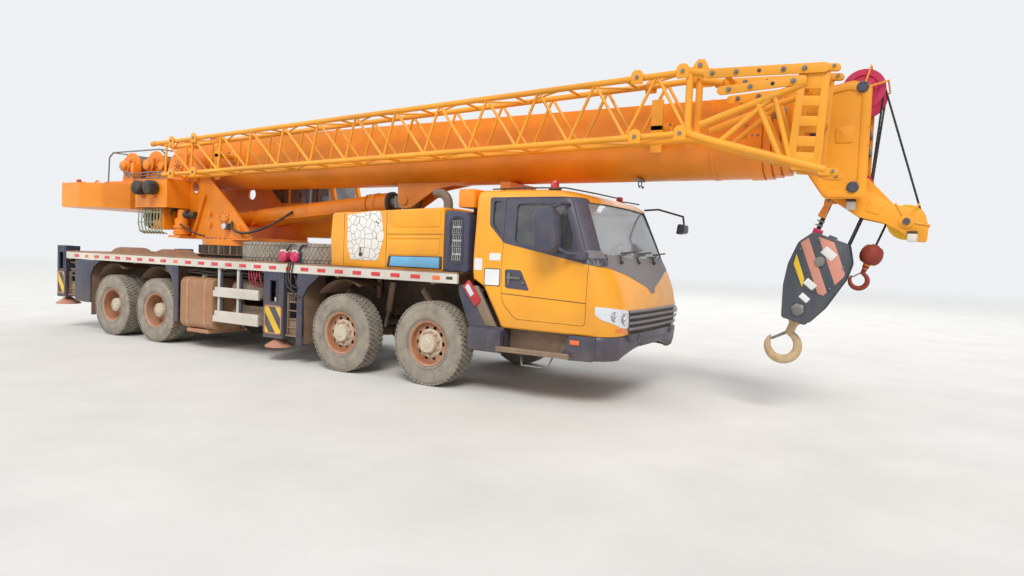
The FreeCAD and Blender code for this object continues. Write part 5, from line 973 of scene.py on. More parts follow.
def door_details(side, sign, body):
    """Handle recess, handle, mirror and crease line of a door; the crease is a dark line of painted shade."""
    recess = rounded([(3.10, 1.593), (3.325, 1.589), (3.452, 1.345), (3.11, 1.362)], 0.03)
    patch("handle_recess_" + side, recess, "XZ", side_span(sign), [], "trim", body, thickness=0.005)
    handle = Shape()
    y = sign * 1.293
    handle.box((3.14, 3.33), both(sign, 1.285, 1.305), (1.475, 1.505))
    handle.box((3.15, 3.18), both(sign, 1.275, 1.30), (1.40, 1.55))
    handle.ball((3.37, y, 1.43), 0.018, 12)
    handle.done("door_handle_" + side, "steel", body, bevel=0.004)
    # The door's crease as a thin dark line: painted shade in the crease.
    for number, line in enumerate(([(3.06, 1.293), (4.212, 1.245), (4.212, 1.2365), (3.06, 1.2845)],)):
        patch("door_line_%d_%s" % (number, side), line, "XZ", side_span(sign), [], "dark", body, thickness=0.001)
    mirror = Shape()
    head = rounded([(3.66, 1.86), (3.63, 2.20), (3.66, 2.34), (3.84, 2.36), (3.92, 2.25), (3.94, 1.98),
                    (3.93, 1.84), (3.80, 1.82)], 0.06)
    mirror.plate("XZ", head, both(sign, 1.42, 1.60))
    mirror.done("mirror_shell_" + side, "trim", body, bevel=0.035)
    arm = Shape()
    arm.chain([(3.93, sign * 1.22, 2.40), (3.88, sign * 1.36, 2.40), (3.84, sign * 1.48, 2.34)], 0.020)
    arm.chain([(4.13, sign * 1.262, 1.80), (3.99, sign * 1.40, 1.82), (3.90, sign * 1.48, 1.88)], 0.022)
    arm.plate("XZ", rounded([(3.93, 1.77), (4.20, 1.735), (4.20, 1.83), (3.98, 1.87)], 0.03), both(sign, 1.24, 1.33))
    arm.done("mirror_arm_" + side, "trim", body, bevel=0.008)


def cab_face():
    """Grille, headlamps, bumper, side skirts and steps."""
    # A dark sheet behind the slats: painted shade in the grille's openings.
    patch("grille_shade_sheet", rounded(GRILLE, 0.02), "YZ", (4.3, 4.9), [], "dark", "carrier", thickness=0.004)
    slats = Shape()
    for z in (0.945, 1.015, 1.085, 1.150):
        rows = []
        for i in range(13):
            y = -0.87 + 1.74 * i / 12
            x = 4.628 - FRONT_BULGE * (y / 1.28) ** 2 - (0.008 if z > 1.1 else 0.0)
            rows.append([(x - 0.02, y, z - 0.020), (x + 0.022, y, z - 0.016), (x + 0.026, y, z + 0.008),
                         (x - 0.02, y, z + 0.020)])
        made, faces = slats.grid(rows, close=True)
        slats.cap(made[0])
        slats.cap(made[-1])
    bmesh.ops.recalc_face_normals(slats.mesh, faces=slats.mesh.faces)
    slats.done("grille_slats", "trim_dusty", "carrier", bevel=0.003)
    for side, sign in SIDES:
        lens = [(sign * 0.893, 1.165), (sign * 0.889, 0.952), (sign * 1.05, 0.966), (sign * 1.255, 1.06),
                (sign * 1.30, 1.215), (sign * 1.12, 1.19)]
        patch("headlamp_" + side, rounded(lens, 0.03), "YZ", (4.33, 4.9), [], "clear_lens", "carrier",
              thickness=0.012)
        bulbs = Shape()
        for y, z, radius in ((0.985, 1.068, 0.074), (1.135, 1.10, 0.062)):
            x = 4.602 - FRONT_BULGE * (y / 1.28) ** 2 - (0.055 if y > 1.0 else 0.0)
            bulbs.lathe([(radius, -0.01), (radius, 0.010), (radius * 0.9, 0.014), (radius * 0.82, -0.002),
                         (radius * 0.45, -0.008), (radius * 0.36, 0.010), (0.0, 0.016)], "x",
                        (x + 0.012, sign * y, z), 28)
        bulbs.done("headlamp_bowls_" + side, "chrome", "carrier")
        marker = [(sign * 0.90, 0.935), (sign * 0.90, 0.905), (sign * 1.12, 0.925), (sign * 1.12, 0.955)]
        patch("front_marker_" + side, marker, "YZ", (4.22, 4.9), [], "amber_lens", "carrier", thickness=0.008)
    # Bumper below the skin: rows follow the cab's plan with the corner round
    rows = []
    levels = [(0.855, 0.0), (0.80, 0.012), (0.70, 0.010), (0.60, -0.012), (0.565, -0.05)]
    for z, proud in levels:
        ring = [p for p in cab_ring(z, 4.60, 1.285, 0.34, 2.6, grow=proud) if p.x > 4.02]
        ring = [Vector((p.x, p.y, z + 0.16 * max(0.0, 1 - abs(p.y) / 0.95) ** 0.5 * (0.86 - z) / 0.30
                        if abs(p.y) < 0.95 and z < 0.8 else z)) for p in ring]
        rows.append(ring)
    inner = [[Vector((p.x - 0.05, p.y * 0.96, p.z)) for p in row] for row in reversed(rows)]
    bumper = Shape()
    made, faces = bumper.grid(rows + inner + [rows[0]])
    bmesh.ops.remove_doubles(bumper.mesh, verts=bumper.mesh.verts, dist=0.0005)
    bmesh.ops.holes_fill(bumper.mesh, edges=bumper.mesh.edges, sides=0)
    bmesh.ops.recalc_face_normals(bumper.mesh, faces=bumper.mesh.faces)
    bumper.done("bumper_skin", "blue_grey", "carrier", bevel=0.006, slot="blue_grey", replaces=("cab_front",))
    face = Shape()
    face.box((4.50, 4.632), (-0.86, 0.86), (0.80, 0.882))
    face.box((4.40, 4.60), (-0.42, 0.42), (0.70, 0.80))
    face.box((4.25, 4.52), (-0.34, -0.28), (0.71, 0.84))
    face.box((4.25, 4.52), (0.28, 0.34), (0.71, 0.84))
    for y in (-0.62, 0.62):
        face.lathe([(0.045, -0.02), (0.045, 0.022), (0.032, 0.026), (0.030, 0.0), (0.0, 0.0)], "x",
                   (4.62, y, 0.835), 20)
    face.done("bumper_face", "blue_grey", "carrier", bevel=0.01)
    for side, sign in SIDES:
        steps_and_guard(side, sign)


def steps_and_guard(side, sign):
    """Step box under the door, its lamp, and the mudguard behind the cab."""
    step = Shape()
    step.box((3.12, 4.10), both(sign, 1.10, 1.125), (0.60, 0.862))
    step.box((3.06, 4.06), both(sign, 1.12, 1.378), (0.575, 0.600))
    step.box((3.06, 4.06), both(sign, 1.352, 1.378), (0.600, 0.640))
    for i in range(9):
        x = 3.14 + 0.10 * i
        step.box((x, x + 0.05), both(sign, 1.15, 1.33), (0.600, 0.606))
    step.done("step_" + side, "step", "carrier", bevel=0.004)
    rung = Shape()
    for x in (3.35, 3.80):
        rung.bar((x, sign * 1.24, 0.575), (x + (0.05 if x < 3.5 else -0.05), sign * 1.30, 0.43), 0.011, 8)
    rung.bar((3.40, sign * 1.30, 0.43), (3.75, sign * 1.30, 0.43), 0.014, 8)
    rung.done("rung_" + side, "steel", "carrier")
    skirt = Shape()
    outline = rounded([(4.02, 0.855), (3.92, 0.60), (4.00, 0.555), (4.34, 0.565), (4.36, 0.855)], 0.03)
    skirt.plate("XZ", outline, both(sign, 1.262, 1.300))
    skirt.done("skirt_" + side, "blue_grey", "carrier", bevel=0.008)
    lamp = Shape().box((4.04, 4.16), both(sign, 1.298, 1.315), (0.745, 0.80))
    lamp.done("skirt_lamp_" + side, "amber_lens", "carrier", bevel=0.006)
    guard = Shape()
    outline = rounded([(2.42, 1.37), (2.42, 1.27), (2.60, 0.84), (2.62, 0.60), (2.66, 0.54), (3.10, 0.54),
                       (3.12, 0.58), (3.12, 0.865), (3.02, 0.865), (2.73, 1.365)], 0.03)
    guard.plate("XZ", outline, both(sign, 1.262, 1.300))
    guard.plate("XZ", rounded([(2.62, 0.84), (2.64, 0.56), (3.12, 0.56), (3.12, 0.84)], 0.03),
                both(sign, 1.10, 1.372))
    guard.done("mudguard_" + side, "blue_grey", "carrier", bevel=0.012)
    strip = Shape()
    strip.plate("XZ", [(2.56, 1.365), (2.72, 1.365), (3.02, 0.872), (2.86, 0.872)], both(sign, 1.298, 1.312))
    strip.done("guard_strip_" + side, "step", "carrier", bevel=0.004)
    red = Shape()
    red.plate("XZ", rounded([(2.50, 1.345), (2.60, 1.44), (2.79, 1.18), (2.70, 1.10)], 0.02), both(sign, 1.300, 1.335))
    red.done("guard_lamp_" + side, "red_lens", "carrier", bevel=0.008)
    lens = Shape()
    lens.plate("XZ", rounded([(2.55, 1.345), (2.60, 1.39), (2.69, 1.26), (2.64, 1.22)], 0.01), both(sign, 1.334, 1.345))
    lens.done("guard_lens_" + side, "clear_lens", "carrier", bevel=0.004)


def cab_roof():
    """Beacons, roof rail lines and the front mirror arm."""
    for side, sign in SIDES:
        beacon = Shape()
        beacon.lathe([(0.062, 0.0), (0.062, 0.03), (0.052, 0.034), (0.050, 0.085), (0.040, 0.105), (0.0, 0.110)],
                     "z", (3.64, sign * 1.07, 2.588), 24)
        beacon.done("beacon_" + side, "red_lens", "carrier", replaces=("fittings",) if side == "right" else ())
        base = Shape().lathe([(0.075, -0.006), (0.078, 0.0), (0.070, 0.018), (0.0, 0.018)], "z",
                             (3.64, sign * 1.07, 2.584), 24)
        base.done("beacon_base_" + side, "dark", "carrier")
    rail = Shape()
    rail.chain([(2.72, -1.02, 2.612), (3.2, -1.03, 2.622), (3.76, -1.02, 2.614), (3.98, -0.98, 2.575),
                (4.03, -0.6, 2.572), (4.055, 0.0, 2.572)], 0.009)
    rail.chain([(2.72, 1.02, 2.612), (3.2, 1.03, 2.622), (3.76, 1.02, 2.614), (3.98, 0.98, 2.575)], 0.009)
    for x in (2.9, 3.3, 3.7):
        for y in (-1.03, 1.03):
            rail.bar((x, y, 2.58), (x, y, 2.62), 0.012, 8)
    rail.chain([(4.02, 1.10, 2.50), (4.20, 1.20, 2.52), (4.56, 1.24, 2.42), (4.58, 1.24, 2.30)], 0.014)
    rail.done("roof_rails", "dark", "carrier")
    small = Shape()
    small.plate("XZ", rounded([(4.50, 2.16), (4.62, 2.18), (4.62, 2.30), (4.52, 2.31)], 0.03), (1.12, 1.34))
    small.done("front_mirror", "trim", "carrier", bevel=0.02)
    box = Shape()
    box.box((2.33, 2.58), (-1.24, -0.90), (2.36, 2.60))
    box.done("roof_box", "orange", "carrier", bevel=0.02)
    panel = Shape()
    panel.box((2.335, 2.57), (-0.885, -0.80), (1.53, 2.50))
    panel.done("cab_back_post", "dark", "carrier", bevel=0.01)


def cushion(name, middle, size, lean, channels, body):
    """A crowned seat pad: its sides pull in between the corners, with sewn channels across and piping round it."""
    long, wide, thick = size
    rows, around, along = [], 36, 30
    turn = Matrix.Translation(middle) @ Matrix.Rotation(math.radians(-lean), 4, "Y")

    def spot(u, angle, grow=0.0):
        end = max(0.0, 1.0 - abs(2 * u - 1) ** 7) ** 0.25
        half = wide / 2 * (0.80 + 0.20 * end) * (1.0 - 0.045 * math.sin(math.pi * u))
        sewn = sum(math.exp(-((u - (k + 1) / (channels + 1)) / 0.022) ** 2) for k in range(channels))
        crown = thick / 2 * (0.34 + 0.66 * end) * (0.86 + 0.14 * math.sin(math.pi * u)) * (1.0 - 0.15 * sewn)
        a, b = math.cos(angle), math.sin(angle)
        side = math.copysign(abs(a) ** 0.42, a)
        rise = math.copysign(abs(b) ** 0.55, b) * (1.0 - 0.10 * abs(side) ** 3)
        return turn @ Vector((long * (u - 0.5), (half + grow) * side, crown * rise))

    for i in range(along + 1):
        u = 0.5 - 0.5 * math.cos(math.pi * i / along)
        rows.append([spot(u, 2 * math.pi * k / around) for k in range(around)])
    pad = Shape()
    made, faces = pad.grid(rows, close=True)
    pad.cap(made[0])
    pad.cap(made[-1])
    bmesh.ops.recalc_face_normals(pad.mesh, faces=pad.mesh.faces)
    piece = pad.done(name, "seat", body, edges=60)
    seam = Shape()
    for angle in (0.0, math.pi):
        seam.chain([spot(0.04 + 0.92 * i / 14, angle, 0.002) for i in range(15)], 0.0045, 6)
    seam.done(name + "_piping", "seat", body)
    return piece


def seat_cushions(name, base, back, lean, wide, body):
    """Base and back cushion of a seat."""
    cushion(name + "_base", base, (0.50, wide, 0.15), 4.0, 2, body)
    cushion(name + "_back", back, (0.58, wide * 0.96, 0.14), 90.0 + lean, 3, body)


def cab_room():
    """Seats, dashboard and steering wheel, seen through the glass."""
    for side, sign in SIDES:
        y = sign * 0.62
        seat_cushions("seat_" + side, (3.30, y, 1.46), (2.97, y, 1.83), 11.0, 0.49, "carrier")
        head = cushion("seat_%s_headrest" % side, (2.885, y, 2.20), (0.19, 0.26, 0.10), 94.0, 0, "carrier")
        if side == "right":
            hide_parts("cab_inside")
    frame_shape = Shape()
    for y in (-0.62, 0.62):
        frame_shape.plate("XZ", rounded([(3.08, 1.14), (3.46, 1.14), (3.50, 1.38), (3.10, 1.38)], 0.03),
                          (y - 0.16, y + 0.16))
    dash = rounded([(4.22, 1.145), (4.42, 1.32), (4.30, 1.68), (4.12, 1.735), (4.02, 1.72), (3.98, 1.60),
                    (4.06, 1.145)], 0.04)
    frame_shape.plate("XZ", dash, (-1.14, 1.14))
    frame_shape.bar((4.04, 0.62, 1.62), (3.78, 0.62, 1.80), 0.03, 12)
    frame_shape.done("dashboard", "dark", "carrier", bevel=0.02)
    bpy.ops.mesh.primitive_torus_add(major_radius=0.215, minor_radius=0.017, major_segments=40, minor_segments=10,
                                     location=(3.76, 0.62, 1.815), rotation=(0, math.radians(-52), 0))
    wheel = bpy.context.object
    wheel.name = "steering_wheel"
    wheel.data.materials.append(MATERIALS["dark"])
    for face in wheel.data.polygons:
        face.use_smooth = True
    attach(wheel, "carrier")
    spokes = Shape()
    turn = Matrix.Rotation(math.radians(-52), 4, "Y")
    for angle in (90, 210, 330):
        direction = turn @ Vector((math.cos(math.radians(angle)), math.sin(math.radians(angle)), 0))
        centre = Vector((3.76, 0.62, 1.815))
        spokes.bar(centre, centre + direction * 0.21, 0.014, 8)
    spokes.ball((3.76, 0.62, 1.815), 0.05, 14)
    spokes.done("steering_spokes", "dark", "carrier")


# Boom, stowed jib and boom head

SECTIONS = [("boom_base", "boom", 0.400, 3.680, 5.62, 5.90), ("boom_section_2", "telescope_2", 0.382, 3.662, 5.90, 5.99),
            ("boom_section_3", "telescope_3", 0.364, 3.644, 5.99, 6.08),
            ("boom_section_4", "telescope_4", 0.346, 3.626, 6.08, 6.17)]
ROUND_Z = 3.190
JIB_Y = -0.905
JIB_TOP = [(-4.50, 3.530), (5.25, 3.845)]
JIB_LOW = [(-4.15, 2.970), (5.25, 3.175)]
JIB_HALF = 0.195
JIB_BAYS = 13


def u_outline(half, top, steps=12):
    """A boom section's outline: flat top and sides over a round underside."""
    points = [(-half, top - 0.03), (-half + 0.03, top), (half - 0.03, top), (half, top - 0.03), (half, ROUND_Z)]
    for i in range(1, steps):
        angle = math.pi * i / steps
        points.append((half * math.cos(angle), ROUND_Z - half * math.sin(angle)))
    points.append((-half, ROUND_Z))
    return points


def band(shape, half, top, low_x, high_x, proud):
    """A band round a boom section."""
    outer, inner = u_outline(half + proud, top + proud), u_outline(half - 0.004, top - 0.004)
    rows = []
    for ring, x in ((inner, low_x), (outer, low_x), (outer, high_x), (inner, high_x), (inner, low_x)):
        rows.append([(x, y, z) for y, z in ring])
    shape.grid(rows, close=True)
    bmesh.ops.recalc_face_normals(shape.mesh, faces=shape.mesh.faces)


def between(line, share):
    (x0, z0), (x1, z1) = line
    return x0 + (x1 - x0) * share, z0 + (z1 - z0) * share


def make_boom():
    ribs = Shape()
    for x in (-3.9, 5.30):
        band(ribs, 0.400, 3.680, x, x + 0.06, 0.010)
    for side, sign in SIDES:
        # Long weld seam low on each side
        ribs.box((-4.7, 5.6), both(sign, 0.398, 0.406), (3.205, 3.222))
    ribs.box((-4.75, 5.6), (-0.30, -0.26), (3.678, 3.694))
    ribs.box((-4.75, 5.6), (0.26, 0.30), (3.678, 3.694))
    ribs.done("boom_seams", "boom", "boom", bevel=0.002)
    bolts = Shape()
    for x in (5.66, 5.72, 5.80, 5.86):
        for z in (3.60, 3.48, 3.36, 3.24):
            for sign in (-1, 1):
                bolts.bar((x, sign * 0.410, z), (x, sign * 0.424, z), 0.013, 6)
    bolts.done("collar_bolts", "steel", "boom")
    for number, (node, body, half, top, low_x, high_x) in enumerate(SECTIONS[1:], 2):
        pads = Shape()
        for y in (-half * 0.62, half * 0.62):
            pads.box((high_x - 0.002, high_x + 0.010), (y - 0.05, y + 0.05), (top - 0.03, top - 0.006))
        for sign in (-1, 1):
            pads.box((high_x - 0.06, high_x - 0.02), both(sign, half + 0.024, half + 0.034), (3.42, 3.54))
        pads.done("pads_%d" % number, "steel", body, bevel=0.003)
    make_jib()
    make_head()
    boom_hooks()


def make_jib():
    """The lattice jib's tubes, braces, end frame and bolted plates."""
    tubes, braces = Shape(), Shape()
    for y in (-JIB_HALF, JIB_HALF):
        for line in (JIB_TOP, JIB_LOW):
            start, end = between(line, 0), between(line, 1)
            tubes.bar((start[0], JIB_Y + y, start[1]), (end[0], JIB_Y + y, end[1]), 0.036, 20)
        for i in range(JIB_BAYS):
            a, b, c = (between(JIB_LOW, i / JIB_BAYS), between(JIB_TOP, (i + 0.5) / JIB_BAYS),
                       between(JIB_LOW, (i + 1) / JIB_BAYS))
            braces.bar((a[0], JIB_Y + y, a[1]), (b[0], JIB_Y + y, b[1]), 0.019, 12)
            braces.bar((b[0], JIB_Y + y, b[1]), (c[0], JIB_Y + y, c[1]), 0.019, 12)
    for line in (JIB_TOP, JIB_LOW):
        for i in range(JIB_BAYS + 1):
            x, z = between(line, i / JIB_BAYS)
            braces.bar((x, JIB_Y - JIB_HALF, z), (x, JIB_Y + JIB_HALF, z), 0.017, 10)
            if i < JIB_BAYS:
                x2, z2 = between(line, (i + 1) / JIB_BAYS)
                ends = (-JIB_HALF, JIB_HALF) if i % 2 else (JIB_HALF, -JIB_HALF)
                braces.bar((x, JIB_Y + ends[0], z), (x2, JIB_Y + ends[1], z2), 0.014, 8)
    for y in (-JIB_HALF, JIB_HALF):
        for line in (JIB_TOP, JIB_LOW):
            for share in (0.0, 1.0):
                x, z = between(line, share)
                tubes.bar((x - 0.05, JIB_Y + y, z - 0.0016), (x + 0.05, JIB_Y + y, z + 0.0016), 0.046, 20)
    tubes.done("jib_chords", "jib", "boom", replaces=("jib",))
    braces.done("jib_braces", "jib", "boom")
    make_jib_end()
    # Bolted plates where the jib is pinned, and its brackets to the boom's side
    plates, pins = Shape(), Shape()
    for x in (-3.92, -3.30, 4.66, 5.18):
        share = (x + 4.5) / 9.75
        low, high = between(JIB_LOW, max(0.0, (x + 4.15) / 9.40))[1], between(JIB_TOP, share)[1]
        for y in (-JIB_HALF - 0.045, JIB_HALF + 0.045):
            for z in (low, high):
                lug = rounded([(x - 0.07, z - 0.075), (x + 0.07, z - 0.075), (x + 0.07, z + 0.05), (x + 0.03, z + 0.085),
                               (x - 0.03, z + 0.085), (x - 0.07, z + 0.05)], 0.02)
                plates.plate("XZ", lug, (JIB_Y + y - 0.010, JIB_Y + y + 0.010))
                pins.bar((x, JIB_Y + y - 0.022, z), (x, JIB_Y + y + 0.022, z), 0.022, 12)
    for x in (-3.23, 4.77):
        # The bracket's arm from the jib to the boom's side
        plates.box((x - 0.07, x + 0.07), (JIB_Y + JIB_HALF - 0.02, -0.4005), (3.30, 3.36))
        plates.box((x - 0.07, x + 0.07), (JIB_Y + JIB_HALF - 0.02, JIB_Y + JIB_HALF + 0.02), (3.04, 3.66))
        plates.box((x - 0.10, x + 0.10), (-0.425, -0.4005), (3.22, 3.44))
        for dz in (-0.09, 0.09):
            for dx in (-0.07, 0.07):
                pins.bar((x + dx, -0.424, 3.33 + dz), (x + dx, -0.440, 3.33 + dz), 0.014, 6)
    plates.done("jib_plates", "jib", "boom", bevel=0.004)
    pins.done("jib_pins", "steel", "boom")


def strip(start, end, half):
    """The outline of a flat bar round a line, with round ends."""
    (x0, z0), (x1, z1) = start, end
    length = math.hypot(x1 - x0, z1 - z0)
    nx, nz = -(z1 - z0) / length, (x1 - x0) / length
    points = []
    for (x, z), turn in (((x1, z1), 0), ((x0, z0), 1)):
        for i in range(7):
            angle = math.pi * (i / 6 + turn) + math.atan2(-nx, nz) - math.pi / 2
            points.append((x + half * math.cos(angle), z + half * math.sin(angle)))
    return points


# Jib end, on one side plate: tubes (start, end, radius), fork bars (start, end, half height) and rungs
END_TUBES = [((5.25, 3.175), (5.45, 3.100), 0.044), ((5.45, 3.100), (6.66, 2.735), 0.044),
             ((5.39, 3.260), (6.44, 3.615), 0.038), ((5.25, 3.845), (5.52, 3.790), 0.044),
             ((5.97, 3.455), (6.22, 2.880), 0.030), ((6.14, 3.500), (6.32, 2.850), 0.026),
             ((5.62, 3.080), (6.10, 3.480), 0.028), ((5.25, 3.845), (5.25, 3.175), 0.040)]
END_FORKS = [((5.45, 3.795), (6.60, 3.745), 0.050), ((5.60, 3.600), (6.40, 3.640), 0.046)]
END_BOLTS = [(5.50, 3.793, 1), (5.75, 3.782, 1), (5.98, 3.772, 0), (6.22, 3.762, 1), (6.42, 3.753, 1), (5.68, 3.604, 1),
             (5.90, 3.615, 1), (6.12, 3.626, 0), (6.32, 3.636, 1)]
END_RUNGS = [(3.66, 0.10), (3.44, 0.05), (3.24, 0.05), (3.04, 0.05), (2.84, 0.09)]


def make_jib_end():
    """Fork bars with holes, diagonals and the slotted frame at the jib's thick end; the empty holes are dark discs of
    painted shade.
    """
    tubes, plates, bolts, holes = Shape(), Shape(), Shape(), Shape()
    for sign in (-1, 1):
        y = JIB_Y + sign * JIB_HALF
        for (x0, z0), (x1, z1), radius in END_TUBES:
            tubes.bar((x0, y, z0), (x1, y, z1), radius, 16)
        out = y + sign * 0.03
        for start, end, half in END_FORKS:
            plates.plate("XZ", strip(start, end, half), (out - 0.012, out + 0.012))
        for x, z, bolt in END_BOLTS:
            if bolt:
                bolts.bar((x, out - 0.030, z), (x, out + 0.030, z), 0.026, 6)
                bolts.bar((x, out - 0.042, z), (x, out + 0.042, z), 0.013, 10)
            else:
                # An empty bolt hole drawn as a dark disc: painted shade in the hole.
                holes.bar((x, out - 0.0135, z), (x, out + 0.0135, z), 0.021, 20)
        left, right = ((6.40, 3.72), (6.335, 2.86)), ((6.62, 3.75), (6.575, 2.74))
        for rail in (left, right):
            plates.plate("XZ", strip(rail[0], rail[1], 0.036), (y - 0.014, y + 0.014))
        for z, half in END_RUNGS:
            share_l, share_r = (left[0][1] - z) / 0.86, (right[0][1] - z) / 1.01
            x0 = left[0][0] - 0.065 * share_l
            x1 = right[0][0] - 0.045 * share_r
            plates.plate("XZ", [(x0, z - half), (x1, z - half - 0.02), (x1, z + half - 0.02), (x0, z + half)],
                         (y - 0.010, y + 0.010))
        ear = rounded([(5.20, 3.80), (5.27, 3.88), (5.33, 3.97), (5.41, 3.96), (5.47, 3.83), (5.40, 3.76), (5.24, 3.76)], 0.02)
        plates.plate("XZ", ear, (y - 0.012, y + 0.012))
        bolts.bar((5.36, y - 0.03, 3.90), (5.36, y + 0.03, 3.90), 0.024, 12)
        for x, z in ((6.70, 2.72), (6.66, 3.75)):
            plates.plate("XZ", strip((x - 0.08, z), (x + 0.05, z - 0.01), 0.035), (y - 0.03, y - 0.012))
            plates.plate("XZ", strip((x - 0.08, z), (x + 0.05, z - 0.01), 0.035), (y + 0.012, y + 0.03))
            bolts.bar((x + 0.03, y - 0.05, z), (x + 0.03, y + 0.05, z), 0.016, 12)
    for x, z in ((6.60, 3.70), (6.60, 3.24), (6.60, 2.76), (5.62, 3.79), (6.40, 3.64), (6.10, 2.905)):
        tubes.bar((x, JIB_Y - JIB_HALF, z), (x, JIB_Y + JIB_HALF, z), 0.030, 14)
    tubes.done("jib_end_tubes", "jib", "boom")
    plates.done("jib_end_plates", "jib", "boom", bevel=0.003)
    bolts.done("jib_end_bolts", "steel", "boom")
    holes.done("jib_end_hole_shade", "dark", "boom")


def sheave_face(shape, x, y, z, radius, wide, hub=0.075):
    """One grooved rope wheel, its hub and rim joined by a thin web."""
    rim = radius - 0.045
    outline = [(hub, -wide / 2 - 0.01), (hub * 1.35, -wide / 2 - 0.006), (hub * 1.4, -0.012), (rim - 0.03, -0.012),
               (rim - 0.02, -wide / 2), (radius, -wide / 2), (radius - 0.028, -0.010), (radius - 0.028, 0.010),
               (radius, wide / 2), (rim - 0.02, wide / 2), (rim - 0.03, 0.012), (hub * 1.4, 0.012),
               (hub * 1.35, wide / 2 + 0.006), (hub, wide / 2 + 0.01), (hub, -wide / 2 - 0.01)]
    shape.lathe(outline, "y", (x, y, z), 48)


ARM = [(6.60, 2.56), (6.86, 2.66), (7.04, 2.60), (7.21, 2.49), (7.53, 2.39), (7.586, 2.25), (7.58, 2.08), (7.44, 2.09),
       (7.30, 2.20), (7.15, 2.28), (6.93, 2.33)]


def boom_hooks():
    """Pair of small hooks for lifting gear under the boom."""
    hooks = Shape()
    for y in (-0.22, -0.10):
        hooks.chain([(4.395, y, 2.80), (4.395, y, 2.72), (4.41, y - 0.012, 2.695), (4.43, y - 0.04, 2.69),
                     (4.44, y - 0.06, 2.71)], 0.008, 8)
    hooks.box((4.36, 4.43), (-0.25, -0.07), (2.772, 2.80))
    hooks.done("boom_hooks", "steel", "boom")


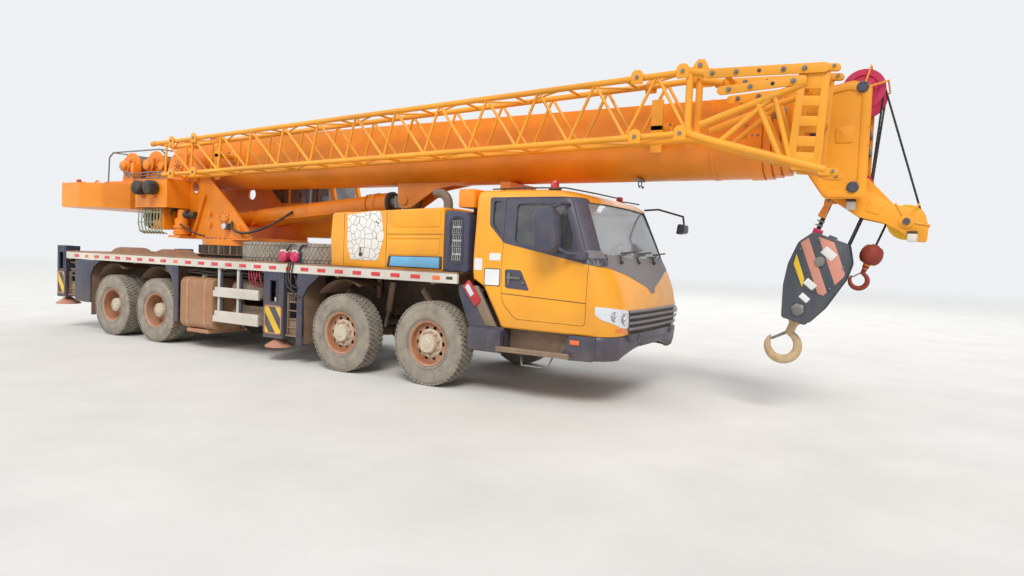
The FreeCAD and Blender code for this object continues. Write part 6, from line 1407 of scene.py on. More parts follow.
def make_head():
    """Sheaves, plate rims, pins and lamps of the boom head."""
    half = 0.358
    sheaves = Shape()
    for y in (-0.24, 0.24):
        sheave_face(sheaves, 6.90, y, 3.70, 0.215, 0.05)
    for y in (-0.11, 0.0, 0.11):
        sheave_face(sheaves, 6.86, y, 2.64, 0.200, 0.05)
    sheaves.done("rope_wheels", "crimson", "telescope_5", slot="red", replaces=("head_sheaves",))
    front_wheel = Shape()
    sheave_face(front_wheel, 7.38, 0.0, 2.29, 0.190, 0.05)
    front_wheel.done("front_wheel", "yellow", "telescope_5", slot="yellow")
    frames, pins = Shape(), Shape()
    for sign in (-1, 1):
        rim = rounded([(6.345, 2.90), (6.585, 2.535), (6.975, 2.535), (6.975, 3.70), (6.80, 3.76), (6.40, 3.685),
                       (6.345, 3.57)], 0.06)
        inner = rounded([(6.42, 2.93), (6.62, 2.61), (6.90, 2.61), (6.90, 3.64), (6.78, 3.69), (6.46, 3.62),
                         (6.42, 3.54)], 0.06)
        rows = []
        count = len(rim)
        for ring, y in ((rim, half - 0.004), (rim, half + 0.012), (inner, half + 0.012), (inner, half - 0.004),
                        (rim, half - 0.004)):
            rows.append([(a, sign * y, b) for a, b in ring])
        frames.grid(rows, close=True)
        for x, z, r in ((6.90, 3.70, 0.060), (6.86, 2.64, 0.060)):
            pins.lathe([(0.0, 0.0), (r, 0.0), (r, sign * 0.024), (r * 0.8, sign * 0.034), (0.0, sign * 0.034)], "y",
                       (x, sign * half, z), 28)
            for i in range(6):
                angle = math.pi * i / 3
                bx, bz = x + 0.045 * math.cos(angle), z + 0.045 * math.sin(angle)
                pins.bar((bx, sign * (half + 0.02), bz), (bx, sign * (half + 0.044), bz), 0.008, 6)
        pins.bar((7.38, sign * 0.150, 2.29), (7.38, sign * 0.200, 2.29), 0.036, 20)
        frames.plate("XZ", rounded([(6.66, 3.12), (6.84, 3.12), (6.84, 3.30), (6.66, 3.30)], 0.03),
                     both(sign, half - 0.002, half + 0.010))
    bmesh.ops.recalc_face_normals(frames.mesh, faces=frames.mesh.faces)
    frames.done("head_frames", "jib", "telescope_5", bevel=0.003)
    for y in (-0.10, 0.10):
        pins.bar((6.97, -half, 3.18 + y), (6.97, half, 3.18 + y), 0.022, 12)
    pins.done("head_pins", "block", "telescope_5")
    guards = Shape()
    for x, z, r in ((6.90, 3.70, 0.243), (7.38, 2.29, 0.215)):
        width = 0.30 if z > 3 else 0.165
        for degrees in (15, 75) if z > 3 else (-10, 60, 120):
            angle = math.radians(degrees)
            gx, gz = x + r * math.cos(angle), z + r * math.sin(angle)
            guards.bar((gx, -width, gz), (gx, width, gz), 0.010, 8)
            for y in (-width, width):
                guards.bar((x + 0.03 * math.cos(angle), y, z + 0.03 * math.sin(angle)), (gx, y, gz), 0.010, 8)
    guards.done("rope_guards", "jib", "telescope_5")
    valves = Shape()
    valves.box((6.40, 6.54), (-half - 0.075, -half + 0.002), (3.30, 3.40))
    for i in range(4):
        valves.bar((6.42 + 0.033 * i, -half - 0.04, 3.22), (6.42 + 0.033 * i, -half - 0.04, 3.31), 0.013, 10)
    valves.done("head_valves", "steel", "telescope_5", bevel=0.004)
    box = Shape().box((6.41, 6.53), (-half - 0.06, -half + 0.002), (3.05, 3.22))
    box.done("head_valve_box", "dark", "telescope_5", bevel=0.008)
    arm = Shape()
    for sign in (-1, 1):
        arm.plate("XZ", rounded(ARM, 0.03), both(sign, 0.142, 0.162))
        arm.lathe([(0.0, 0.0), (0.075, 0.0), (0.075, sign * 0.014), (0.0, sign * 0.014)], "y",
                  (7.38, sign * 0.162, 2.29), 28)
        arm.plate("XZ", rounded([(6.98, 2.40), (7.12, 2.36), (7.16, 2.46), (7.02, 2.52)], 0.02), both(sign, 0.160, 0.170))
    arm.plate("XZ", [(6.99, 2.590), (7.195, 2.480), (7.200, 2.494), (6.995, 2.604)], (-0.145, 0.145))
    arm.done("arm_cheeks", "jib", "telescope_5", bevel=0.004)
    lamps, tops, faces = Shape(), Shape(), Shape()
    for x, y, z in ((6.84, -0.205, 2.47), (7.44, -0.215, 2.13)):
        lamps.box((x - 0.045, x + 0.045), (y - 0.040, y + 0.040), (z - 0.060, z + 0.030))
        tops.box((x - 0.048, x + 0.048), (y - 0.043, y + 0.043), (z + 0.030, z + 0.055))
        tops.box((x - 0.012, x + 0.012), (y - 0.01, -0.14), (z - 0.02, z + 0.02))
        faces.lathe([(0.032, 0.0), (0.032, 0.006), (0.0, 0.010)], "x", (x + 0.045, y, z - 0.015), 20)
    lamps.done("head_lamps", "white", "telescope_5", bevel=0.012)
    tops.done("head_lamp_tops", "dark", "telescope_5", bevel=0.006)
    faces.done("head_lamp_faces", "clear_lens", "telescope_5")
    inside = Shape()
    for x in (6.20, 6.27):
        inside.box((x, x + 0.03), (-0.30, 0.30), (3.10, 3.60))
    for y in (-0.26, -0.13, 0.0, 0.13, 0.26):
        inside.bar((6.18, y, 3.585), (6.34, y, 3.585), 0.03, 12)
    inside.done("section_ends", "soot", "telescope_5", bevel=0.005)


# Carrier: hood, rails, outriggers, tanks and what hangs below the deck

HOOD_SIDE = [(0.150, 1.523), (0.145, 1.60), (0.125, 1.95), (0.150, 2.255), (0.19, 2.285), (2.120, 2.360), (2.150, 2.33),
             (2.150, 1.523)]
VENT = [(0.452, 2.255), (0.462, 1.80), (0.530, 1.622), (1.030, 1.622), (1.135, 1.96), (1.070, 2.30), (0.98, 2.315)]
HOOD_Y = 1.285
STRIP = [(1.200, 1.545), (1.230, 1.700), (2.135, 1.715), (2.135, 1.545)]
HOOD_PRESSES = [[(1.215, 2.32), (1.200, 2.20), (1.275, 2.105), (1.33, 2.09), (2.09, 2.105), (2.09, 2.345)],
                [(1.215, 1.965), (2.09, 1.98), (2.09, 1.95), (1.215, 1.935)],
                [(1.195, 1.905), (2.09, 1.925), (2.09, 1.73), (1.235, 1.715)]]


def wavy(points, rise):
    return [(a, b + rise) for a, b in points]


def make_hood():
    for side, sign in SIDES:
        face = Shape()
        face.plate("XZ", rounded(HOOD_SIDE, 0.03), both(sign, HOOD_Y - 0.030, HOOD_Y))
        face.done("hood_side_" + side, "amber", "carrier", bevel=0.012, slot="yellow",
                  replaces=("engine_hood",) if side == "right" else ())
        press = Shape()
        for outline in HOOD_PRESSES:
            press.plate("XZ", rounded(outline, 0.03), both(sign, HOOD_Y - 0.004, HOOD_Y + 0.008))
        press.done("hood_pressing_" + side, "amber", "carrier", bevel=0.006)
        seams = Shape()
        for x in (0.385, 1.175):
            seams.plate("XZ", [(x, 1.535), (x + 0.006, 1.535), (x + 0.006, 2.26 + 0.035 * x), (x, 2.26 + 0.035 * x)],
                        both(sign, HOOD_Y - 0.001, HOOD_Y + 0.0015))
        seams.plate("XZ", [(1.18, 1.990), (2.14, 2.005), (2.14, 2.012), (1.18, 1.997)],
                    both(sign, HOOD_Y - 0.001, HOOD_Y + 0.0018))
        seams.done("hood_seams_" + side, "dark", "carrier")
        vent = Shape()
        vent.plate("XZ", rounded(VENT, 0.02), both(sign, HOOD_Y - 0.002, HOOD_Y + 0.007))
        vent.done("hood_vent_" + side, "vent", "carrier", bevel=0.003)
        strip = Shape()
        strip.plate("XZ", STRIP, both(sign, HOOD_Y - 0.001, HOOD_Y + 0.0095))
        strip.done("hood_strip_" + side, "dark", "carrier", bevel=0.003)
        plate = Shape()
        plate.plate("XZ", [(1.255, 1.560), (1.275, 1.690), (2.095, 1.702), (2.095, 1.560)],
                    both(sign, HOOD_Y + 0.006, HOOD_Y + 0.012))
        plate.done("hood_plate_" + side, "pale_blue", "carrier", bevel=0.002)
        knob = Shape()
        knob.lathe([(0.028, 0.0), (0.028, sign * 0.014), (0.018, sign * 0.022), (0.0, sign * 0.022)], "y",
                   (0.72, sign * (HOOD_Y + 0.006), 1.70), 20)
        knob.box((0.712, 0.728), both(sign, HOOD_Y + 0.02, HOOD_Y + 0.028), (1.70, 1.80))
        knob.done("hood_lock_" + side, "dark", "carrier", bevel=0.003)
    top = Shape()
    rows = []
    for x, z in ((0.150, 1.523), (0.128, 1.95), (0.152, 2.262), (0.19, 2.288), (1.15, 2.326), (2.11, 2.363),
                 (2.148, 2.34), (2.150, 1.523)):
        row = []
        for y in (-1.262, -1.22, -0.8, -0.4, 0.0, 0.4, 0.8, 1.22, 1.262):
            crown = 0.012 * (1 - (abs(y) / 1.262) ** 2) if z > 2.0 else 0.0
            drop = 0.010 if abs(y) > 1.25 and z > 2.0 else 0.0
            row.append((x - (crown if x < 0.16 and z > 1.9 else 0), y, z + crown - drop))
        rows.append(row)
    top.grid(rows)
    bmesh.ops.recalc_face_normals(top.mesh, faces=top.mesh.faces)
    top.done("hood_top", "amber", "carrier", edges=40)
    lids = Shape()
    for x0, x1 in ((0.35, 0.95), (1.05, 1.65)):
        for y in (-0.55, 0.55):
            rows = [[(x, y + dy, 2.292 + 0.037 * x + dz) for dy in (-0.35, 0.35)]
                    for x, dz in ((x0, 0.004), (x0 + 0.02, 0.020), (x1 - 0.02, 0.020), (x1, 0.004))]
            lids.grid(rows)
            for i in range(8):
                sx = x0 + 0.06 + (x1 - x0 - 0.12) * i / 7
                lids.box((sx - 0.012, sx + 0.012), (y - 0.28, y + 0.28), (2.308 + 0.037 * sx, 2.322 + 0.037 * sx))
    lids.done("hood_lids", "dark", "carrier", bevel=0.003)
    back = Shape()
    for i in range(9):
        z = 1.66 + 0.06 * i
        back.box((0.105, 0.135), (-0.9, 0.9), (z, z + 0.028), Matrix.Rotation(math.radians(25), 4, "Y"))
    back.done("hood_rear_louvres", "amber", "carrier", bevel=0.003)
    make_tower()
    make_exhaust()


def make_tower():
    """Intake tower on the right with three bright slats windows."""
    shell = Shape()
    outline = rounded([(2.160, 1.525), (2.160, 2.29), (2.22, 2.325), (2.50, 2.300), (2.545, 2.24), (2.545, 1.525)], 0.05)
    shell.plate("XZ", outline, (-1.290, -0.905))
    shell.done("tower_shell", "tower", "carrier", bevel=0.02, replaces=("intake_exhaust",))
    rim, bright, dark = Shape(), Shape(), Shape()
    window = rounded([(2.235, 1.68), (2.235, 2.17), (2.31, 2.26), (2.465, 2.245), (2.465, 1.62), (2.33, 1.62)], 0.03)
    inner = rounded([(2.262, 1.70), (2.262, 2.155), (2.325, 2.23), (2.440, 2.218), (2.440, 1.648), (2.335, 1.648)], 0.03)
    rows = []
    for ring, y in ((window, -1.288), (window, -1.302), (inner, -1.302), (inner, -1.289), (window, -1.288)):
        rows.append([(a, y, b) for a, b in ring])
    rim.grid(rows, close=True)
    bmesh.ops.recalc_face_normals(rim.mesh, faces=rim.mesh.faces)
    dark.plate("XZ", inner, (-1.2925, -1.2885))
    for z in (1.755, 1.93, 2.105):
        bright.box((2.300, 2.438), (-1.2985, -1.291), (z - 0.012, z + 0.012))
        for i in range(5):
            x = 2.30 + 0.030 * i
            bright.bar((x, -1.297, z - 0.075), (x + 0.012, -1.297, z + 0.075), 0.005, 6)
        for dz in (-0.078, 0.078):
            bright.bar((2.285, -1.297, z + dz), (2.440, -1.297, z + dz), 0.004, 6)
    rim.done("tower_rim", "blue_grey", "carrier", bevel=0.003)
    bright.done("tower_slats", "chrome", "carrier")
    dark.done("tower_mesh", "dark", "carrier")


def make_exhaust():
    pipe = Shape()
    x, y, radius, bend = 2.06, -1.08, 0.062, 0.15
    foot = 2.355
    rings = [((x, foot - 0.03), 0.0)] + [((x, foot + 0.06), 0.0)]
    for i in range(1, 9):
        angle = math.pi / 2 * i / 8
        rings.append(((x - bend + bend * math.cos(angle), foot + 0.06 + bend * math.sin(angle)), angle))
    rings.append(((x - bend - 0.07, foot + 0.06 + bend), math.pi / 2))
    rows = []
    for inner in (False, True):
        ordered = rings if not inner else reversed(rings)
        for (px, pz), angle in ordered:
            r = radius - (0.008 if inner else 0.0)
            row = []
            for k in range(20):
                t = 2 * math.pi * k / 20
                row.append((px + r * math.cos(t) * math.cos(angle), y + r * math.sin(t),
                            pz + r * math.cos(t) * math.sin(angle)))
            rows.append(row)
    pipe.grid(rows, close=True)
    bmesh.ops.recalc_face_normals(pipe.mesh, faces=pipe.mesh.faces)
    pipe.lathe([(radius + 0.02, -0.02), (radius + 0.02, 0.006), (radius, 0.012)], "z", (x, y, foot - 0.004), 24)
    pipe.done("exhaust_pipe", "soot", "carrier", edges=40)


# Marks along the rail: red ones, an amber one after every sixth
MARK_PITCH = 0.345
MARK_LOW, MARK_HIGH = 1.412, 1.466


def make_rails():
    marks, ambers, bolts = Shape(), Shape(), Shape()
    for side, sign in SIDES:
        for count in range(26):
            target, half = (ambers, 0.060) if count % 8 == 0 else (marks, 0.080)
            x = 2.12 - MARK_PITCH * count
            target.box((x - half, x + half), both(sign, SIDE_Y - 0.001, SIDE_Y + 0.0035), (MARK_LOW, MARK_HIGH))
        # A slot in the rail drawn as a dark box: painted shade in the opening.
        bolts.box((2.28, 2.38), both(sign, SIDE_Y - 0.001, SIDE_Y + 0.004), (1.425, 1.462))
        edge = Shape()
        edge.box((-6.88, 2.45), both(sign, SIDE_Y - 0.10, SIDE_Y - 0.002), (1.500, 1.519))
        edge.done("rail_edge_" + side, "deck", "carrier", bevel=0.004)
    marks.done("rail_marks_red", "reflector", "carrier", bevel=0.001)
    ambers.done("rail_marks_amber", "amber_lens", "carrier", bevel=0.001)
    bolts.done("rail_slot_shade", "dark", "carrier", bevel=0.001)
    tread = Shape()
    plates = [(-6.80, -5.2), (-5.15, -4.35), (-2.20, -0.75), (-0.70, 0.08)]
    for x0, x1 in plates:
        for y0, y1 in ((-1.30, -0.55), (0.55, 1.30)):
            tread.box((x0, x1), (y0, y1), (DECK_TOP - 0.002, DECK_TOP + 0.006))
            tread.box((x0 + 0.03, x0 + 0.10), (y0 + 0.03, y0 + 0.06), (DECK_TOP + 0.005, DECK_TOP + 0.010))
    tread.done("deck_plates", "deck_plate", "carrier", bevel=0.003)
    cover = Shape()
    # Low box covers along the middle of the rear deck, and the arch humps over the drive wheels
    for x0, x1, y0, y1, h in ((-6.6, -4.5, -0.48, 0.48, 0.035), (-2.15, -0.85, -0.46, 0.46, 0.05)):
        cover.box((x0, x1), (y0, y1), (DECK_TOP, DECK_TOP + h))
    for side, sign in SIDES:
        for x in (-5.32, -3.98):
            rows = []
            for i in range(9):
                angle = math.pi * (0.28 + 0.44 * i / 8)
                px, pz = x + 0.66 * math.cos(angle), 0.98 + 0.66 * math.sin(angle)
                rows.append([(px, sign * 0.78, max(pz, DECK_TOP - 0.01)), (px, sign * 1.20, max(pz, DECK_TOP - 0.01))])
            cover.grid(rows)
            for edge_y in (0.78, 1.20):
                ring = [cover.mesh.verts.new((row[0][0], sign * edge_y, row[0][2])) for row in rows]
                cover.mesh.faces.new(ring)
    cover.done("deck_covers", "deck", "carrier", bevel=0.004)
    make_chocks()


def make_chocks():
    """Wheel chocks hung on a bracket, with their hoses, on the right rail."""
    chocks, bracket, hoses = Shape(), Shape(), Shape()
    for x in (-0.78, -0.53):
        chocks.lathe([(0.0, -0.11), (0.05, -0.108), (0.085, -0.075), (0.092, 0.0), (0.085, 0.06), (0.05, 0.095),
                      (0.0, 0.10)], "y", (x, -1.30, 1.615), 20)
    chocks.done("chocks", "crimson", "carrier")
    tops = Shape()
    for x in (-0.78, -0.53):
        tops.box((x - 0.07, x + 0.06), (-1.37, -1.23), (1.64, 1.715), Matrix.Rotation(math.radians(14), 4, "Y"))
    tops.done("chock_tops", "white", "carrier", bevel=0.02)
    bracket.box((-0.92, -0.40), (-1.36, -1.24), (1.519, 1.535))
    bracket.box((-0.44, -0.42), (-1.36, -1.24), (1.53, 1.70))
    for x in (-0.76, -0.51):
        bracket.bar((x, -1.33, 1.68), (x + 0.12, -1.34, 1.80), 0.016, 8)
        bracket.bar((x + 0.12, -1.34, 1.80), (x + 0.20, -1.34, 1.80), 0.012, 8)
    bracket.done("chock_bracket", "blue_grey", "carrier", bevel=0.004)
    for dx, drop in ((0.0, 0.42), (0.05, 0.36), (0.10, 0.50)):
        points = []
        for i in range(9):
            t = i / 8
            points.append((-0.62 + dx + 0.16 * t - 0.12 * math.sin(math.pi * t), -1.392 - 0.012 * dx,
                           1.52 - drop * math.sin(math.pi * t * 0.5)))
        hoses.chain(points, 0.010, 8)
    hoses.done("chock_hoses", "dark", "carrier")


def make_outriggers():
    """Housings' striped plates, flanges and cylinders; the beams' end frames ride with them."""
    places = [("front", -0.95, 0.22, 0.36, 1.37), ("rear", -7.055, 0.155, 0.61, 1.62)]
    for end, x, half, low, high in places:
        for side, sign in SIDES:
            body = "outrigger_%s_%s" % (end, side)
            plate_x = (x - half + 0.028, x + half - 0.028)
            z0, z1 = (low + 0.06, low + 0.50)
            frame_shape = Shape()
            y_span = both(sign, SIDE_Y - 0.004, SIDE_Y + 0.012)
            for span_x, span_z in ((plate_x, (z0, z0 + 0.022)), (plate_x, (z1 - 0.022, z1)),
                                   ((plate_x[0], plate_x[0] + 0.022), (z0, z1)),
                                   ((plate_x[1] - 0.022, plate_x[1]), (z0, z1))):
                frame_shape.box(span_x, y_span, span_z)
            frame_shape.done("stripe_frame_%s_%s" % (end, side), "rim", body, bevel=0.003)
            back = Shape().box(plate_x, both(sign, SIDE_Y - 0.003, SIDE_Y + 0.004), (z0, z1))
            back.done("stripe_plate_%s_%s" % (end, side), "blue_grey", body, bevel=0.002)
            stripes = Shape()
            left, right = plate_x[0] + 0.022, plate_x[1] - 0.022
            low_z, high_z = z0 + 0.022, z1 - 0.022
            for shift in (-0.30, -0.02, 0.26):
                band_points = stripe_band(left, right, low_z, high_z, shift, 0.135, 1.35)
                if len(band_points) > 2:
                    stripes.plate("XZ", band_points, both(sign, SIDE_Y + 0.003, SIDE_Y + 0.0065))
            stripes.done("stripes_%s_%s" % (end, side), "yellow", body)
            rim_shape, cylinder = Shape(), Shape()
            w0, w1 = (low + 0.545, low + 0.90)
            for dx in (-1, 1):
                rim_shape.box((x + dx * 0.085 - 0.012, x + dx * 0.085 + 0.012), both(sign, SIDE_Y - 0.004, SIDE_Y + 0.010),
                              (w0, w1))
            rim_shape.box((x - 0.09, x + 0.09), both(sign, SIDE_Y - 0.004, SIDE_Y + 0.010), (w1 - 0.012, w1 + 0.012))
            for dx in (-1, 1):
                for z in (high - 0.05,):
                    rim_shape.bar((x + dx * (half - 0.05), sign * (SIDE_Y - 0.002), z),
                                  (x + dx * (half - 0.05), sign * (SIDE_Y + 0.012), z), 0.015, 8)
            rim_shape.box((x - half, x + half), both(sign, SIDE_Y - 0.16, SIDE_Y + 0.006), (high - 0.008, high + 0.004))
            rim_shape.done("housing_rim_%s_%s" % (end, side), "blue_grey", body, bevel=0.004)
            cylinder.bar((x, sign * 1.262, low + 0.55), (x, sign * 1.262, low + 0.62), 0.075, 24)
            cylinder.bar((x + 0.02, sign * 1.325, low + 0.48), (x + 0.02, sign * 1.325, low + 0.62), 0.030, 14)
            cylinder.done("jack_gland_%s_%s" % (end, side), "hub", body, bevel=0.004)


def stripe_band(left, right, low, high, shift, wide, slope):
    """The part of a slanting band that lies inside a plate."""
    corners = []
    for x, z in ((left, low), (right, low), (right, high), (left, high)):
        corners.append((x, z))
    start = left + (right - left) * 0.5 + shift
    def inside(points, keep):
        result = []
        for i, point in enumerate(points):
            other = points[(i + 1) % len(points)]
            a, b = keep(point), keep(other)
            if a >= 0:
                result.append(point)
            if a * b < 0:
                t = a / (a - b)
                result.append((point[0] + (other[0] - point[0]) * t, point[1] + (other[1] - point[1]) * t))
        return result
    middle_z = (low + high) / 2
    edge = lambda p: p[0] - start + (p[1] - middle_z) / slope
    points = inside(corners, lambda p: edge(p) + wide / 2)
    return inside(points, lambda p: wide / 2 - edge(p))


def make_below_deck():
    """Fender panels, mud flaps, tanks, guard rails and what shows between the wheels."""
    for side, sign in SIDES:
        fenders = Shape()
        front = [(-0.450, 1.372), (-0.015, 1.372), (-0.015, 1.345), (-0.235, 1.18), (-0.335, 1.02), (-0.335, 0.30),
                 (-0.450, 0.30)]
        middle = [(-3.69, 1.372), (-3.33, 1.372), (-3.33, 0.42), (-3.45, 0.42), (-3.45, 0.98), (-3.52, 1.18), (-3.69, 1.33)]
        rear = [(-6.57, 1.36), (-5.59, 1.372), (-5.74, 1.355), (-5.93, 1.25), (-6.03, 1.08), (-6.03, 0.56),
                (-6.57, 0.56)]
        for outline in (front, middle, rear):
            fenders.plate("XZ", rounded(outline, 0.015), both(sign, SIDE_Y - 0.030, SIDE_Y - 0.006))
        fenders.done("fenders_" + side, "blue_grey", "carrier", bevel=0.006, slot="blue_grey",
                     replaces=("side_panels",) if side == "right" else ())
        flaps = Shape()
        for x in (-0.335, -3.455, -6.035):
            lean = 0.03 if x > -1 else 0.0
            rows = [[(x + lean * (1.2 - z), sign * y, z) for y in (0.92, 1.06, 1.20, 1.352)] for z in (1.36, 1.0, 0.66, 0.33)]
            flaps.grid(rows)
            rows = [[(x + 0.012 + lean * (1.2 - z), sign * y, z) for y in (0.92, 1.06, 1.20, 1.352)]
                    for z in (1.36, 1.0, 0.66, 0.33)]
            flaps.grid(rows)
            flaps.box((x - 0.004, x + 0.014), both(sign, 0.92, 1.352), (0.325, 0.335))
        # Arch liners that follow the wheels
        for x, reach in ((2.0, 0.63), (0.445, 0.66), (-3.98, 0.66), (-5.32, 0.66)):
            first, last = (0.30, 0.62) if x > 1 else (0.35, 0.75)
            rows = []
            for i in range(9):
                angle = math.pi * (first + (last - first) * i / 8)
                rows.append([(x + reach * math.cos(angle), sign * y, min(1.37, HUB_Z + reach * 1.16 * math.sin(angle)))
                             for y in (0.80, 1.08, 1.345)])
            if x < 1:
                flaps.grid(rows)
        bmesh.ops.recalc_face_normals(flaps.mesh, faces=flaps.mesh.faces)
        flaps.done("flaps_" + side, "flap", "carrier", edges=40)
        straps(side, sign)
        guard_rails(side, sign)
        ladders(side, sign)
        make_tank(side, sign)
    make_underside()


def make_tank(side, sign):
    """Fuel tank with rounded edges, filler cap and two straps."""
    x0, x1, z0, z1 = -3.275, -2.425, 0.335, 1.195
    outline = rounded([(sign * 0.72, z0), (sign * (SIDE_Y - 0.012), z0), (sign * (SIDE_Y - 0.012), z1), (sign * 0.72, z1)],
                      0.14, 8)
    tank = Shape()
    tank.plate("YZ", outline, (x0, x1))
    tank.done("fuel_tank_" + side, "tank", "carrier", bevel=0.018, replaces=("tanks",) if side == "right" else ())
    bands = Shape()
    grown_outline = rounded([(sign * 0.712, z0 - 0.008), (sign * (SIDE_Y - 0.002), z0 - 0.008),
                             (sign * (SIDE_Y - 0.002), z1 + 0.008), (sign * 0.712, z1 + 0.008)], 0.145, 8)
    for x in (-3.10, -2.64):
        bands.plate("YZ", grown_outline, (x, x + 0.055))
    bands.box((-3.12, -2.56), both(sign, 0.60, 1.34), (0.27, 0.33))
    bands.done("tank_straps_" + side, "rim", "carrier", bevel=0.006)
    cap = Shape()
    cap.lathe([(0.055, -0.01), (0.055, 0.03), (0.05, 0.04), (0.0, 0.045)], "z", (-2.86, sign * 1.18, z1), 24)
    cap.bar((-2.92, sign * 1.18, z1 + 0.045), (-2.80, sign * 1.18, z1 + 0.045), 0.010, 8)
    cap.done("tank_cap_" + side, "hub", "carrier", bevel=0.003)
    tanks = Shape()
    for z in (0.62, 1.05):
        tanks.lathe([(0.0, -0.40), (0.06, -0.395), (0.12, -0.375), (0.150, -0.33), (0.152, 0.0), (0.150, 0.33),
                     (0.12, 0.375), (0.06, 0.395), (0.0, 0.40)], "x", (-1.85, sign * 1.02, z), 32)
        for x in (-2.10, -1.60):
            tanks.lathe([(0.152, -0.02), (0.158, -0.018), (0.158, 0.018), (0.152, 0.02)], "x", (x, sign * 1.02, z), 32)
    tanks.done("air_tanks_" + side, "dusty", "carrier", edges=40)


def straps(side, sign):
    """Hoses and valve clusters that show under the rail."""
    lines = Shape()
    for i, (y, z) in enumerate(((1.30, 1.30), (1.27, 1.26), (1.24, 1.32))):
        points = [(-3.2 + 0.3 * k, sign * y, z + 0.02 * math.sin(1.7 * k + i)) for k in range(8)]
        lines.chain(points, 0.011, 8)
    lines.done("rail_hoses_" + side, "dark", "carrier")
    wires = Shape()
    random.seed(5)
    for i in range(5):
        x = -1.58 + 0.06 * i
        points = [(x, sign * 1.33, 1.36), (x + 0.02, sign * 1.345, 1.29), (x + random.uniform(-0.04, 0.05), sign * 1.33, 1.20),
                  (x + random.uniform(-0.05, 0.06), sign * 1.22, 1.10)]
        wires.chain(points, 0.008, 6)
    wires.done("valve_hoses_" + side, "crimson", "carrier")


def guard_rails(side, sign):
    bars, posts = Shape(), Shape()
    for z in (0.62, 1.005):
        bars.box((-2.36, -1.31), both(sign, SIDE_Y - 0.048, SIDE_Y - 0.006), (z - 0.062, z + 0.062))
    bars.done("guard_bars_" + side, "white", "carrier", bevel=0.010, slot="rail_white")
    for x in (-2.27, -1.80):
        posts.chain([(x, sign * 1.16, 1.40), (x, sign * 1.24, 1.36), (x, sign * 1.30, 1.28), (x, sign * 1.305, 0.60)], 0.034, 14)
    posts.done("guard_posts_" + side, "blue_grey", "carrier")


def ladders(side, sign):
    """Small steps beside each outrigger housing."""
    steps = Shape()
    for x0, low, high in ((-0.70, 0.42, 1.30), (-6.86, 0.66, 1.34)):
        for dx in (0.0, 0.21):
            steps.box((x0 + dx, x0 + dx + 0.014), both(sign, 1.28, 1.33), (low, high - 0.22))
        for i in range(5):
            z = low + 0.12 + 0.13 * i
            steps.bar((x0 + 0.007, sign * 1.31, z), (x0 + 0.217, sign * 1.31, z), 0.011, 8)
        for dx in (0.06, 0.10, 0.14):
            steps.bar((x0 + dx, sign * 1.31, low + 0.50), (x0 + dx, sign * 1.31, high - 0.24), 0.008, 6)
        steps.box((x0 - 0.01, x0 + 0.23), both(sign, 1.20, 1.35), (low - 0.01, low + 0.012))
        steps.box((x0 + 0.02, x0 + 0.20), both(sign, 1.14, 1.30), (low + 0.012, low + 0.26))
    steps.done("steps_%s" % side, "step", "carrier", bevel=0.003)
    valves = Shape()
    for x0, z0 in ((-0.55, 1.24), (-6.72, 1.20)):
        valves.box((x0 - 0.07, x0 + 0.07), both(sign, 1.16, 1.26), (z0 - 0.05, z0 + 0.05))
        for i in range(3):
            valves.bar((x0 - 0.05 + 0.05 * i, sign * 1.22, z0 - 0.05), (x0 - 0.05 + 0.05 * i, sign * 1.22, z0 - 0.26), 0.009, 8)
        valves.bar((x0 - 0.03, sign * 1.25, z0 + 0.04), (x0 - 0.03, sign * 1.31, z0 + 0.10), 0.02, 10)
    valves.done("valves_%s" % side, "steel", "carrier", bevel=0.003)


def make_underside():
    """Steering rods, dampers and shock absorbers between the front wheels, tail lamps and the rear plate; the spring
    leaves are built but then dropped.
    """
    rods, dampers, leaves = Shape(), Shape(), Shape()
    for x in (2.0, 0.445):
        rods.bar((x - 0.28, -0.76, 0.50), (x - 0.28, 0.76, 0.50), 0.024, 12)
        for sign in (-1, 1):
            dampers.bar((x - 0.62, sign * 0.66, 1.22), (x - 0.36, sign * 0.68, 0.92), 0.055, 18)
            dampers.bar((x - 0.36, sign * 0.68, 0.92), (x - 0.16, sign * 0.66, 0.70), 0.026, 12)
            dampers.bar((x + 0.34, sign * 0.64, 1.30), (x + 0.26, sign * 0.64, 0.86), 0.050, 16)
            dampers.bar((x + 0.26, sign * 0.64, 0.86), (x + 0.20, sign * 0.64, 0.62), 0.024, 12)
    rods.bar((0.55, -0.60, 0.72), (1.86, -0.66, 0.56), 0.026, 12)
    rods.done("steering_rods", "steel", "carrier")
    dampers.done("dampers", "dusty", "carrier")
    for x in (2.0, 0.445, -3.98, -5.32):
        for sign in (-1, 1):
            for i in range(6):
                half = 0.58 - 0.075 * i
                z = 0.80 - 0.016 * i if x > 0 else 0.86 - 0.016 * i
                for direction in (-1, 1):
                    leaves.bar((x, sign * 0.44, z - 0.02), (x + direction * half, sign * 0.44, z + 0.03), 0.009, 6)
    leaves.mesh.free()
    lamps, plates = Shape(), Shape()
    for sign in (-1, 1):
        lamps.box((-6.915, -6.895), both(sign, 0.66, 0.80), (1.03, 1.09))
    lamps.done("tail_lamps", "red_lens", "carrier", bevel=0.004)
    plates.box((-6.905, -6.885), (-0.26, 0.26), (0.93, 1.07))
    plates.done("rear_plate", "white", "carrier", bevel=0.006)


# Superstructure: slewing ring, cheeks, oil tank, counterweight, winches, operator's cab

CHEEK_Y = 0.636


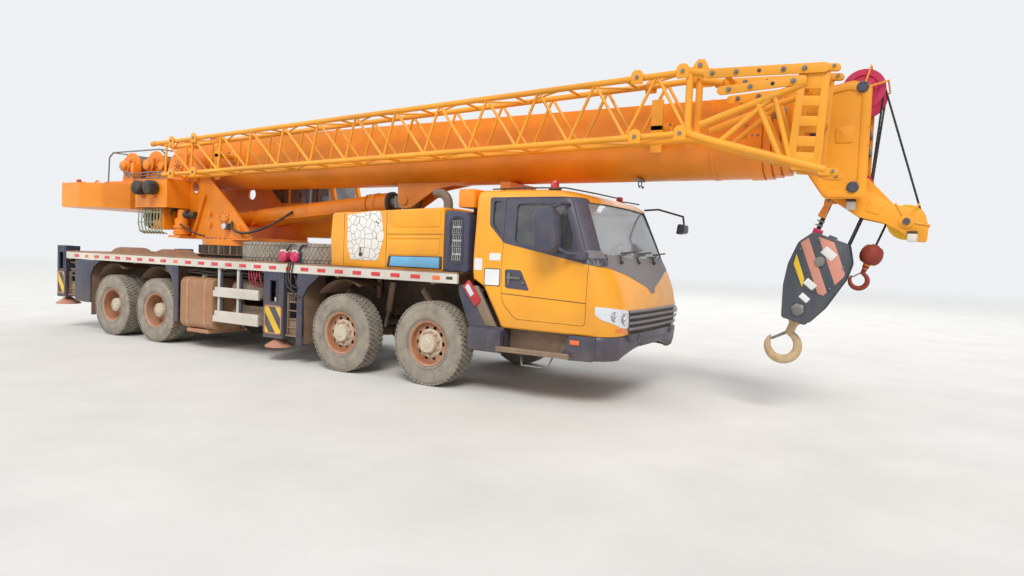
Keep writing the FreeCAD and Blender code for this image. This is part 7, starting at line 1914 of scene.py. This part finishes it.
def make_upper():
    ring = Shape()
    # Teeth of the ring gear below the turntable
    for i in range(120):
        angle = 2 * math.pi * i / 120
        turn = Matrix.Translation((-3.25, 0, 1.665)) @ Matrix.Rotation(angle, 4, "Z") @ Matrix.Translation((0.835, 0, 0))
        bmesh.ops.create_cone(ring.mesh, cap_ends=True, segments=4, radius1=0.022, radius2=0.022, depth=0.145,
                              matrix=turn @ Matrix.Rotation(math.radians(45), 4, "Z"))
    ring.lathe([(0.80, 1.57), (0.835, 1.575), (0.835, 1.742), (0.80, 1.743)], "z", (-3.25, 0, 0), 96)
    ring.done("ring_teeth", "dusty", "carrier", edges=30)
    bolts = Shape()
    for i in range(48):
        angle = 2 * math.pi * (i + 0.5) / 48
        x, y = -3.25 + 0.755 * math.cos(angle), 0.755 * math.sin(angle)
        bolts.bar((x, y, 1.845), (x, y, 1.880), 0.018, 6)
    bolts.done("ring_bolts", "steel", "superstructure")
    ribs, holes, pins = Shape(), Shape(), Shape()
    for sign in (-1, 1):
        # Raised edge ribs of a cheek
        for a, b in (((-4.35, 2.47), (-4.18, 3.38)), ((-2.96, 2.42), (-4.12, 3.44)), ((-2.46, 1.96), (-2.96, 2.42))):
            ribs.bar((a[0], sign * (CHEEK_Y + 0.004), a[1]), (b[0], sign * (CHEEK_Y + 0.004), b[1]), 0.016, 8)
        ribs.plate("XZ", rounded([(-3.98, 1.90), (-3.93, 1.90), (-3.62, 2.62), (-3.66, 2.66)], 0.01),
                   both(sign, CHEEK_Y - 0.002, CHEEK_Y + 0.055))
        ribs.plate("XZ", rounded([(-2.62, 1.90), (-2.58, 1.90), (-2.68, 2.10), (-2.72, 2.10)], 0.01),
                   both(sign, CHEEK_Y - 0.002, CHEEK_Y + 0.06))
        ribs.box((-4.40, -2.42), both(sign, CHEEK_Y - 0.002, CHEEK_Y + 0.060), (1.848, 1.866))
        for x, z, r in ((-4.45, 3.20, 0.125), (-3.12, 2.25, 0.115)):
            holes.lathe([(0.0, 0.0), (r, 0.0), (r, sign * 0.018), (r * 0.86, sign * 0.030), (0.0, sign * 0.030)], "y",
                        (x, sign * (CHEEK_Y + 0.0), z), 32)
            for i in range(8):
                angle = math.pi * i / 4
                bx, bz = x + r * 0.76 * math.cos(angle), z + r * 0.76 * math.sin(angle)
                pins.bar((bx, sign * (CHEEK_Y + 0.02), bz), (bx, sign * (CHEEK_Y + 0.042), bz), 0.011, 6)
        rim = []
        for r, y in ((0.110, CHEEK_Y - 0.02), (0.110, CHEEK_Y + 0.012), (0.130, CHEEK_Y + 0.012), (0.130, CHEEK_Y - 0.01)):
            rim.append((r, sign * y))
        ribs.lathe(rim, "y", (-3.95, 0.0, 2.78), 32)
        for z in (2.10, 2.30):
            ribs.box((-3.52, -3.47), both(sign, CHEEK_Y - 0.002, CHEEK_Y + 0.05), (z - 0.04, z + 0.04))
    ribs.done("cheek_ribs", "orange", "superstructure", bevel=0.003)
    holes.done("cheek_pin_covers", "orange", "superstructure", bevel=0.003)
    pins.done("cheek_pin_bolts", "steel", "superstructure")
    make_slewing_drive()
    make_oil_tank()
    make_counterweight()
    make_winches()
    make_operator_cab()
    make_cylinder()


def make_slewing_drive():
    x, y = -4.13, -0.785
    drive = Shape()
    drive.lathe([(0.0, 2.366), (0.050, 2.366), (0.072, 2.355), (0.074, 2.215), (0.106, 2.205), (0.118, 2.190),
                 (0.118, 2.06), (0.124, 2.055), (0.124, 2.03), (0.118, 2.025), (0.118, 1.965), (0.146, 1.960),
                 (0.146, 1.918), (0.118, 1.912), (0.118, 1.892)], "z", (x, y, 0), 40)
    for i in range(12):
        angle = 2 * math.pi * i / 12
        drive.bar((x + 0.132 * math.cos(angle), y + 0.132 * math.sin(angle), 1.955),
                  (x + 0.132 * math.cos(angle), y + 0.132 * math.sin(angle), 1.978), 0.009, 6)
    drive.done("slew_gearbox", "orange", "superstructure", edges=30)
    motor = Shape()
    motor.bar((x + 0.05, y + 0.02, 2.28), (x + 0.26, y + 0.06, 2.27), 0.060, 20)
    motor.bar((x + 0.24, y + 0.055, 2.27), (x + 0.30, y + 0.07, 2.27), 0.068, 20)
    motor.ball((x + 0.16, y - 0.02, 2.34), 0.030, 12)
    motor.done("slew_motor", "dark", "superstructure", edges=30)
    hoses = Shape()
    for i in range(3):
        points = []
        for k in range(9):
            t = k / 8
            points.append((x - 0.05 - 0.22 * t, y - 0.02 * i - 0.05 * math.sin(math.pi * t),
                           2.33 + 0.09 * math.sin(math.pi * t) - 0.10 * t * i))
        hoses.chain(points, 0.013, 8)
    hoses.chain([(x + 0.10, y - 0.10, 2.10), (x + 0.24, y - 0.02, 2.00), (x + 0.36, y + 0.06, 1.93),
                 (x + 0.52, y + 0.10, 1.90)], 0.016, 8)
    hoses.done("slew_hoses", "dark", "superstructure")


def make_oil_tank():
    """Oil tank with two black caps, and the cage of bars under it."""
    skin = Shape()
    outline = rounded([(-5.06, 2.385), (-4.10, 2.385), (-4.10, 2.90), (-5.06, 2.90)], 0.03)
    skin.plate("XZ", outline, (-1.102, -1.090))
    skin.box((-5.06, -4.10), (-1.11, -0.64), (2.385, 2.400))
    skin.box((-5.06, -4.10), (-1.11, -0.64), (2.886, 2.902))
    skin.box((-4.55, -4.535), (-1.112, -1.09), (2.40, 2.88))
    skin.done("oil_tank_skin", "orange", "superstructure", bevel=0.006)
    caps = Shape()
    for x in (-4.77, -4.42):
        caps.lathe([(0.070, 0.02), (0.070, -0.02), (0.118, -0.03), (0.128, -0.05), (0.128, -0.16), (0.115, -0.19),
                    (0.06, -0.205), (0.0, -0.208)], "y", (x, -1.10, 2.735), 36)
    caps.done("oil_caps", "dark", "superstructure", edges=30)
    cage = Shape()
    for i in range(8):
        x = -5.00 + 0.095 * i
        cage.chain([(x, -1.06, 2.388), (x, -1.075, 2.10), (x + 0.015, -1.045, 1.95), (x + 0.03, -0.95, 1.915)], 0.011, 8)
    for z in (2.30, 2.12, 1.965):
        cage.bar((-5.01, -1.07 if z > 2 else -1.05, z), (-4.32, -1.07 if z > 2 else -1.05, z), 0.009, 8)
    cage.done("oil_cage", "pale_green", "superstructure")
    lines = Shape()
    random.seed(11)
    for i in range(7):
        x = -4.93 + 0.085 * i
        sway = random.uniform(-0.05, 0.05)
        lines.chain([(x, -0.98, 2.39), (x + sway, -1.01, 2.22), (x - sway, -0.96, 2.08), (x + 0.02, -0.86, 2.0)], 0.015, 8)
    lines.done("oil_hoses", "dark", "superstructure")
    valve = Shape()
    valve.box((-4.90, -4.62), (-1.00, -0.86), (2.05, 2.30))
    for i in range(4):
        valve.bar((-4.86 + 0.065 * i, -1.03, 2.12), (-4.86 + 0.065 * i, -0.99, 2.12), 0.022, 10)
    valve.done("oil_valves", "steel", "superstructure", bevel=0.006)


def make_counterweight():
    low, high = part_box("counterweight")
    parts, lamp = Shape(), Shape()
    for y in (-0.9, 0.9):
        parts.lathe([(0.045, 0.0), (0.045, 0.05), (0.03, 0.06), (0.03, 0.02), (0.0, 0.02)], "z", (-7.2, y, high.z - 0.003), 20)
        ring_points = [(-6.7 + 0.07 * math.cos(a), y, high.z + 0.07 * math.sin(a)) for a in
                       [math.pi * k / 10 for k in range(11)]]
        parts.chain(ring_points, 0.014, 8)
    parts.done("weight_eyes", "orange", "superstructure")
    for sign in (-1, 1):
        lamp.lathe([(0.045, 0.0), (0.045, 0.05), (0.035, 0.075), (0.0, 0.080)], "z", (-6.95, sign * 1.12, high.z), 20)
    lamp.done("weight_lamps", "red_lens", "superstructure")
    warn = Shape()
    for y in (-0.95, 0.95):
        warn.plate("YZ", rounded([(y - 0.18, 2.50), (y + 0.18, 2.50), (y + 0.18, 2.76), (y - 0.18, 2.76)], 0.02),
                   (low.x - 0.006, low.x + 0.002))
    warn.done("weight_plates", "blue_grey", "superstructure", bevel=0.002)


def make_winches():
    """Rope layers, flange holes, brake housings and the pipes on the winches."""
    rope, flanges, pipes, small = Shape(), Shape(), Shape(), Shape()
    for x in (-5.64, -6.45):
        for i in range(24):
            y = -0.32 + 0.64 * i / 23
            rope.lathe([(0.212, y - 0.012), (0.222, y), (0.212, y + 0.012)], "y", (x, 0, 3.27), 32)
        for sign in (-1, 1):
            for i in range(6):
                angle = math.pi * i / 3
                flanges.lathe([(0.030, 0.0), (0.030, sign * 0.012), (0.0, sign * 0.012)], "y",
                              (x + 0.17 * math.cos(angle), sign * 0.43, 3.27 + 0.17 * math.sin(angle)), 16)
        flanges.lathe([(0.0, -0.10), (0.06, -0.10), (0.10, -0.085), (0.105, -0.03), (0.135, -0.02), (0.135, 0.0)], "y",
                      (x, -0.47, 3.27), 28)
    rope.done("drum_ropes", "rope", "superstructure", edges=25)
    flanges.done("drum_details", "orange", "superstructure", bevel=0.002)
    for i, z in enumerate((2.98, 3.03, 3.08)):
        y = -0.60 - 0.03 * i
        pipes.chain([(-4.62, y, z), (-5.3, y, z + 0.02), (-5.9, y, z), (-6.2, y, z + 0.06), (-6.32, y, z + 0.18)],
                    0.014, 8)
    for y in (-0.63, 0.56):
        pipes.chain([(-4.84, y, 2.93), (-4.90, y, 3.44), (-5.05, y, 3.53), (-6.62, y, 3.53), (-6.76, y, 3.44),
                     (-6.80, y, 2.86)], 0.014, 8)
    for x in (-5.05, -6.62):
        pipes.bar((x, -0.63, 3.53), (x, 0.56, 3.53), 0.012, 8)
    pipes.done("winch_pipes", "steel", "superstructure")
    small.box((-6.05, -5.95), (-0.62, -0.45), (2.95, 3.30))
    small.box((-5.20, -5.05), (-0.58, -0.40), (2.95, 3.12))
    small.lathe([(0.0, -0.03), (0.08, -0.03), (0.085, 0.03), (0.0, 0.03)], "y", (-5.12, -0.56, 3.22), 24)
    small.done("winch_brackets", "orange", "superstructure", bevel=0.01)
    step = Shape()
    for i in range(9):
        step.box((-6.9 + 0.28 * i, -6.86 + 0.28 * i), (0.62, 0.90), (2.952, 2.958))
    step.box((-6.95, -4.7), (0.62, 0.92), (2.94, 2.954))
    step.done("walkway", "step", "superstructure")


def make_cylinder():
    """Barrel bands, hose and the rod's gland on the luffing cylinder."""
    base, eye = Vector((-3.12, 0, 2.25)), Vector((0.55, 0, 2.56))
    along = (eye - base).normalized()
    turn = Matrix.Translation(base) @ frame_of(along)
    bands = Shape()
    for at, r, wide in ((0.24, 0.172, 0.03), (1.5, 0.170, 0.025), (2.86, 0.189, 0.02), (3.02, 0.189, 0.02)):
        rows = []
        for radius, offset in ((r - 0.012, -wide), (r, -wide), (r, wide), (r - 0.012, wide)):
            rows.append([turn @ Vector((radius * math.cos(2 * math.pi * k / 48), radius * math.sin(2 * math.pi * k / 48),
                                        at + offset)) for k in range(48)])
        bands.grid(rows, close=True)
    bmesh.ops.recalc_face_normals(bands.mesh, faces=bands.mesh.faces)
    for outline in ([(0.176, 3.00), (0.176, 3.30), (0.150, 3.30), (0.128, 3.30), (0.128, 3.00)],
                    [(0.190, 2.98), (0.190, 3.06), (0.170, 3.06), (0.170, 2.98)]):
        bands.grid([[turn @ Vector((r * math.cos(2 * math.pi * k / 48), r * math.sin(2 * math.pi * k / 48), at))
                     for k in range(48)] for r, at in outline + outline[:1]], close=True)
    bmesh.ops.recalc_face_normals(bands.mesh, faces=bands.mesh.faces)
    bands.done("barrel_bands", "orange", "luffing_barrel", edges=30)
    gland = Shape()
    outline = [(0.182, 3.295), (0.182, 3.345), (0.124, 3.345), (0.124, 3.295), (0.182, 3.295)]
    gland.grid([[turn @ Vector((r * math.cos(2 * math.pi * k / 48), r * math.sin(2 * math.pi * k / 48), at))
                 for k in range(48)] for r, at in outline], close=True)
    bmesh.ops.recalc_face_normals(gland.mesh, faces=gland.mesh.faces)
    gland.done("barrel_gland", "dark", "luffing_barrel", edges=30)
    pipe = Shape()
    def on_barrel(at, angle, radius=0.185):
        return turn @ Vector((radius * math.cos(angle), radius * math.sin(angle), at))
    for angle in (math.radians(205),):
        pipe.chain([on_barrel(0.55, angle), on_barrel(1.7, angle), on_barrel(2.80, angle)], 0.011, 8)
    pipe.done("barrel_pipe", "orange", "luffing_barrel")
    cylinder_hose()
    lamp = Shape()
    lamp.box((-3.05, -2.93), (-0.75, -0.64), (2.02, 2.14))
    lamp.done("cheek_lamp_body", "steel", "superstructure", bevel=0.02)
    face = Shape()
    face.lathe([(0.055, 0.0), (0.050, -0.012), (0.0, -0.018)], "y", (-2.99, -0.750, 2.08), 24)
    face.done("cheek_lamp_face", "clear_lens", "superstructure")


def cylinder_hose():
    """Thick hose from the turntable's cheek to the barrel, curving on its way."""
    knots = [(-2.92, -0.63, 2.17), (-2.86, -0.71, 2.07), (-2.68, -0.72, 1.98), (-2.46, -0.71, 1.965),
             (-2.28, -0.62, 2.02), (-2.14, -0.43, 2.14), (-2.04, -0.26, 2.27), (-1.92, -0.17, 2.38)]
    line = bpy.data.curves.new("hose_line", "CURVE")
    line.dimensions = "3D"
    spline = line.splines.new("NURBS")
    spline.points.add(len(knots) - 1)
    for point, knot in zip(spline.points, knots):
        point.co = (*knot, 1.0)
    spline.order_u = 3
    spline.use_endpoint_u = True
    line.bevel_depth = 0.022
    line.bevel_resolution = 4
    holder = bpy.data.objects.new("hose_line", line)
    bpy.context.scene.collection.objects.link(holder)
    bpy.context.view_layer.update()
    data = bpy.data.meshes.new_from_object(holder.evaluated_get(bpy.context.evaluated_depsgraph_get()))
    bpy.data.objects.remove(holder)
    hose = bpy.data.objects.new("cylinder_hose", data)
    bpy.context.scene.collection.objects.link(hose)
    data.materials.clear()
    data.materials.append(MATERIALS["dark"])
    for face in data.polygons:
        face.use_smooth = True
    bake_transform(hose)


def make_operator_cab():
    """Panels, panes and roof of the operator's cab."""
    low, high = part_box("operator_cab")
    glasses, frames = Shape(), Shape()
    y_out, y_in = high.y, low.y
    x0, x1 = low.x, high.x
    side = rounded([(x0 + 0.55, low.z + 0.46), (x1 - 0.16, low.z + 0.46), (x1 - 0.26, high.z - 0.12),
                    (x0 + 0.55, high.z - 0.12)], 0.05)
    quarter = rounded([(x0 + 0.12, low.z + 0.62), (x0 + 0.50, low.z + 0.62), (x0 + 0.50, high.z - 0.12),
                       (x0 + 0.20, high.z - 0.12)], 0.04)
    for outline in (side, quarter):
        for y in (y_out - 0.012, y_in + 0.006):
            glasses.plate("XZ", outline, (y, y + 0.006))
    glasses.done("operator_panes", "glass", "superstructure")
    frames.box((x0 + 0.06, x1 - 0.20), (y_in + 0.02, y_out - 0.02), (high.z - 0.004, high.z + 0.012))
    frames.bar((x0 + 0.60, y_out + 0.010, low.z + 0.75), (x0 + 0.60, y_out + 0.010, low.z + 1.15), 0.012, 8)
    frames.box((x0 + 0.40, x1 - 0.10), (y_out - 0.004, y_out + 0.008), (low.z + 0.06, low.z + 0.40))
    frames.done("operator_trim", "jib", "superstructure", bevel=0.004)
    middle = (y_in + y_out) / 2
    seat_cushions("operator_seat", (x0 + 0.63, middle, low.z + 0.49), (x0 + 0.31, middle, low.z + 0.83), 9.0, 0.44,
                  "superstructure")
    levers = Shape()
    for sign in (-1, 1):
        levers.bar((x0 + 0.86, middle + sign * 0.27, low.z + 0.45), (x0 + 0.92, middle + sign * 0.27, low.z + 0.80), 0.012, 8)
        levers.ball((x0 + 0.92, middle + sign * 0.27, low.z + 0.82), 0.028, 12)
        levers.box((x0 + 0.5, x0 + 0.95), (middle + sign * 0.27 - 0.05, middle + sign * 0.27 + 0.05),
                   (low.z + 0.52, low.z + 0.60))
    levers.done("operator_levers", "dark", "superstructure", bevel=0.006)


# Hook blocks and ropes

BLOCK_PIN = Vector((6.86, 0.0, 2.64))
BLOCK_TILT = 20.0
BLOCK_HALF = 0.200
CHEEK = [(-0.195, -0.575), (0.190, -0.575), (0.300, -0.760), (0.312, -0.950), (0.235, -1.350), (0.135, -1.590),
         (-0.135, -1.605), (-0.262, -1.250), (-0.308, -1.010), (-0.300, -0.740)]
STRIPED = [(-0.180, -0.610), (0.175, -0.610), (0.282, -0.770), (0.290, -0.930), (0.180, -1.200), (-0.060, -1.215),
           (-0.255, -0.990), (-0.280, -0.750)]


def hang(shape, pin, degrees):
    """Swings a shape that was built hanging from the origin onto its pin."""
    turn = Matrix.Translation(pin) @ Matrix.Rotation(math.radians(degrees), 4, "Y")
    bmesh.ops.transform(shape.mesh, matrix=turn, verts=shape.mesh.verts)
    return shape


def clipped(outline, edge):
    """The part of an outline where an edge function is positive."""
    result = []
    for i, point in enumerate(outline):
        other = outline[(i + 1) % len(outline)]
        a, b = edge(point), edge(other)
        if a >= 0:
            result.append(point)
        if a * b < 0:
            t = a / (a - b)
            result.append((point[0] + (other[0] - point[0]) * t, point[1] + (other[1] - point[1]) * t))
    return result


def slanting(outline, start, wide, slope):
    """A slanting band across an outline."""
    first = clipped(outline, lambda p: p[0] - start + (p[1] + 0.87) / slope)
    return clipped(first, lambda p: start + wide - p[0] - (p[1] + 0.87) / slope)


def hook_shape(shape, scale, wide, top):
    """A forged hook with a tapering bowl, its mouth towards -X, below a height."""
    centre = (-0.010 * scale, top - 0.335 * scale)
    rows = []
    steps = 34
    for i in range(steps + 1):
        t = i / steps
        angle = math.radians(92 - 288 * t)
        swell = math.sin(math.pi * min(1.0, t * 1.08)) ** 0.6
        radial = (0.030 + 0.024 * swell) * scale if t < 0.93 else (0.030 - 0.25 * (t - 0.93)) * scale
        across = wide * (0.62 + 0.38 * swell) * (1.0 if t < 0.9 else 1.0 - 4.0 * (t - 0.9))
        middle = (0.152 + 0.012 * t) * scale
        row = []
        for k in range(18):
            a = 2 * math.pi * k / 18
            reach = middle + radial * math.cos(a) * (1.0 if math.cos(a) > 0 else 0.9)
            row.append((centre[0] + reach * math.cos(angle), across * math.sin(a), centre[1] + reach * math.sin(angle)))
        rows.append(row)
    made, faces = shape.grid(rows, close=True)
    shape.cap(made[0])
    shape.cap(made[-1])
    bmesh.ops.recalc_face_normals(shape.mesh, faces=shape.mesh.faces)
    shape.lathe([(0.0, top + 0.02), (0.062 * scale, top + 0.02), (0.062 * scale, top - 0.05 * scale),
                 (0.047 * scale, top - 0.08 * scale), (0.045 * scale, top - 0.2 * scale), (0.0, top - 0.2 * scale)],
                "z", (0, 0, 0), 28)


def make_hooks():
    cheeks = Shape()
    for y in (-BLOCK_HALF, BLOCK_HALF - 0.02):
        cheeks.plate("XZ", rounded(CHEEK, 0.03), (y, y + 0.02))
    for y in (-0.13, 0.13):
        cheeks.plate("XZ", rounded([(a * 0.75, -0.64 + (b + 0.54) * 0.86) for a, b in CHEEK], 0.03), (y - 0.006, y + 0.006))
    inner = BLOCK_HALF - 0.01
    cheeks.box((-0.09, 0.09), (-inner, inner), (-1.59, -1.46))
    cheeks.box((-0.03, 0.03), (-inner, inner), (-0.61, -0.55))
    hang(cheeks, BLOCK_PIN, BLOCK_TILT)
    cheeks.done("block_cheeks", "block", "main_hook", bevel=0.006, slot="hook_grey", replaces=("hook_block",))
    rims, bands, yellow, blanks, bolts = Shape(), Shape(), Shape(), Shape(), Shape()
    for sign in (-1, 1):
        rims.plate("XZ", STRIPED, both(sign, BLOCK_HALF - 0.001, BLOCK_HALF + 0.008))
        paint_span = both(sign, BLOCK_HALF + 0.007, BLOCK_HALF + 0.0105)
        for start, wide in ((-0.160, 0.125), (0.095, 0.175)):
            bands.plate("XZ", slanting(STRIPED, start, wide, 1.19), paint_span)
        yellow.plate("XZ", [(-0.262, -0.870), (-0.075, -1.100), (-0.060, -1.200), (-0.245, -0.990)], paint_span)
        for x, z, w, h, proud in ((0.050, -0.745, 0.15, 0.095, 0.013), (0.005, -1.135, 0.13, 0.080, 0.013),
                                  (0.010, -1.300, 0.11, 0.065, 0.004)):
            turned = [(x + a * 0.94 + c * 0.34, z - a * 0.34 + c * 0.94) for a, c in
                      ((-w / 2, -h / 2), (w / 2, -h / 2), (w / 2, h / 2), (-w / 2, h / 2))]
            blanks.plate("XZ", turned, both(sign, BLOCK_HALF + proud - 0.004, BLOCK_HALF + proud))
        bolts.lathe([(0.075, 0.0), (0.075, sign * 0.022), (0.050, sign * 0.032), (0.0, sign * 0.032)], "y",
                    (0, sign * (BLOCK_HALF + 0.004), -1.45), 6)
        for x, z in ((-0.24, -0.80), (0.25, -0.83), (-0.19, -1.06), (0.21, -1.10), (-0.10, -0.64), (0.06, -1.185)):
            bolts.bar((x, sign * BLOCK_HALF, z), (x, sign * (BLOCK_HALF + 0.026), z), 0.013, 6)
        bolts.lathe([(0.055, 0.0), (0.055, sign * 0.020), (0.0, sign * 0.026)], "y",
                    (0, sign * (BLOCK_HALF + 0.008), -0.86), 24)
    for shape, name, material in ((rims, "block_rims", "block"), (bands, "block_stripes", "pale_pink"),
                                  (yellow, "block_corner", "yellow"), (blanks, "block_plates", "sign"),
                                  (bolts, "block_bolts", "steel")):
        hang(shape, BLOCK_PIN, BLOCK_TILT)
        shape.done(name, material, "main_hook", bevel=0.002 if name != "block_bolts" else 0.0)
    wheels = Shape()
    for y in (-0.11, 0.0, 0.11):
        sheave_face(wheels, 0, y, -0.86, 0.200, 0.046)
    wheels.bar((0, -0.19, -0.86), (0, 0.19, -0.86), 0.040, 20)
    hang(wheels, BLOCK_PIN, BLOCK_TILT).done("block_wheels", "crimson", "main_hook")
    ropes = Shape()
    reach = 0.200 - 0.028 + 0.012
    for x in (-reach, reach):
        for y in (-0.11, 0.0, 0.11):
            rope_between(ropes, (x, y, 0.0), (x, y, -0.86), 0.0115)
    hang(ropes, BLOCK_PIN, BLOCK_TILT).done("block_ropes", "rope", "main_hook", edges=60)
    socket = Shape()
    socket.plate("XZ", rounded([(-0.235, -0.10), (-0.155, -0.10), (-0.150, -0.20), (-0.165, -0.30), (-0.215, -0.30),
                                (-0.240, -0.20)], 0.02), (-0.145, -0.075))
    socket.plate("XZ", rounded([(-0.225, -0.27), (-0.160, -0.27), (-0.150, -0.40), (-0.235, -0.40)], 0.02), (-0.150, -0.070))
    hang(socket, BLOCK_PIN, BLOCK_TILT).done("rope_socket", "orange", "main_hook", bevel=0.012)
    clips = Shape()
    for z in (-0.44, -0.49, -0.54):
        clips.box((-0.215, -0.145), (-0.125, -0.095), (z - 0.008, z + 0.008))
        clips.bar((-0.222, -0.11, z), (-0.138, -0.11, z), 0.008, 8)
    clips.bar((-0.192, -0.152, -0.20), (-0.192, -0.068, -0.20), 0.020, 14)
    hang(clips, BLOCK_PIN, BLOCK_TILT).done("rope_clips", "steel", "main_hook", bevel=0.002)
    red = Shape().box((-0.215, -0.115), (-0.15, -0.06), (-0.60, -0.53))
    hang(red, BLOCK_PIN, BLOCK_TILT).done("rope_stop", "crimson", "main_hook", bevel=0.012)
    hook = Shape()
    hook_shape(hook, 1.05, 0.047, -1.57)
    hang(hook, BLOCK_PIN, BLOCK_TILT).done("main_hook_forging", "hook", "main_hook", edges=50)
    latch = Shape()
    latch.plate("XZ", rounded([(-0.03, -1.735), (0.005, -1.755), (-0.145, -1.915), (-0.17, -1.90)], 0.008), (-0.018, 0.018))
    latch.lathe([(0.0, -0.04), (0.02, -0.04), (0.02, 0.04), (0.0, 0.04)], "y", (-0.012, 0, -1.748), 16)
    hang(latch, BLOCK_PIN, BLOCK_TILT).done("hook_latch", "steel", "main_hook", bevel=0.003)
    make_aux_hook()
    make_ropes()


def rope_between(shape, start, end, radius, sides=10, lay=0.055):
    """A laid rope: a bar whose surface winds in strands."""
    start, end = Vector(start), Vector(end)
    length = (end - start).length
    turn = Matrix.Translation(start) @ frame_of(end - start)
    count = max(2, int(length / lay * 3))
    rows = []
    for i in range(count + 1):
        along = length * i / count
        row = []
        for k in range(sides * 2):
            angle = 2 * math.pi * k / (sides * 2)
            wave = 1.0 + 0.10 * math.cos(6 * (angle - 2 * math.pi * along / (lay * 6)))
            row.append(turn @ Vector((radius * wave * math.cos(angle), radius * wave * math.sin(angle), along)))
        rows.append(row)
    made, faces = shape.grid(rows, close=True)
    shape.cap(made[0])
    shape.cap(made[-1])


def make_aux_hook():
    """Rope, swivel ring, orange link, weight and hook below the front wheel."""
    pin = Vector((7.38, 0.0, 2.29))
    reach = -(0.190 - 0.028 + 0.012)
    rope = Shape()
    rope_between(rope, (reach, 0, 0.0), (reach, 0, -0.36), 0.0115)
    hang(rope, pin, 20).done("aux_rope", "rope", "auxiliary_hook", replaces=("aux_hook",), edges=60)
    ring = Shape()
    ring.lathe([(0.0, -0.330), (0.035, -0.332), (0.045, -0.345), (0.078, -0.352), (0.104, -0.385), (0.117, -0.430),
                (0.118, -0.470), (0.106, -0.515), (0.080, -0.548), (0.045, -0.560), (0.0, -0.562)], "z",
               (reach, 0, 0), 36)
    hang(ring, pin, 20).done("aux_weight", "rust_red", "auxiliary_hook", edges=40)
    link = Shape()
    link.lathe([(0.0, -0.555), (0.036, -0.557), (0.040, -0.575), (0.030, -0.590), (0.030, -0.620), (0.0, -0.622)], "z",
               (reach, 0, 0), 24)
    hang(link, pin, 20).done("aux_swivel", "orange", "auxiliary_hook", edges=40)
    hook = Shape()
    hook_shape(hook, 0.55, 0.026, -0.575)
    bmesh.ops.transform(hook.mesh, matrix=Matrix.Translation((reach, 0, 0)), verts=hook.mesh.verts)
    hang(hook, pin, 20).done("aux_hook_forging", "rust_red", "auxiliary_hook", edges=50)
    latch = Shape()
    latch.bar((reach - 0.008, 0, -0.66), (reach - 0.082, 0, -0.752), 0.007, 8)
    hang(latch, pin, 20).done("aux_latch", "steel", "auxiliary_hook")


def make_ropes():
    """Ropes that stay with the boom's head: down its face and out to the front wheel."""
    ropes = Shape()
    for y in (-0.24, 0.24):
        rope_between(ropes, (6.90 + 0.197, y, 3.70), (6.86 + 0.160, y * 0.46, 2.72), 0.0105)
    rope_between(ropes, (7.085, -0.03, 3.78), (7.38 + 0.125, 0.0, 2.29 + 0.125), 0.0105)
    ropes.done("head_ropes", "rope", "telescope_5", edges=60)
    guide, bracket = Shape(), Shape()
    sheave_face(guide, -4.60, 0.18, 3.755, 0.105, 0.04, hub=0.035)
    guide.done("rope_guide", "crimson", "boom")
    for y in (0.145, 0.215):
        bracket.plate("XZ", rounded([(-4.70, 3.64), (-4.50, 3.64), (-4.57, 3.79), (-4.63, 3.79)], 0.02),
                      (y - 0.006, y + 0.006))
    bracket.done("rope_guide_bracket", "boom", "boom", bevel=0.003)
    back = Shape()
    rope_between(back, (-5.60, 0.16, 3.49), (-4.60, 0.18, 3.845), 0.0105, lay=0.09)
    rope = back.done("winch_rope", "rope", edges=60)
    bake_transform(rope)


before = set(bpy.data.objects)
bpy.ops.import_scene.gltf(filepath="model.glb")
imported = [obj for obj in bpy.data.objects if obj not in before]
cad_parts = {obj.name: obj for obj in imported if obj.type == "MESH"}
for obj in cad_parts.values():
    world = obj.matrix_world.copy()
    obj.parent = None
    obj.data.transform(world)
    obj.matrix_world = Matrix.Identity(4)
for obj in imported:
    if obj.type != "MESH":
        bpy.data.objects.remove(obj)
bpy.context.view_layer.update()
make_camera()
make_light()
make_floor()
finish_nodes(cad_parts)
make_wheels()
make_spare_tyres()
make_cab()
make_boom()
make_hood()
make_rails()
make_outriggers()
make_below_deck()
make_upper()
make_hooks()
